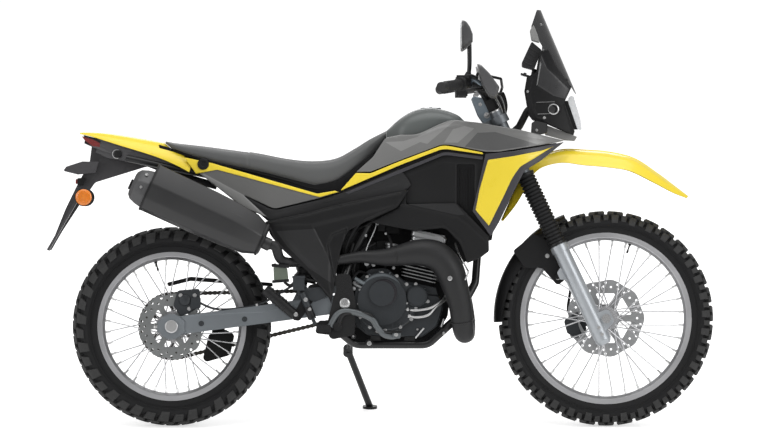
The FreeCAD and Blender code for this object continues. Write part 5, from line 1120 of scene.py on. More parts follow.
def panel_shape(
    outline, surface, thickness, ridges=(), fields=(), patches=(), roll=2.2, step=7.0, radius=4.0, gap=0.8,
    tone=0
):
    """A moulded panel over a curved flank: rolled rim, ridges, sunk fields and patches of other tones."""
    rim = divided(turned_left(rounded(outline, radius, 4)), step, closed=True)
    rim = beside(rim, gap, closed=True)
    loose = []
    for reach in (0.5, 1.2, 2.2):
        loose += beside(rim, reach, closed=True) + beside(rim, -reach, closed=True)
    for path, width, _ in ridges:
        run = divided(path, step)
        for share in (-1.0, -0.5, 0.0, 0.5, 1.0):
            loose += beside(run, width * share)
    for field, _, blend in fields:
        run = divided(rounded(field, 3.0, 2), step, closed=True)
        for share in (-1.0, -0.4, 0.0, 0.4, 1.0):
            loose += beside(run, blend * share, closed=True)
    low = np.min([list(p) for p in rim], axis=0)
    high = np.max([list(p) for p in rim], axis=0)
    for x in np.arange(low[0] + step / 2, high[0], step):
        loose += [Vector((x, z)) for z in np.arange(low[1] + step / 2, high[1], step)]
    places = np.array([list(p) for p in loose])
    keep = within(places, rim) & (line_distance(places, rim, closed=True) > 0.42)
    points = rim + [Vector(p) for p in places[keep]]
    edges = [(i, (i + 1) % len(rim)) for i in range(len(rim))]
    for patch, _ in patches:
        run = divided(patch, step, closed=True)
        edges += [(len(points) + i, len(points) + (i + 1) % len(run)) for i in range(len(run))]
        points = points + run
    flat, _, triangles, *_ = delaunay_2d_cdt(points, edges, [list(range(len(rim)))], 1, 0.05)
    flat = np.array([list(p) for p in flat])
    middles = flat[np.array(triangles)].mean(axis=1)
    inside = within(middles, rim)
    triangles = [t for t, held in zip(triangles, inside) if held]
    middles = middles[inside]
    slots = np.zeros(len(triangles), int)
    for patch, slot in patches:
        slots[within(middles, patch)] = slot
    reach = np.clip(line_distance(flat, rim, closed=True), 0, roll)
    fall = roll - np.sqrt(np.maximum(0, roll**2 - (roll - reach) ** 2))
    width = surface(flat[:, 0], flat[:, 1]) + rise_of(flat, ridges, fields) - fall
    count = len(flat)
    front = [(x, y, z) for (x, z), y in zip(flat, width)]
    back = [(x, y - thickness, z) for (x, z), y in zip(flat, width + fall)]
    faces = [tuple(reversed(t)) for t in triangles]
    faces += [tuple(count + i for i in t) for t in triangles]
    used = {}
    for a, b, c in triangles:
        for pair in ((a, b), (b, c), (c, a)):
            used[pair] = True
    walls = [(a, b, count + b, count + a) for a, b in used if (b, a) not in used]
    tones = [tone + int(slot) for slot in slots] + [tone] * (len(triangles) + len(walls))
    return front + back, faces + walls, tones


def panel(name, plans, material, stands_for=()):
    """A pair of panels, left and right, from one or more plans."""
    form = Form()
    for plan in plans:
        points, faces, slots = panel_shape(**plan)
        form.add((points, faces), slot=slots)
    form.mirror()
    piece(name, form, material, sharp=50, stands_for=stands_for)


SHROUD = (
    (652, 834, 4), (604, 834), (660, 884, 6), (700, 946, 10), (749, 957), (804, 957, 20), (887, 996, 20),
    (924, 1006, 20), (1016, 995), (1145, 972), (1291, 937, 4), (1210, 921), (1072, 899), (1030, 899, 10),
    (906, 923, 20), (883, 922, 20), (749, 872, 20),
)
STRIPE = (
    (554, 776, 3), (604, 832), (653, 831), (749, 871, 20), (883, 921, 20), (906, 921, 20), (1020, 899, 6),
    (1022, 890), (890, 909, 20), (749, 855, 20), (556, 772, 3),
)
STRIPE_EDGE = (
    (566, 766), (749, 843), (889, 899, 20), (906, 900, 20), (1022, 885), (1020, 873), (906, 888, 20),
    (889, 887, 20), (749, 829), (580, 760)
)
SEAT_TRIM = (
    (38, 884, 2), (134, 864), (478, 764, 6), (536, 774), (550, 768, 2), (486, 750, 6), (150, 840),
    (80, 827, 2)
)
WING = (
    (1036, 874, 4), (1118, 886), (1210, 904), (1252, 918, 3), (1191, 879), (1143, 851, 10), (1118, 817, 20),
    (1090, 757), (1040, 656, 3), (995, 709, 3), (1008, 776),
)
WING_EDGE = (
    (1028, 894, 3), (1120, 903), (1210, 918), (1290, 934, 3), (1210, 870), (1157, 838, 12), (1132, 790, 20),
    (1073, 668), (1046, 622, 3), (985, 706, 3), (1002, 780),
)
INNER = (
    (556, 768), (749, 858), (888, 914), (1040, 898), (1018, 780), (1000, 712), (984, 700), (960, 712),
    (774, 716), (756, 770, 4),
)
LOW_SHROUD = (
    (770, 768, 3), (770, 729), (933, 733, 8), (966, 702), (1040, 624, 4), (1041, 574, 6), (1012, 552, 6),
    (968, 534, 6), (944, 600, 14), (896, 650, 14), (796, 640, 14), (650, 668, 6), (742, 716),
)
SIDE_COVER = (
    (306, 672, 6), (445, 701), (549, 729), (756, 772), (780, 776, 4), (740, 716, 12), (636, 670, 10),
    (578, 640, 14), (556, 585, 40), (540, 500), (524, 400, 5), (516, 420), (445, 508), (362, 580, 20),
    (324, 626, 10)
)
GREY_COVER = (
    (90, 830, 3), (150, 850, 6), (486, 758, 3), (536, 764, 3), (484, 747, 20), (336, 712, 14),
    (238, 757, 4), (318, 684, 3), (300, 690, 4), (230, 720)
)
BLACK_COVER = (
    (232, 762, 2), (336, 709, 20), (484, 744, 14), (552, 764), (749, 846), (776, 812, 6), (786, 792, 6),
    (756, 760), (549, 715), (445, 690), (330, 668), (300, 686)
)


def tank_shroud_panels():
    """Grey shrouds beside the tank, with a painted highlight on the shoulder and painted shade below the
    crease.
    """
    fields = [([(990, 985), (1300, 950), (1300, 900), (1060, 880), (1000, 930)], -1.6, 7.0)]
    ridges = [([(812, 950), (884, 978), (930, 984), (1020, 968), (1285, 934)], 9.0, 1.0)]
    # Patches in lighter and darker copies of the grey: slot 1 paints the highlight on the shoulder, slot 2
    # the shade below the crease.
    patches = [
        (
            [
                (700, 932), (760, 935), (806, 949), (866, 980), (908, 997), (926, 1000), (880, 962),
                (838, 926), (815, 932), (752, 902)
            ], 1
        ), ([(893, 930), (938, 930), (992, 977), (960, 984), (922, 974)], 1),
        ([(1002, 962), (1060, 965), (1130, 945), (1200, 924), (1072, 905), (1036, 904), (960, 916)], 2)
    ]
    plan = {
        "outline": SHROUD, "surface": flank, "thickness": 5.0, "fields": fields, "ridges": ridges,
        "patches": patches
    }
    panel(
        "tank_shroud_panels", [plan], (SHROUD_GREY, SHROUD_PALE_AND_HIGHLIGHT, SHROUD_PAINTED_SHADE), stands_for=["tank_shrouds"],
    )


def yellow_panels():
    """Yellow wing ahead of the knee and the stripes along the seat."""
    plans = [
        {
            "outline": WING, "surface": flank_at(-4.0), "thickness": 5.0, "radius": 3.0,
            "ridges": [
                ([(1052, 868), (1190, 892), (1236, 908)], 5.0, -0.9),
                ([(1024, 860), (1012, 712), (1038, 676)], 4.0, -0.7)
            ]
        }, {"outline": STRIPE, "surface": flank_at(-0.6), "thickness": 4.0, "roll": 1.4, "gap": 1.4},
        {"outline": SEAT_TRIM, "surface": flank_at(-0.6), "thickness": 4.0, "roll": 1.4, "gap": 1.2}
    ]
    panel("yellow_side_panels", plans, YELLOW, stands_for=["yellow_panels"])


def lower_panels():
    """Black shrouds below the stripe with their louvres, and the grey edges of wing and stripe."""
    louvre = [(936, 858), (992, 858), (992, 700), (936, 722)]
    slats = [([(944 + 9 * i, 722 - 3 * i), (944 + 9 * i, 846)], 2.4, 6.0) for i in range(5)]
    inner = {
        "outline": INNER, "surface": flank_at(15.0), "thickness": 5.0, "fields": [(louvre, -9.0, 4.0)],
        "ridges": [*slats, ([(600, 770), (760, 822), (890, 872), (930, 868)], 10.0, 1.6)],
    }
    # The low shroud's slot 1 strip along its top ridge is a painted highlight in the lighter soft black.
    low = {
        "outline": LOW_SHROUD, "surface": flank_at(3.4), "thickness": 5.0,
        "fields": [
            (
                [
                    (752, 726), (938, 735), (968, 690), (1052, 618), (1052, 540), (960, 520), (930, 600),
                    (890, 640), (640, 660)
                ], -1.8, 4.0
            )
        ],
        "ridges": [
            ([(762, 728), (936, 690), (968, 668), (1036, 606)], 6.0, 1.6),
            ([(806, 652), (894, 660), (950, 612), (974, 548)], 5.0, 1.2)
        ], "patches": [([(764, 731), (932, 730), (960, 694), (936, 693)], 1)]
    }
    edges = {"outline": WING_EDGE, "surface": flank_at(0.2), "thickness": 5.0, "radius": 3.0, "tone": 2}
    strip = {"outline": STRIPE_EDGE, "surface": flank_at(5.0), "thickness": 9.0, "roll": 1.6, "tone": 2}
    panel(
        "lower_side_panels", [inner, low, edges, strip], (BLACK_PLASTIC, SOFT_BLACK, BORDER_GREY),
        stands_for=["lower_shrouds"],
    )


def side_cover_panels():
    """Black side covers that narrow to the pivot."""
    fields = [
        ([(310, 660), (455, 662), (735, 726), (800, 800), (300, 720)], 1.8, 3.0),
        (
            [
                (462, 656), (735, 722), (640, 655), (590, 640), (560, 590), (530, 400), (516, 470),
                (518, 550)
            ], -2.6, 4.0
        ), ([(512, 596), (526, 628), (574, 648), (562, 590), (546, 510), (534, 480)], -8.0, 5.0)
    ]
    ridges = [
        ([(316, 663), (336, 618), (374, 572), (452, 500), (516, 428)], 3.2, 2.0),
        ([(316, 666), (445, 693), (549, 720), (752, 764)], 3.0, 1.8),
        ([(768, 768), (732, 722), (634, 678)], 3.0, 1.8),
        ([(584, 632), (562, 590), (546, 500), (531, 415)], 3.0, 1.4),
        ([(352, 648), (378, 604), (424, 552), (470, 510)], 14.0, -1.6),
    ]
    # A patch in the lighter soft black beside the channel: a painted highlight on that facet.
    patches = [([(344, 640), (470, 648), (520, 540), (524, 470), (450, 520), (380, 590)], 1)]
    plan = {
        "outline": SIDE_COVER, "surface": side_cover_flank, "thickness": 5.0, "fields": fields,
        "ridges": ridges, "patches": patches, "step": 6.0
    }
    panel(
        "side_cover_panels", [plan], (BLACK_PLASTIC, SOFT_BLACK), stands_for=["side_covers"],
    )


def upper_cover_panels():
    """Grey covers under the seat and the black strip ahead of them."""
    grey = {
        "outline": GREY_COVER, "surface": flank_at(3.0), "thickness": 5.0,
        "fields": [([(92, 836), (236, 758), (316, 680), (290, 670), (80, 820)], 1.6, 4.0)],
        "ridges": [([(150, 838), (330, 786), (480, 748)], 4.0, 0.7)],
        # Slot 1: a strip in the lighter copy along the raised band, a painted highlight.
        "patches": [([(108, 828), (236, 759), (312, 686), (302, 692), (232, 722), (96, 828)], 1)],
    }
    black = {
        "outline": BLACK_COVER, "surface": flank_at(6.5), "thickness": 5.0,
        "ridges": [([(250, 742), (336, 700), (470, 730), (560, 752), (740, 800)], 8.0, 1.4)], "tone": 2,
    }
    panel(
        "upper_cover_panels", [grey, black], (COVER_GREY, COVER_PAINTED_HIGHLIGHT, SOFT_BLACK),
        stands_for=["upper_covers"]
    )


# Near-black sheets behind the side panels, painted shade seen in the gaps between them

BACKING = (
    (100, 830), (110, 874), (240, 852), (380, 814), (470, 792), (540, 806), (600, 846), (650, 888),
    (760, 930), (880, 940), (1016, 918), (1100, 912), (1180, 918), (1268, 932), (1215, 895), (1150, 862),
    (1100, 800), (1062, 690), (1050, 610), (1000, 600), (930, 720), (800, 740), (770, 700), (650, 672),
    (560, 690), (330, 660), (290, 694)
)


def backing():
    """Near-black sheets that close the gaps between the panels: painted shade."""
    plan = {"outline": BACKING, "surface": flank_at(20.0), "thickness": 3.0, "step": 12.0}
    panel("panel_backing_painted_shade", [plan], INNER_BLACK_AND_SHADE)


# Seat and tank

SEAT_SECTIONS = (
    (-20, 60, 927, 935), (14, 86, 902, 929), (110, 102, 868, 918), (240, 108, 838, 901), (275, 108, 830, 898),
    (380, 106, 802, 880), (470, 104, 776, 872), (540, 96, 790, 880), (600, 82, 828, 911), (650, 66, 873, 942),
    (703.7, 40, 944, 969),
)
TANK_SECTIONS = (
    (704, 50, 934, 969), (750, 92, 880, 1010), (795, 104, 862, 1036), (850, 108, 870, 1045),
    (900, 104, 892, 1036), (940, 90, 912, 1020), (962, 68, 926, 1000)
)
SEAT_SEAM_X = 252.0
SEAT_SQUARE = 3.4
STITCH_HEIGHT = 0.86
TANK_SQUARE = 3.6
TANK_CAP = (850.0, 1043.0)
END_SHRINK = 0.82


def lofted(sections, rows, sides, square, change=None):
    """A closed skin through oval sections; change moves each point by its place round and along."""
    widths = [(s[0], s[1]) for s in sections]
    lows = [(s[0], s[2]) for s in sections]
    highs = [(s[0], s[3]) for s in sections]
    start, end = sections[0][0], sections[-1][0]
    stations = [start + (end - start) * (1 - math.cos(math.pi * i / (rows - 1))) / 2 for i in range(rows)]
    half = through(widths, stations)
    low, high = through(lows, stations), through(highs, stations)
    points = []
    for i, x in enumerate(stations):
        shrink = END_SHRINK if i in (0, rows - 1) else 1.0
        for k in range(sides):
            angle = 2 * math.pi * k / sides
            c, s = math.cos(angle), math.sin(angle)
            across = math.copysign(abs(c) ** (2 / square), c) * shrink
            up = math.copysign(abs(s) ** (2 / square), s) * shrink
            y = half[i] * across
            z = (low[i] + high[i]) / 2 + (high[i] - low[i]) / 2 * up
            points.append(change(x, y, z, angle, half[i]) if change else (x, y, z))
    return points, skin_faces(rows, sides, inward=True)


def seat():
    """Two-level bench: padded top, panelled sides, a seam across between the levels and piping below."""

    def padded_point(x, y, z, angle, _half):
        side = abs(math.cos(angle))
        lift = math.sin(angle)
        side_seam = math.exp(-(((abs(lift) - 0.80) / 0.035) ** 2)) if lift > 0 else 0.0
        foot_seam = math.exp(-(((lift + 0.45) / 0.05) ** 2))
        cross = math.exp(-(((x - SEAT_SEAM_X) / 3.0) ** 2)) * (1.0 if lift > -0.4 else 0.0)
        puff = 2.2 * math.sin(math.pi * min(1.0, max(0.0, (lift + 0.45) / 1.25))) ** 2 * side
        crease = 0.8 * math.sin(x * 0.11 + lift * 5.0) * math.exp(-abs(x - SEAT_SEAM_X) / 26.0)
        pull = 1.9 * side_seam + 1.4 * foot_seam + 2.6 * cross
        out = math.copysign(1.0, y) * side
        dip = 3.0 * math.exp(-((x - 400) / 90.0) ** 2) * max(0.0, lift) * (1 - side)
        return (x, y + out * (puff - pull + crease * 0.5), z + lift * (crease - pull * 0.9) - dip)

    form = Form()
    form.add(lofted(SEAT_SECTIONS, 260, 96, SEAT_SQUARE, padded_point))
    obj = piece("seat_bench", form, VINYL, sharp=180, stands_for=["seat"])
    seat_trim()


def seat_trim():
    """A row of stitches along each side seam and a rail under each side of the seat."""
    widths, lows, highs = ([(s[0], s[k]) for s in SEAT_SECTIONS] for k in (1, 2, 3))
    angle = math.asin(STITCH_HEIGHT)
    out, up = math.cos(angle) ** (2 / SEAT_SQUARE), math.sin(angle) ** (2 / SEAT_SQUARE)

    def on_seam(x):
        half, low, high = (float(through(knots, x)) for knots in (widths, lows, highs))
        return (x, half * out - 0.3, (low + high) / 2 + (high - low) / 2 * up - 0.4)

    stitches = Form()
    for i in range(96):
        x = 20.0 + i * 6.6
        stitches.add(tube([on_seam(x), on_seam(x + 3.6)], 0.55, 6))
    stitches.mirror()
    piece("seat_stitches", stitches, SEAM_THREAD)
    base = Form()
    rail = [(x, float(through(widths, x)) - 8.0, float(through(lows, x)) + 3.0) for x in range(10, 690, 20)]
    base.add(tube(rail, 4.0, 8))
    base.mirror()
    piece("seat_base_edge", base, INNER_BLACK_AND_SHADE)


def tank():
    """The tank's skin with a sunk ring round its hinged cap."""

    def dished(x, y, z, _angle, half):
        reach = math.hypot(x - TANK_CAP[0], y)
        sunk = 2.4 * (1 - float(soft_step((reach - 36.0) / 10.0))) if z > 1000 else 0.0
        fold = 1.6 * math.exp(-(((abs(y) - half * 0.62) / 5.0) ** 2)) if z > 990 else 0.0
        return (x, y, z - sunk + fold)

    form = Form()
    form.add(lofted(TANK_SECTIONS, 90, 128, TANK_SQUARE, dished))
    piece("tank_skin", form, TANK_PAINT, sharp=60, stands_for=["fuel_tank"])
    x, z = TANK_CAP
    lid = Form()
    lid.add(lathe(
        [(33, -3), (34, 0.5), (33, 2.2), (27, 3.2), (26, 2.4), (12, 2.6), (11, 3.4), (0.4, 3.4)],
        (x, 0, z - 1), Z_WAY, 40
    ))
    lid.add(lathe([(5.4, 0), (5.4, 1.6), (4.6, 2.2), (0.3, 2.2)], (x, 0, z + 2), Z_WAY, 20))
    for k in range(5):
        angle = 2 * math.pi * k / 5
        lid.add(screw((x + 29.5 * math.cos(angle), 29.5 * math.sin(angle), z + 1.0), Z_WAY, 2.4, 1.4, 10))
    piece("tank_cap", lid, DARK_ALLOY)


# Engine


def barrel(x, y, z):
    """A place given ahead of, beside and up the leaning cylinder."""
    return BARREL @ Vector((x, y, z))


def cylinder():
    """Thin cast fins round the bore with grooves between them, studs, head bolts and the plug's cap."""
    form = Form()
    # A near-black core behind the fins: painted shade in the grooves between them.
    core = Form()
    core.add(lofted_box([(-46, 46, -48, 48, 0), (-46, 46, -48, 48, 136)]), BARREL)
    piece("cylinder_core_painted_shade", core, INNER_BLACK_AND_SHADE)
    for i in range(11):
        z = 14.0 + 11.0 * i
        half_x, half_y = 63.0 - 0.9 * abs(i - 5), 65.0 - 0.9 * abs(i - 5)
        fin = rounded([(-half_x, -half_y), (half_x, -half_y), (half_x, half_y), (-half_x, half_y)], 14.0, 5)
        form.add(plate(fin, z, 3.4, 0.7), BARREL)
    cover = rounded([(-57, -55), (61, -55), (61, 55), (-57, 55)], 16.0, 5)
    head = Form()
    head.add(plate([(x * 0.92, y * 0.92) for x, y in cover], 136.0, 12.0, 1.0), BARREL)
    head.add(plate(cover, 148.0, 20.0, 4.0), BARREL)
    for k in range(5):
        low, high = -42 + 20 * k, -37 + 20 * k
        rib = rounded([(-44, low), (46, low), (46, high), (-44, high)], 2.0, 2)
        head.add(plate(rib, 167.0, 5.5, 1.0), BARREL)
    piece("cylinder_head_cover", head, HEAD_SILVER, sharp=35)
    form.add(lathe(
        [(24, 0), (24, 30), (21, 32), (18, 32)], barrel(46, 0, 50), BARREL_TURN @ Vector((30, 0, -6)), 24
    ))
    piece("cylinder_fins", form, FIN_ALLOY, sharp=32, stands_for=["cylinder"])
    bolts = Form()
    up = BARREL_TURN @ Z_WAY
    for x, y in ((-46, -44), (48, -44), (-46, 44), (48, 44)):
        bolts.add(hex_bolt(barrel(x, y, 168), up, 6.0, 6.0))
    for x in (-50, 52):
        bolts.add(hex_bolt(barrel(x, -60, 128), BARREL_TURN @ RIGHT, 5.0, 6.0))
    piece("cylinder_bolts", bolts, BOLT_STEEL)
    plug = Form()
    plug.add(lathe([(7, 166), (10, 168), (10, 190), (8, 194), (8, 200), (5, 201)], barrel(0, 0, 0), up, 20))
    lead = smooth_path(
        [
            barrel(0, 0, 196), barrel(-14, -10, 206), barrel(-44, -24, 206), barrel(-76, -34, 196),
            (700, -30, 690)
        ], 8
    )
    plug.add(tube(lead, 3.6, 8))
    piece("plug_lead", plug, SOFT_RUBBER)


CLUTCH = (689, 436)
CLUTCH_CAP = (695, 439)
IGNITION_CAP = (804, 427)
GENERATOR = (776, 408)


def engine_covers():
    """Right covers: the big clutch cover with its round cap, ribs and bolts, and the small ignition cap."""
    cover = Form()
    clutch = [
        (606, 400), (612, 450), (640, 496), (690, 508), (740, 498), (772, 470), (800, 462), (832, 452),
        (836, 408), (806, 392), (790, 350), (752, 322), (700, 312), (646, 322), (616, 356)
    ]
    cover.add(facing(rounded(clutch, 22, 4), -88.0, 17.0, 5.0))
    cover.add(facing(disc_outline(*CLUTCH, 68), -104.0, 12.0, 4.5), slot=1)
    cover.add(facing(disc_outline(*CLUTCH_CAP, 45), -115.0, 12.0, 3.0), slot=2)
    cover.add(facing(disc_outline(*CLUTCH_CAP, 37), -126.5, 2.0, 1.0), slot=2)
    cover.add(tube([(655, -118, 437), (738, -118, 437)], 2.2, 8), slot=2)
    cover.add(
        bent_tube([(601, -112, 486), (616, -114, 476), (636, -116, 466), (654, -116, 457)], 6, 7.0, 12),
        slot=1
    )
    cover.add(facing(disc_outline(*IGNITION_CAP, 36), -103.0, 11.0, 3.5))
    cover.add(facing(disc_outline(*IGNITION_CAP, 29), -113.6, 5.0, 2.0))
    for k in range(7):
        angle = math.radians(20 + 25 * k)
        start = Vector((CLUTCH[0] + 64 * math.cos(angle), -103, CLUTCH[1] + 64 * math.sin(angle)))
        end = Vector((CLUTCH[0] + 84 * math.cos(angle), -101, CLUTCH[1] - 6 + 80 * math.sin(angle)))
        cover.add(tube([start, end], [3.2, 2.2], 8), slot=1)
    lower = [(604, 420), (618, 330), (640, 298), (820, 292), (872, 330), (892, 392), (880, 430), (700, 440)]
    cover.add(facing(rounded(lower, 14, 4), -64.0, 18.0, 5.0))
    for x, z0, z1 in ((722, 318, 372), (746, 326, 380), (660, 322, 372)):
        cover.add(tube([(x, -104, z0), (x + 4, -103.5, z1)], [3.0, 2.4], 8))
    cover.add(facing(rounded([(776, 392), (800, 396), (796, 372), (780, 368)], 5, 3), -104.0, 5.0, 2.0))
    piece(
        "right_engine_covers", cover, (CASE_DARK, COVER_CAST_AND_HIGHLIGHT, CAP_DARK), bevel=0.5, sharp=35,
    )
    bolts = Form()
    for x, z in (
        (612, 402), (617, 448), (642, 490), (690, 503), (738, 493), (770, 466), (826, 448), (831, 410),
        (800, 388), (786, 352), (750, 326), (700, 316), (650, 326), (620, 358)
    ):
        bolts.add(hex_bolt((x, -104.0, z), RIGHT, 4.6, 6.0))
    x, z = IGNITION_CAP
    for k in range(3):
        angle = math.radians(95 + 120 * k)
        bolts.add(hex_bolt((x + 40 * math.cos(angle), -103.0, z + 40 * math.sin(angle)), RIGHT, 4.2, 9.0))
    piece("right_cover_bolts", bolts, BOLT_STEEL)
    pipes = Form()
    for path in (
        [(772, -100, 384), (800, -112, 381), (846, -110, 388), (884, -98, 410), (897, -88, 424)],
        [(778, -100, 362), (806, -112, 358), (842, -110, 366), (868, -98, 392), (902, -86, 420)],
    ):
        pipes.add(bent_tube(path, 8, 4.6, 10))
        pipes.add(lathe([(7.5, -2), (7.5, 6), (5, 8)], path[0], Vector((1, -0.3, 0)), 12))
        pipes.add(lathe([(7.0, 0), (7.0, 8), (5, 9)], path[-1], Vector((0.5, 0.3, 0.6)), 12))
    pipes.add(tube([(893, -86, 352), (884, -90, 326)], 4.0, 10))
    piece("oil_pipes", pipes, BOLT_STEEL, sharp=60)


def engine_left():
    """Left generator cover with ribs and bolts, and the gear lever."""
    cover = Form()
    x, z = GENERATOR
    cover.add(facing_left(disc_outline(x, z, 76, 48), 94, 6.0, 2.5))
    for k in range(12):
        angle = 2 * math.pi * k / 12
        start = Vector((x + 50 * math.cos(angle), 101, z + 50 * math.sin(angle)))
        end = Vector((x + 70 * math.cos(angle), 100, z + 70 * math.sin(angle)))
        cover.add(tube([start, end], [2.6, 2.0], 8))
    piece("left_engine_cover", cover, CASE_DARK, bevel=0.5)
    bolts = Form()
    for k in range(8):
        angle = 2 * math.pi * (k + 0.5) / 8
        bolts.add(hex_bolt((x + 70 * math.cos(angle), 99, z + 70 * math.sin(angle)), Y_WAY, 4.6, 6.0))
    piece("left_cover_bolts", bolts, BOLT_STEEL)
    lever = Form()
    path = smooth_path(
        [(640, 100, 345), (640, 128, 345), (668, 142, 344), (744, 146, 338), (768, 150, 336)], 6
    )
    lever.add(tube(path, 6.0, 10))
    lever.add(lathe([(9, 0), (10, 2), (10, 34), (9, 36)], (768, 140, 336), Y_WAY, 16))
    lever.add(lathe([(12, 0), (12, 14), (9, 16)], (640, 94, 345), Y_WAY, 16))
    piece("gear_lever", lever, BLACK_STEEL)


def engine_room():
    """Carburettor, hoses, cables and boxes between the engine and the tank."""
    dark = Form()
    dark.add(lathe(
        [(26, 0), (30, 4), (30, 20), (26, 24), (24, 40), (28, 44), (28, 60), (24, 64)], (752, 0, 566),
        Vector((-1, 0, 0.12)), 28
    ))
    dark.add(box((560, -70, 560), (616, -40, 640)))
    dark.add(box((676, -60, 640), (748, -36, 690)))
    for path, radius in (
        ([(600, -60, 640), (640, -84, 660), (690, -82, 690), (760, -70, 700)], 7.0),
        ([(566, -92, 560), (580, -100, 610), (612, -96, 660), (650, -84, 690)], 6.0),
        ([(606, -70, 470), (598, -84, 520), (620, -84, 570), (668, -70, 600)], 5.5),
        ([(704, -60, 640), (720, -74, 600), (716, -80, 560), (700, -70, 520)], 5.0),
        ([(640, -52, 520), (672, -60, 540), (700, -58, 566), (736, -52, 580)], 9.0),
        ([(590, -100, 420), (578, -106, 480), (580, -104, 540), (596, -98, 600)], 5.0),
        ([(640, -70, 500), (612, -86, 506), (588, -96, 470), (592, -98, 430)], 5.0),
    ):
        dark.add(bent_tube(path, 8, radius, 10))
    piece("engine_room_parts", dark, SOFT_RUBBER, bevel=1.2)
    # Near-black back sheet and blocks: they stand for the dark frame and clutter behind the engine and paint
    # the shade among them.
    sheets = Form()
    back = [
        (540, 716), (800, 732), (1000, 664), (990, 560), (944, 524), (922, 476), (912, 420), (906, 360),
        (858, 286), (786, 272), (640, 272), (584, 284), (540, 360)
    ]
    sheets.add(facing(rounded(back, 10, 4), 6.0, 4.0, 1.0))
    for x, z, half, high in (
        (596, 560, 20, 60), (640, 690, 40, 18), (596, 420, 16, 40), (724, 648, 26, 20), (618, 352, 20, 28)
    ):
        outline = rounded(
            [(x - half, z - high), (x + half, z - high), (x + half, z + high), (x - half, z + high)], 8, 3
        )
        sheets.add(facing(outline, -40.0, 24.0, 6.0))
    piece("engine_room_sheets_and_shade", sheets, INNER_BLACK_AND_SHADE)
    bright = Form()
    body = Vector((716, -34, 566))
    bright.add(lathe(
        [(19, 0), (21, 2), (21, 10), (17, 12), (17, 26), (21, 28), (21, 34), (12, 36)], body,
        Vector((0.15, 0, 1)), 24
    ))
    bright.add(lathe([(15, -40), (18, -34), (18, -4), (20, 0)], body, Vector((0.05, 0, 1)), 20))
    bright.add(bent_tube([(628, -94, 540), (642, -90, 590), (664, -84, 640), (672, -82, 668)], 8, 2.2, 8))
    for centre, way, radius in (
        ((675, -86, 668), RIGHT, 7.0), ((640, -92, 534), RIGHT, 7.5), ((662, -90, 530), RIGHT, 6.0),
        ((612, -96, 476), RIGHT, 9.0), ((600, -98, 470), RIGHT, 6.0), ((728, -80, 520), RIGHT, 5.0),
        ((598, -104, 452), RIGHT, 6.0), ((636, -88, 626), RIGHT, 5.0), ((702, -86, 632), RIGHT, 4.0),
    ):
        bright.add(hex_bolt(centre, way, radius * 0.8, 7.0))
    bright.add(bent_tube([(598, -100, 468), (622, -102, 456), (650, -98, 440)], 6, 6.0, 10))
    piece("engine_room_fittings", bright, FIN_ALLOY, sharp=40)


# Front mudguard, tower and bar

FENDER_STATIONS = (
    (1080, 676, 66, 24, 8), (1106, 734, 64, 44, 24), (1134, 800, 60, 58, 34), (1162, 846, 50, 62, 32),
    (1200, 880, 30, 68, 35), (1275, 909, 8, 80, 45), (1360, 908, -3, 92, 52), (1440, 901, -8, 98, 52),
    (1520, 880, -24, 96, 46), (1600, 828, -36, 84, 34), (1660, 783, -37, 62, 22), (1696, 755.5, -37, 30, 9),
)
FENDER_SECTION = (
    (0.0, 0.0), (0.06, 0.0), (0.10, 0.07), (0.36, 0.08), (0.60, 0.17), (0.76, 0.36), (0.80, 0.44),
    (0.83, 0.52), (0.91, 0.76), (0.97, 0.93), (1.0, 1.0)
)


ARCH_ROWS = 64


def arched(stations, section, thickness):
    """A thin shell over the middle plane with a creased section, thinning to its ends."""
    lengths = [0.0]
    for (xa, za, *_), (xb, zb, *_) in zip(stations, stations[1:]):
        lengths.append(lengths[-1] + math.hypot(xb - xa, zb - za))
    steps = np.linspace(0, lengths[-1], ARCH_ROWS)
    x, z, slope, half, drop = (
        through([(s, station[k]) for s, station in zip(lengths, stations)], steps) for k in range(5)
    )
    across = [(-u, d) for u, d in section[:0:-1]] + list(section)
    points = []
    for i in range(ARCH_ROWS):
        lean = math.radians(float(slope[i]))
        up = Vector((-math.sin(lean), 0, math.cos(lean)))
        crown = Vector((float(x[i]), 0, float(z[i])))
        outer = [crown + Vector((0, float(half[i]) * u, 0)) - up * (float(drop[i]) * d) for u, d in across]
        inner = [
            crown + Vector((0, (float(half[i]) - thickness) * u, 0)) - up * (
                (float(drop[i]) - thickness) * d + thickness
            ) for u, d in reversed(across)
        ]
        points += outer + inner
    count = 2 * len(across)
    last = (ARCH_ROWS - 1) * count
    faces = turned(ring_faces(ARCH_ROWS, count))
    side = len(across)
    for k in range(side - 1):
        faces.append((k, k + 1, count - 2 - k, count - 1 - k))
        faces.append((last + count - 1 - k, last + count - 2 - k, last + k + 1, last + k))
    return points, faces


def front_fender():
    """Long mudguard with a raised keel, a crease along each side and four bolts under the yoke."""
    form = Form()
    form.add(arched(FENDER_STATIONS, FENDER_SECTION, 3.5))
    piece(
        "front_fender_shell", form, YELLOW, "front_end", sharp=24, stands_for=["high_fender"],
    )
    bolts = Form()
    for x, y in ((1196, 26), (1196, -26), (1238, 26), (1238, -26)):
        bolts.add(hex_bolt((x, y, 874 + (x - 1196) * 0.42), Vector((-0.4, 0, 1)), 5.0, 5.0))
    piece("front_fender_bolts", bolts, BOLT_STEEL, "front_end")


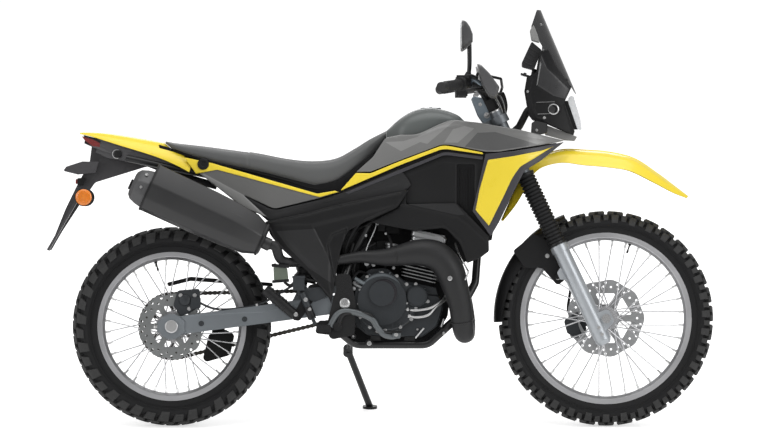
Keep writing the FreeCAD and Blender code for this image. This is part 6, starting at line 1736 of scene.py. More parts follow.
TOWER_SIDE = (
    (1168, 1140, 6), (1195, 1158, 4), (1208, 1232, 3), (1236, 1236, 4), (1262, 1182, 12), (1312, 1112, 4),
    (1298, 1082, 6), (1288, 1062, 4), (1320, 968, 4), (1316, 956, 3), (1214, 1000, 12), (1188, 1006, 10),
    (1173, 1024, 10), (1160, 1098, 10)
)
TOWER_PANEL = (
    (1211, 1218), (1198, 1118), (1251, 1084), (1290, 1074), (1304, 1106), (1272, 1136), (1229, 1175)
)
TOWER_HOLLOW = ((1197, 1060), (1262, 1064), (1278, 1042), (1264, 1024), (1200, 1024), (1192, 1040))


def tower():
    """Side plates over the tower: a smooth raised part under the screen, a sunk part with a round cap."""
    plan = {
        "outline": TOWER_SIDE, "surface": tower_flank, "thickness": 4.0, "roll": 1.6, "step": 6.0,
        "fields": [(TOWER_PANEL, 2.6, 2.2), (TOWER_HOLLOW, -3.2, 2.0)],
        "ridges": [
            ([(1196, 1062), (1256, 1064)], 2.4, 2.2), ([(1200, 1024), (1254, 1026)], 2.4, 2.2),
            *[([(1200, 1032 + 7 * k), (1232, 1033 + 7 * k)], 1.8, 1.4) for k in range(4)],
            ([(1180, 1140), (1172, 1096), (1182, 1040), (1196, 1012), (1220, 1006)], 4.0, 1.8),
            ([(1288, 1056), (1314, 966)], 3.0, 1.8),
        ],
        # Slot 2: thin light grey strips on the ridges' crests and along the raised panel's edge are painted
        # highlights.
        "patches": [(TOWER_PANEL, 1), ([(1208, 1196), (1212, 1188), (1200, 1121), (1196, 1117)], 2),
                    ([(1196, 1061), (1256, 1063), (1256, 1065), (1196, 1063)], 2),
                    ([(1200, 1023), (1254, 1025), (1254, 1027), (1200, 1025)], 2)],
    }
    panel(
        "tower_side_plates", [plan], (BLACK_PLASTIC, TOWER_SMOOTH, CHIN_GREY)
    )
    dark, bright = forms(2)
    y = float(tower_flank(1248, 1040))
    dark.add(lathe([(11, -4), (12, 2), (11, 4), (7, 4.6), (0.4, 4.8)], (1247, y, 1039), Y_WAY, 28))
    bright.add(hoop([(13, -3), (17, -3), (18, 2), (15, 3), (13, 1)], (1252, y, 1040), Y_WAY, 36))
    for x, z, radius in ((1211, 1318, 4.6), (1291, 1134, 4.6)):
        bright.add(screw((x, screen_side(x, z) - 1.0, z), Y_WAY, radius, 3.6, 18))
        dark.add(lathe(
            [(radius * 1.7, 0), (radius * 1.6, 1.0), (radius, 1.2)], (x, screen_side(x, z) - 1.0, z), Y_WAY,
            20
        ))
    for x, z in ((1197, 971), (1168, 1098), (1222, 1012)):
        bright.add(hex_bolt((x, float(tower_flank(x, z)), z), Y_WAY, 3.6, 3.6))
    dark.add(facing_left(
        rounded([(1180, 962), (1182, 996), (1194, 1004), (1232, 994), (1232, 962), (1204, 956)], 4, 3),
        76.0, 6.0, 1.5
    ))
    dark.mirror()
    bright.mirror()
    piece("tower_dark_parts", dark, DISPLAY)
    piece("tower_fittings", bright, BOLT_STEEL)


def chin_and_lip():
    """Light plates: the chin below the lamp and the curled lip at the back of the screen."""
    form = Form()
    form.add(facing_left(
        rounded([(1224, 990), (1330, 950), (1322, 936), (1292, 938), (1226, 956)], 3, 3), 48.0, 4.0, 1.2
    ))
    lip = rounded([(1186, 1317), (1176, 1299), (1181, 1266), (1208, 1258), (1200, 1284), (1190, 1310)], 4, 3)
    form.add(facing_left(lip, 80.0, 4.0, 1.4))
    form.mirror()
    piece("chin_and_lip_plates", form, SHROUD_PALE_AND_HIGHLIGHT)


SCREEN_WIDTHS = (
    (1088, 96, 150), (1150, 108, 150), (1210, 112, 136), (1270, 104, 112), (1320, 84, 70), (1366, 46, 16)
)


def screen_side(x, z):
    """How far out the screen's face is at a place seen from the side."""
    half = float(through([(s[0], s[1]) for s in SCREEN_WIDTHS], z))
    depth = float(through([(s[0], s[2]) for s in SCREEN_WIDTHS], z))
    front = 1211 + (1367 - z) * (1326 - 1211) / (1367 - 1095)
    share = min(1.0, max(0.0, (front - x) / depth)) ** (1 / 3.2)
    return half * share


def dashboard():
    """Roll book box, switch strip and clock behind the screen, with the dark stays that carry them."""
    form = Form()
    form.add(prism(
        rounded([(1181, 1262), (1214, 1234), (1188, 1168), (1149, 1178), (1149, 1193)], 5, 3), -70, 70
    ))
    form.add(prism(rounded([(1145, 1160), (1176, 1150), (1178, 1142), (1146, 1152)], 3, 3), -62, 62))
    for k in range(4):
        form.add(tube([(1155 + 7 * k, -71, 1196 + 15 * k), (1180 + 6 * k, -71, 1184 + 14 * k)], 1.6, 8))
    for side in (1, -1):
        form.add(bent_tube(
            [
                (1190, side * 40, 1172), (1184, side * 44, 1140), (1176, side * 46, 1090),
                (1186, side * 40, 1010)
            ], 6, 7.0, 10
        ))
    piece("dash_boxes", form, SOFT_BLACK, bevel=2.0, stands_for=["instruments"])
    face = Form()
    rows = [(1152, 1194.5), (1180, 1258)]
    (x0, z0), (x1, z1) = rows
    face.add(
        (
            [
                (x0 - 1.2, -52, z0 + 2), (x0 - 1.2, 52, z0 + 2), (x1 - 1.2, 52, z1 - 2),
                (x1 - 1.2, -52, z1 - 2), (x0 + 2, -52, z0 + 1), (x0 + 2, 52, z0 + 1), (x1 + 2, 52, z1 - 3),
                (x1 + 2, -52, z1 - 3)
            ], [(0, 3, 2, 1), (4, 5, 6, 7), (0, 1, 5, 4), (1, 2, 6, 5), (2, 3, 7, 6), (3, 0, 4, 7)]
        )
    )
    piece("dash_screen", face, DISPLAY, bevel=0.6)
    knobs = Form()
    for k in range(5):
        knobs.add(lathe(
            [(5, -2), (5, 3), (4, 4.4), (0.4, 4.6)], (1159, -48 + 24 * k, 1155.4), Vector((0.3, 0, 1)), 16
        ))
    piece("dash_buttons", knobs, DARK_PLASTIC)


BAR_BEND = Vector((988, 195, 1126))
BAR_END = Vector((884, 408, 1110))
BAR_WAY = (BAR_END - BAR_BEND).normalized()
GRIP_START = BAR_BEND.lerp(BAR_END, 0.42)
PERCH = GRIP_START - BAR_WAY * 56
MIRROR_Y = PERCH.y + 22.0
MIRROR_FOOT = (PERCH.x + 3.0, PERCH.y, PERCH.z + 16.0)


def mirrors():
    """Two mirror heads with a faceted back and a glass, on round stalks with a boot at their foot."""
    heads, stalks, glass = forms(3)
    middle, high = MIRROR_Y, 1281.5
    outline = rounded(
        [(-62, -40), (-58, 40), (-30, 48), (44, 46), (64, 30), (62, -26), (40, -48), (-40, -48)], 18, 4
    )
    points = []
    for x, share, lift in (
        (949.5, 0.94, 0.0), (951.0, 1.0, 0.0), (957.0, 1.0, 0.0), (966.0, 0.88, 1.0), (977.0, 0.62, -3.0),
        (986.0, 0.28, -10.0)
    ):
        points += [(x, middle + u * share, high + v * share + lift) for u, v in outline]
    count = len(outline)
    heads.add((points, skin_faces(6, count, inward=True)))
    pane = [(949.0, middle + u * 0.9, high + v * 0.9) for u, v in outline]
    pane += [(951.0, middle + u * 0.9, high + v * 0.9) for u, v in outline]
    glass.add((pane, skin_faces(2, count, inward=True)))
    foot = MIRROR_FOOT
    stalks.add(bent_tube(
        [foot, (977, foot[1] + 2, 1180), (977, middle - 8, 1240), (975, middle, 1272)], 8, 5.6, 14
    ))
    stalks.add(lathe(
        [(10, 0), (12, 3), (12, 12), (9.5, 16), (9.5, 22), (7, 26)], (foot[0], foot[1], foot[2] - 4), Z_WAY,
        20
    ))
    for form in (heads, stalks, glass):
        form.mirror()
    piece(
        "mirror_heads", heads, MIRROR_SHELL, "front_end", sharp=20, stands_for=["mirrors"],
    )
    piece("mirror_stalks", stalks, BLACK_STEEL, "front_end")
    piece("mirror_panes", glass, MIRROR_GLASS, "front_end")


LEAF = (
    (999, 1186), (1011, 1184), (1040, 1155), (1073, 1110), (1070, 1098), (1063, 1071), (1041, 1075),
    (1015, 1116), (1006, 1148)
)


def handguard_shells():
    """Leaf-shaped guards ahead of the grips, closed at their outer end, each on a thin stay."""
    form = Form()
    outline = rounded(LEAF, 5, 4)
    centre = Vector((1035, 1128))
    stations = (
        (202, 0.52), (208, 0.6), (240, 0.84), (290, 0.97), (340, 1.0), (378, 0.97), (392, 0.9), (397, 0.8)
    )
    points = []
    for y, share in stations:
        for x, z in outline:
            points.append((centre.x + (x - centre.x) * share, y, centre.y + (z - centre.y) * share))
    form.add((points, skin_faces(len(stations), len(outline))))
    form.add(bent_tube([(1004, 196, 1118), (1022, 204, 1122), (1036, 230, 1128)], 6, 5.0, 10))
    form.mirror()
    piece(
        "handguard_shells", form, GUARD_GREY, "front_end", bevel=1.2, sharp=24, stands_for=["handguards"],
    )


def bar_fittings():
    """Grip ribs and end plugs, switch boxes, and clamps with their risers."""
    rubber, boxes, alloy, bright = forms(4)
    for k in range(15):
        rubber.add(hoop(
            [(15.8, -1.6), (17.2, -0.9), (17.2, 0.9), (15.8, 1.6)], GRIP_START + BAR_WAY * (12 + 7 * k),
            BAR_WAY, 28
        ))
    rubber.add(hoop([(9, -1), (15.5, -1), (15.5, 0.8), (13, 1.4), (9, 1.2)], BAR_END, BAR_WAY, 28))
    rubber.add(lathe([(6, -1), (6, 1.2), (4.6, 1.6), (0.4, 1.6)], BAR_END, BAR_WAY, 20))
    throttle = GRIP_START - BAR_WAY * 20
    boxes.add(lathe(
        [(22, -21), (25, -19), (25.5, -6), (24, -4), (24, 4), (25.5, 6), (25, 19), (22, 21)], throttle,
        BAR_WAY, 30
    ))
    for k in range(7):
        angle = math.radians(200 + 22 * k)
        out = way_at(angle)
        foot = throttle + Vector((out.x * 20, -4, out.z * 20))
        boxes.add(lathe([(5, 0), (5, 7), (3.6, 8.4), (0.4, 8.6)], foot, out, 14))
    boxes.add(bent_tube(
        [
            throttle + Vector((8, -10, 22)), throttle + Vector((26, -16, 27)),
            throttle + Vector((48, -24, 18))
        ], 6, 6.5, 12
    ))
    boxes.add(box(tuple(throttle + Vector((-20, -22, 18))), tuple(throttle + Vector((22, 16, 29)))))
    boxes.add(box(tuple(throttle + Vector((-22, -20, -40))), tuple(throttle + Vector((16, 18, -18)))))
    alloy.add(lathe([(17.4, -11), (18.4, -9), (18.4, 14), (17.4, 16)], PERCH, BAR_WAY, 28))
    alloy.add(bent_tube(
        [PERCH + Vector((4, 0, 14)), PERCH + Vector((26, 4, 10)), PERCH + Vector((54, 0, -12))], 6,
        [9, 9, 9, 8.6, 8.4] + [8] * 8, 14
    ))
    bright.add(lathe(
        [(8.2, 0), (8.4, 8), (7.2, 9), (4, 9), (3.6, 6), (0.4, 6)], PERCH + Vector((30, 0, -36)), Y_WAY, 22
    ))
    for shift in ((-16, -14, 14), (18, -14, -12)):
        bright.add(screw(tuple(throttle + Vector(shift) + Vector((0, 0, 8))), Z_WAY, 3.4, 3.0, 12))
    riser = [
        (982, 1074), (989, 1082), (1029, 1076), (1050, 1049), (1056, 1022), (1046, 1000), (1022, 992),
        (1004, 1018)
    ]
    alloy.add(facing_left(rounded(riser, 5, 3), 34.0, 22.0, 2.0))
    for x, z in ((1000, 1090), (1046, 1084)):
        bright.add(hex_bolt((x, 45, z + 8), Z_WAY, 5.0, 5.0))
    bright.add(hex_bolt((1034, 56, 1020), Y_WAY, 7.5, 5.0))
    bright.add(hex_bolt((1012, 56, 1056), Y_WAY, 4.5, 4.0))
    for form in (rubber, boxes, alloy, bright):
        form.mirror()
    piece("grip_ribs", rubber, GRIP_RUBBER, "front_end")
    piece("bar_switch_boxes", boxes, SOFT_BLACK, "front_end", bevel=2.0)
    piece("bar_risers", alloy, RISER_ALLOY, "front_end", sharp=35)
    piece("bar_bolts", bright, BOLT_STEEL, "front_end")


def bar_cables():
    """Cables and wires that run from the switch boxes down to the yokes."""
    cables, silver = forms(2)
    for k, (reach, radius, held) in enumerate(
        (
            (0, 4.5, cables), (13, 2.6, silver), (24, 4.6, cables), (35, 2.4, silver), (44, 4.0, cables),
            (54, 3.0, cables)
        )
    ):
        start = Vector((1040 + reach * 0.7, 120 - 10 * k, 1096 - 0.1 * reach))
        held.add(bent_tube(
            [
                start, (1062 + reach * 0.5, 76 - 6 * k, 1062 + reach * 0.55),
                (1080 + reach * 0.36, 47 - 3 * k, 1024 + reach * 0.5),
                (1080 + reach * 0.2, 42 - 3 * k, 1000 + reach * 0.1)
            ], 8, radius, 8
        ))
    for form in (cables, silver):
        form.mirror()
    piece("bar_cables", cables, SOFT_RUBBER, "front_end")
    piece("bar_wires", silver, FIN_ALLOY, "front_end")


# Exhaust, tail and rear end

CHAMBER_SEAMS = (
    ((866, -137, 560), (802, -137, 570), 46.5), ((968, -8, 345), (963, -3, 395), 28.5),
    ((739, -135, 560), (676, -132, 554), 33.5), ((430, -119, 541), (392, -121, 538), 17.0),
    ((952, -115, 346), (945, -127, 400), 38.6)
)


def exhaust_trim():
    """Weld beads and springs on the chamber, the joint's clamp, and small fasteners."""
    beads = Form()
    for start, end, radius in CHAMBER_SEAMS:
        way = Vector(end) - Vector(start)
        beads.add(hoop(
            [(radius - 2, -2.4), (radius + 0.8, -1.2), (radius + 0.8, 1.2), (radius - 2, 2.4)], start, way,
            44
        ))
    piece("chamber_welds", beads, CHAMBER_BLACK)
    bright = Form()
    bright.add(lathe([(8, 0), (8, 2), (5, 2.6), (5, 5), (0.4, 5.2)], (912, -184, 486), RIGHT, 18))
    wire = [(930, -60, 600), (940, -100, 570), (966, -150, 520), (972, -168, 506), (962, -176, 480)]
    bright.add(bent_tube(wire, 8, 3.0, 8))
    bright.add(tube([(799, -96, 289), (827, -96, 322)], 3.2, 8))
    bright.add(screw((892, -96, 306), RIGHT, 5.0, 4.0, 14))
    bright.add(screw((806, -86, 318), RIGHT, 4.0, 4.0, 14))
    piece("exhaust_fasteners", bright, BOLT_STEEL)


CAN_FRONT = Vector((300, -163, 605))
CAN_BACK = Vector((-92, -172, 782))
CAN_LENGTH = (CAN_BACK - CAN_FRONT).length
CAN_WAY = (CAN_BACK - CAN_FRONT).normalized()
CAN_UP = Y_WAY.cross(CAN_WAY).normalized()
CAN_SECTION = (
    (-1.06, 0.34), (-0.40, 1.30), (0.34, 1.28), (0.78, 0.92), (1.02, 0.30), (1.02, -0.40),
    (0.76, -0.84), (0.30, -0.99), (-0.30, -0.99), (-0.76, -0.84), (-1.0, -0.40),
)
CAP_SECTION = (
    (-1.0, 0.30), (-0.34, 0.98), (0.34, 0.98), (1.0, 0.30), (1.0, -0.40),
    (0.62, -0.94), (-0.62, -0.94), (-1.0, -0.40),
)


CAN_STATIONS = (
    (-3.0, 30, 36), (0.0, 37, 44), (48.0, 51.5, 62), (120.0, 54.5, 68.0), (200.0, 56.4, 70.4),
    (300.0, 56.8, 70.5), (CAN_LENGTH - 18, 56.8, 70.5)
)
CAP_STATIONS = (
    (-40, 54, 66), (-17, 54, 66), (6, 51, 61), (26, 46, 53), (36, 36, 41), (38, 28, 32),
)
CREASE_HEIGHT = 0.3


def can_ring(outline, reach, half_y, half_z, share):
    """One section of the can; its upper facet is a little lower towards the front."""
    centre = CAN_FRONT + CAN_WAY * reach
    top = 0.93 + 0.07 * max(0.0, min(1.0, share))
    return [
        centre + Y_WAY * (u * half_y) + CAN_UP * (v * half_z * (top if v > CREASE_HEIGHT else 1.0))
        for u, v in outline
    ]


def can_shell(stations, outline):
    """A closed skin through sections of the can."""
    points = []
    for reach, half_y, half_z in stations:
        points += can_ring(outline, reach, half_y, half_z, reach / CAN_LENGTH)
    return points, skin_faces(len(stations), len(outline), inward=True)


def silencer_skin():
    """The can with its crease between a lit upper facet and a dark side, its cap, bands and screws."""
    outline = rounded(CAN_SECTION, 0.10, 3)
    skin, cap, trim, bright = forms(4)
    skin.add(can_shell(CAN_STATIONS, outline))
    piece("silencer_skin", skin, CAN_SATIN, sharp=22)
    cap_stations = [(CAN_LENGTH + reach, half_y, half_z) for reach, half_y, half_z in CAP_STATIONS]
    cap.add(can_shell(cap_stations, rounded(CAP_SECTION, 0.12, 4)))
    piece("silencer_cap", cap, CAP_GREY, bevel=1.0, sharp=30)
    outlet = [(13, -2), (17, -1), (18, 4), (16, 6), (13.5, 5), (13, -2)]
    trim.add(hoop(outlet, CAN_FRONT + CAN_WAY * (CAN_LENGTH + 39) - CAN_UP * 6, CAN_WAY, 32))
    for reach, proud in ((CAN_LENGTH - 19, 1.4), (CAN_LENGTH * 0.30, 1.6), (6, 1.6)):
        share = reach / CAN_LENGTH
        half_y, half_z = 38 + 19 * share**0.42, 45 + 26 * share**0.42
        band = []
        for shift, lift in ((-4, -1.0), (-3, proud), (3, proud), (4, -1.0)):
            band += can_ring(outline, reach + shift, half_y + lift, half_z + lift, share)
        trim.add((band, turned(ring_faces(4, len(outline)))))
    for k in range(3):
        angle = math.radians(-50 + 50 * k)
        centre = CAN_FRONT + CAN_WAY * (CAN_LENGTH + 6) + Y_WAY * (-51 * math.cos(angle)) + CAN_UP * (
            56 * math.sin(angle)
        )
        bright.add(screw(centre, Y_WAY * -math.cos(angle) + CAN_UP * math.sin(angle), 5.2, 4.0, 16))
    bright.add(screw(CAN_FRONT + CAN_WAY * (CAN_LENGTH * 0.30) + Y_WAY * -47, RIGHT, 5.4, 4.0, 16))
    piece("silencer_bands", trim, BLACK_STEEL, sharp=40)
    piece("silencer_screws", bright, BOLT_STEEL)


def tail_panels():
    """Creased sides of the tail and the near-black sheets behind them, painted shade."""
    body = {
        "outline": TAIL_BODY, "surface": lambda x, z: through(TAIL_WIDTHS, x) - 5.0, "thickness": 4.0,
        "roll": 1.4, "ridges": [([(-240, 934), (-60, 882), (40, 856)], 3.0, 1.2)]
    }
    hidden = {"outline": TAIL_INNER, "surface": lambda x, z: through(TAIL_WIDTHS, x) - 12.0, "thickness": 3.0}
    panel("tail_body_sides", [body], TAIL_GREY)
    panel("tail_inner_sides_painted_shade", [hidden], INNER_BLACK_AND_SHADE)


def tail_parts():
    """Indicator lenses in dark rims, tail lamp with its cover line, reflector, lug and plate screws."""
    lenses, rims, red, dark, bright = forms(5)
    for side in (1, -1):
        out = Y_WAY * side
        centre = Vector((-287, side * 137.0, 751))
        lenses.add(lathe([(26.8, -3), (26.8, 0.8), (25, 2.6), (16, 3.8), (0.4, 4.2)], centre, out, 40))
        for radius in (9.0, 14.0, 19.0):
            lenses.add(hoop([(radius - 1, 3.0), (radius, 4.5), (radius + 1, 3.0)], centre, out, 40))
        rims.add(hoop([(26.8, -2), (29.4, -1.5), (29.4, 1.0), (28.4, 1.8), (27.0, 1.0)], centre, out, 44))
        rims.add(tube([(-287, side * 88, 754), (-287, side * 122, 752)], [8, 11], 16))
        dark.add(lathe(
            [(19, -5), (19, 0.4), (16.5, 2.4), (9, 2.6), (8, 0.6), (0.4, 0.5)],
            (104, side * (float(flank(104, 860)) + 3.2), 860), out, 32
        ))
        rims.add(lathe(
            [(13, -6), (13, 2.0), (10, 3.2), (0.4, 3.2)], (-176, side * (tail_side(-176) - 1), 893), out, 24
        ))
        bright.add(hoop(
            [(13.4, -1), (15.6, 0), (15.0, 2.0), (13.4, 2.4)], (-180, side * (tail_side(-176) - 1.5), 893),
            out, 28
        ))
        bright.add(screw((-140, side * (tail_side(-140) + 0.4), 880), out, 3.6, 2.4, 14))
        bright.add(screw((-60, side * (tail_side(-60) + 0.4), 892), out, 3.6, 2.4, 14))
    red.add(prism(
        rounded([(-296, 952), (-262, 944), (-218, 922), (-223, 905), (-258, 918), (-286, 938)], 4, 3),
        -37.5, 37.5
    ))
    red.add(prism(rounded([(-316, 811), (-308, 811), (-308, 795), (-316, 795)], 1.5, 2), -28, 28))
    dark.add(prism(rounded([(-310, 814), (-284, 816), (-290, 790), (-310, 792)], 1.5, 2), -31, 31))
    dark.add(prism(
        rounded([(-290, 956), (-258, 948), (-214, 926), (-216, 919), (-258, 941), (-288, 950)], 2, 2), -39,
        39
    ))
    for y in (-72, 72):
        bright.add(screw((-352, y, 668), Vector((-0.86, 0, 0.5)), 5.0, 4.0, 14))
    piece("indicator_lenses", lenses, AMBER)
    piece("indicator_rims", rims, BLACK_PLASTIC)
    piece("tail_red_lenses", red, RED, bevel=1.2, stands_for=["tail_light"])
    piece("tail_dark_parts", dark, BLACK_PLASTIC, bevel=0.6)
    piece("tail_screws", bright, BOLT_STEEL)


TAIL_WIDTHS = ((-302, 20), (-231, 44), (-139, 66), (-50, 80), (76, 92))
TAIL_BODY = (
    (-286, 954, 3), (-231, 944), (-157, 922), (-33, 884), (40, 856), (24, 846, 4), (-60, 862), (-140, 866),
    (-214, 880), (-252, 898, 4), (-244, 916), (-262, 944)
)
TAIL_INNER = ((-44, 926), (14, 908), (62, 886), (128, 858), (150, 842), (80, 822), (30, 842), (-30, 868))


def tail_side(x):
    """Half width of the tail's lower body."""
    return float(through(TAIL_WIDTHS, x))


def swingarm_parts():
    """Adjusters, scale plates, washers and hose clips on the arms, and the caliper's bracket and pins."""
    alloy, bright, dark = forms(3)
    for side in (1, -1):
        out = Y_WAY * side
        axle = Vector((REAR_AXLE.x, 0, REAR_AXLE.z))
        alloy.add(facing_side(
            rounded([(-46, axle.z - 20), (44, axle.z - 24), (44, axle.z + 24), (-46, axle.z + 20)], 10, 4),
            side, 124.0, 5.0, 1.6
        ))
        bright.add(lathe([(21, 0), (21, 3), (19, 4)], (axle.x, side * 129.0, axle.z), out, 32))
        bright.add(hex_bolt((axle.x, side * 131.5, axle.z), out, 12.0, 8.0))
        bright.add(tube([(-58, side * 112, axle.z), (-34, side * 112, axle.z)], 4.2, 12))
        bright.add(lathe([(8, 0), (8, 6), (6, 7)], (-58, side * 112, axle.z), X_WAY, 6))
        for k in range(5):
            alloy.add(tube(
                [(30 + 3 * k, side * 128.6, axle.z + 8), (30 + 3 * k, side * 128.6, axle.z + 15)], 0.6, 6
            ))
        alloy.add(tube(
            [(60, side * 122.5, axle.z + 36), (300, side * 122.5, 376), (520, side * 122.5, 424)], 2.2, 8
        ))
    for x, z in ((98, 338), (240, 352)):
        dark.add(lathe([(9, 0), (9, 2.0), (5, 2.2), (4, 0.6), (0.4, 0.6)], (x, -124.0, z), RIGHT, 20))
    hose = [
        (452, -140, 442), (420, -132, 470), (360, -118, 440), (280, -118, 398), (160, -112, 384),
        (96, -100, 404), (84, -92, 420)
    ]
    dark.add(bent_tube(hose, 10, 4.0, 10))
    for place in ((280, -118, 398), (160, -112, 384)):
        bright.add(hoop([(4.2, -4), (6.0, -3.4), (6.0, 3.4), (4.2, 4)], place, Vector((1, 0, 0.2)), 18))
    dark.add(facing_side(
        rounded([(6, 396), (20, 446), (92, 452), (96, 396), (60, 372), (30, 360)], 8, 4), -1, 93.0, 5.0, 1.6
    ))
    for x, z in ((30, 430), (76, 430), (58, 386)):
        bright.add(hex_bolt((x, -98.5, z), RIGHT, 5.0, 5.0))
    dark.add(lathe([(18, 0), (18, 6), (15, 8), (0.4, 8.4)], (44, -96.0, 414), RIGHT, 28))
    piece("arm_plates", alloy, ARM_ALLOY)
    piece("arm_fittings", bright, BOLT_STEEL)
    piece("rear_caliper_parts", dark, CASE_DARK, bevel=0.6)


def foot_parts():
    """Brake pedal, footrest treads, springs, brake reservoir and the passenger rests' rubbers."""
    pedal, dark, bright, pot = forms(4)
    path = [
        (520, -156, 328), (544, -155, 368), (576, -155, 377), (623, -158, 368), (657, -162, 352),
        (676, -163, 324), (695, -164, 303), (720, -165, 296), (738, -166, 299)
    ]
    pedal.add(bent_tube(path, 8, 11.0, 14, 0.8))
    pedal.add(facing(
        rounded([(724, 288), (750, 290), (752, 312), (738, 318), (724, 308)], 4, 3), -160.0, 26.0, 2.0
    ))
    bright.add(lathe([(16, 0), (16, 4), (12, 6), (6, 6), (5, 4), (0.4, 4)], (568, -146.0, 404), RIGHT, 30))
    bright.add(hex_bolt((736, -186.0, 302), RIGHT, 5.0, 4.0))
    for x, z, radius in (
        (576, 320, 7), (648, 273, 8), (674, 312, 5), (552, 300, 5), (596, 296, 4), (530, 360, 4)
    ):
        bright.add(screw((x, -118.0, z), RIGHT, radius, 5.0, 16))
        dark.add(lathe([(radius + 5, -30), (radius + 5, -2), (radius + 3, 0)], (x, -118.0, z), RIGHT, 18))
    for side in (1, -1):
        for k in range(7):
            y = side * (152 + 14 * k)
            dark.add(box((478, min(y, y + side * 5), 329), (520, max(y, y + side * 5), 334)))
        for k in range(6):
            a, b = Vector((404, side * 152, 366)), Vector((306, side * 152, 450))
            here = a.lerp(b, 0.30 + 0.11 * k)
            dark.add(hoop([(16.5, -3.2), (18.6, -2.2), (18.6, 2.2), (16.5, 3.2)], here, b - a, 24))
        bright.add(screw((408, side * 168.0, 368), Y_WAY * side, 7.0, 4.0, 16))
    pot.add(prism(rounded([(334, 524), (380, 520), (384, 482), (336, 478)], 6, 4), -146, -118))
    dark.add(prism(rounded([(328, 534), (386, 530), (386, 519), (328, 523)], 3, 3), -149, -116))
    dark.add(prism(rounded([(330, 480), (386, 484), (386, 474), (330, 470)], 3, 3), -147, -117))
    dark.add(bent_tube([(370, -132, 474), (388, -136, 462), (404, -142, 474), (412, -148, 486)], 8, 5.0, 10))
    for x, z in ((340, 538), (374, 536)):
        bright.add(screw((x, -132, z - 6), Z_WAY, 4.0, 3.0, 12))
    dark.add(lathe(
        [(12, 0), (14, 3), (14, 40), (11, 44), (11, 60), (7, 64)], (462, -152, 354), Vector((-0.42, 0, 1)),
        22
    ))
    bright.add(hex_bolt((452, -164.0, 384), RIGHT, 5.4, 5.0))
    bright.add(hex_bolt((440, -164.0, 416), RIGHT, 5.4, 5.0))
    piece("brake_pedal", pedal, PEDAL_GREY, bevel=0.8)
    piece("foot_dark_parts", dark, BLACK_STEEL, bevel=0.5)
    piece("foot_fittings", bright, BOLT_STEEL)
    piece("brake_reservoir", pot, RESERVOIR, bevel=1.0)


def fork_parts():
    """Bands on the gaiters, pinch bolts, axle foot ribs and the low guard's bolts."""
    bands, bright = forms(2)
    for side in (1, -1):
        out = Y_WAY * side
        y = side * FORK_HALF_SPAN
        for z in (292.0, 540.0):
            place = FORK @ Vector((0, y, z))
            bands.add(hoop([(28.6, -5), (30.6, -4), (30.6, 4), (28.6, 5)], place, FORK_UP, 36))
        for z in (596.0, 738.0):
            for shift in (-9, 9):
                bright.add(hex_bolt(FORK @ Vector((26, y, z + shift * 0.6)), FORK_AHEAD, 4.6, 5.0))
        place = FORK @ Vector((0, y, 772))
        bright.add(lathe([(20, -6), (20, 0), (17, 2), (10, 2), (9, -1), (0.4, -1)], place, FORK_UP, 30))
        for z in (-40.0, -16.0):
            bright.add(hex_bolt(FORK @ Vector((4, y + side * 27.2, z)), out, 4.6, 4.0))
        for x, z in ((1232, 559), (1267, 487)):
            bright.add(hex_bolt((x, side * 60.0, z), out, 5.4, 4.5))
    piece("gaiter_bands", bands, BLACK_STEEL, "front_end")
    piece("fork_bolts", bright, BOLT_STEEL, "front_end")
    caliper = Form()
    for x, z in ((-84, -4), (-60, 46), (-44, 6)):
        caliper.add(hex_bolt(FORK @ Vector((x, 78, z)), Y_WAY, 5.4, 5.0))
    caliper.add(lathe([(17, 0), (17, 5), (14, 7), (0.4, 7.4)], FORK @ Vector((-66, 77, 22)), Y_WAY, 28))
    piece("front_caliper_bolts", caliper, BOLT_STEEL, "front_end")


# Stage, lamps and camera

PHOTO_MM = 3.285
PHOTO_SIZE = (764, 436)
REAR_AXLE_PIXEL = 172
GROUND_PIXEL = 426
CAMERA_DISTANCE = 40.0
FLOOR_REACH = 30.0
FLOOR_LIFT = 0.6
SKY_STRENGTH = 0.55


def stage():
    """A pale floor that keeps the machine's shadow and shows white to the camera and in gloss."""
    floor = bpy.data.meshes.new("floor")
    corners = [(x * FLOOR_REACH, y * FLOOR_REACH, 0) for x, y in ((-1, -1), (1, -1), (1, 1), (-1, 1))]
    floor.from_pydata(corners, [], [(0, 1, 2, 3)])
    obj = bpy.data.objects.new("floor", floor)
    bpy.context.scene.collection.objects.link(obj)
    shader = Shader("pale_floor")
    surface = shader.surface
    shader.give(
        Base_Color=(0.8, 0.8, 0.8, 1), Roughness=0.9, Specular_IOR_Level=0.0, Emission_Color=(1, 1, 1, 1)
    )
    path = shader.add("ShaderNodeLightPath")
    gloss = shader.add("ShaderNodeMath", operation="MAXIMUM")
    shader.link(path.outputs["Is Glossy Ray"], gloss.inputs[0])
    shader.link(path.outputs["Is Transmission Ray"], gloss.inputs[1])
    seen = shader.add("ShaderNodeMath", operation="MAXIMUM")
    shader.link(path.outputs["Is Camera Ray"], seen.inputs[0])
    shader.link(gloss.outputs[0], seen.inputs[1])
    lift = shader.add("ShaderNodeMath", operation="MULTIPLY")
    lift.inputs[1].default_value = FLOOR_LIFT
    shader.link(seen.outputs[0], lift.inputs[0])
    shader.link(lift.outputs[0], surface.inputs["Emission Strength"])
    floor.materials.append(shader.material)


def world():
    """Soft white surroundings, plain white to the camera."""
    sky = bpy.data.worlds.new("studio")
    bpy.context.scene.world = sky
    sky.use_nodes = True
    tree = sky.node_tree
    back = tree.nodes["Background"]
    path = tree.nodes.new("ShaderNodeLightPath")
    strength = tree.nodes.new("ShaderNodeMapRange")
    strength.inputs["To Min"].default_value = SKY_STRENGTH
    strength.inputs["To Max"].default_value = 1.0
    tree.links.new(path.outputs["Is Camera Ray"], strength.inputs["Value"])
    tree.links.new(strength.outputs["Result"], back.inputs["Strength"])
    back.inputs["Color"].default_value = (1, 1, 1, 1)


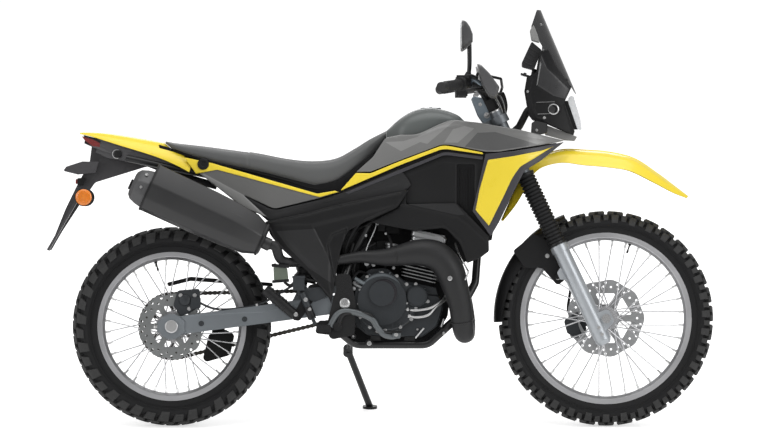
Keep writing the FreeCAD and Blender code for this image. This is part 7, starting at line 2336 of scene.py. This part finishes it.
def lamp(name, place, target, size, watts):
    """A soft lamp at a place, turned to a target."""
    data = bpy.data.lights.new(name, "AREA")
    data.shape = "RECTANGLE"
    data.size, data.size_y = size
    data.energy = watts
    obj = bpy.data.objects.new(name, data)
    obj.location = place
    obj.rotation_euler = (Vector(target) - Vector(place)).to_track_quat("-Z", "Y").to_euler()
    bpy.context.scene.collection.objects.link(obj)


def lights():
    """Four soft lamps: above, ahead, behind and on the far side."""
    lamp("top_soft", (0.2, -0.6, 4.2), (0.0, 0.0, 0.6), (4.5, 3.0), 95)
    lamp("front_soft", (3.6, -3.4, 2.4), (0.3, 0.0, 0.7), (2.5, 2.5), 70)
    lamp("rear_soft", (-3.8, -2.6, 2.2), (-0.3, 0.0, 0.7), (2.2, 2.6), 45)
    lamp("left_soft", (0.0, 4.5, 2.6), (0.0, 0.0, 0.7), (3.0, 2.0), 55)


def camera():
    """Square to the machine's leaning middle plane, from its right side, framed as the photograph."""
    width, height = PHOTO_SIZE
    target = placed(
        (width / 2 - REAR_AXLE_PIXEL) * PHOTO_MM, 0, (GROUND_PIXEL - height / 2) * PHOTO_MM
    )
    data = bpy.data.cameras.new("camera")
    data.sensor_width = 36.0
    data.lens = data.sensor_width * CAMERA_DISTANCE / (width * PHOTO_MM * MM)
    data.clip_end = 100.0
    obj = bpy.data.objects.new("camera", data)
    obj.location = target + Vector((0, -math.cos(LEAN), math.sin(LEAN))) * CAMERA_DISTANCE
    obj.rotation_euler = (math.pi / 2 - LEAN, 0, 0)
    bpy.context.scene.collection.objects.link(obj)
    bpy.context.scene.camera = obj
    bpy.context.scene.view_settings.view_transform = "Standard"


camera()
world()
lights()
stage()
finish_nodes()
front_tyre()
rear_tyre()
wheel_trim("front_wheel", FRONT_AXLE, 256.0, "front_wheel", 56.0, 34.0, 18.0)
wheel_trim("rear_wheel", REAR_AXLE, 219.0, "rear_wheel", -74.0, 28.0, -14.0)
chain()
tank_shroud_panels()
yellow_panels()
lower_panels()
side_cover_panels()
upper_cover_panels()
backing()
seat()
tank()
cylinder()
engine_covers()
engine_left()
engine_room()
front_fender()
tower()
dashboard()
mirrors()
handguard_shells()
bar_fittings()
bar_cables()
chin_and_lip()
exhaust_trim()
silencer_skin()
tail_panels()
tail_parts()
swingarm_parts()
foot_parts()
fork_parts()
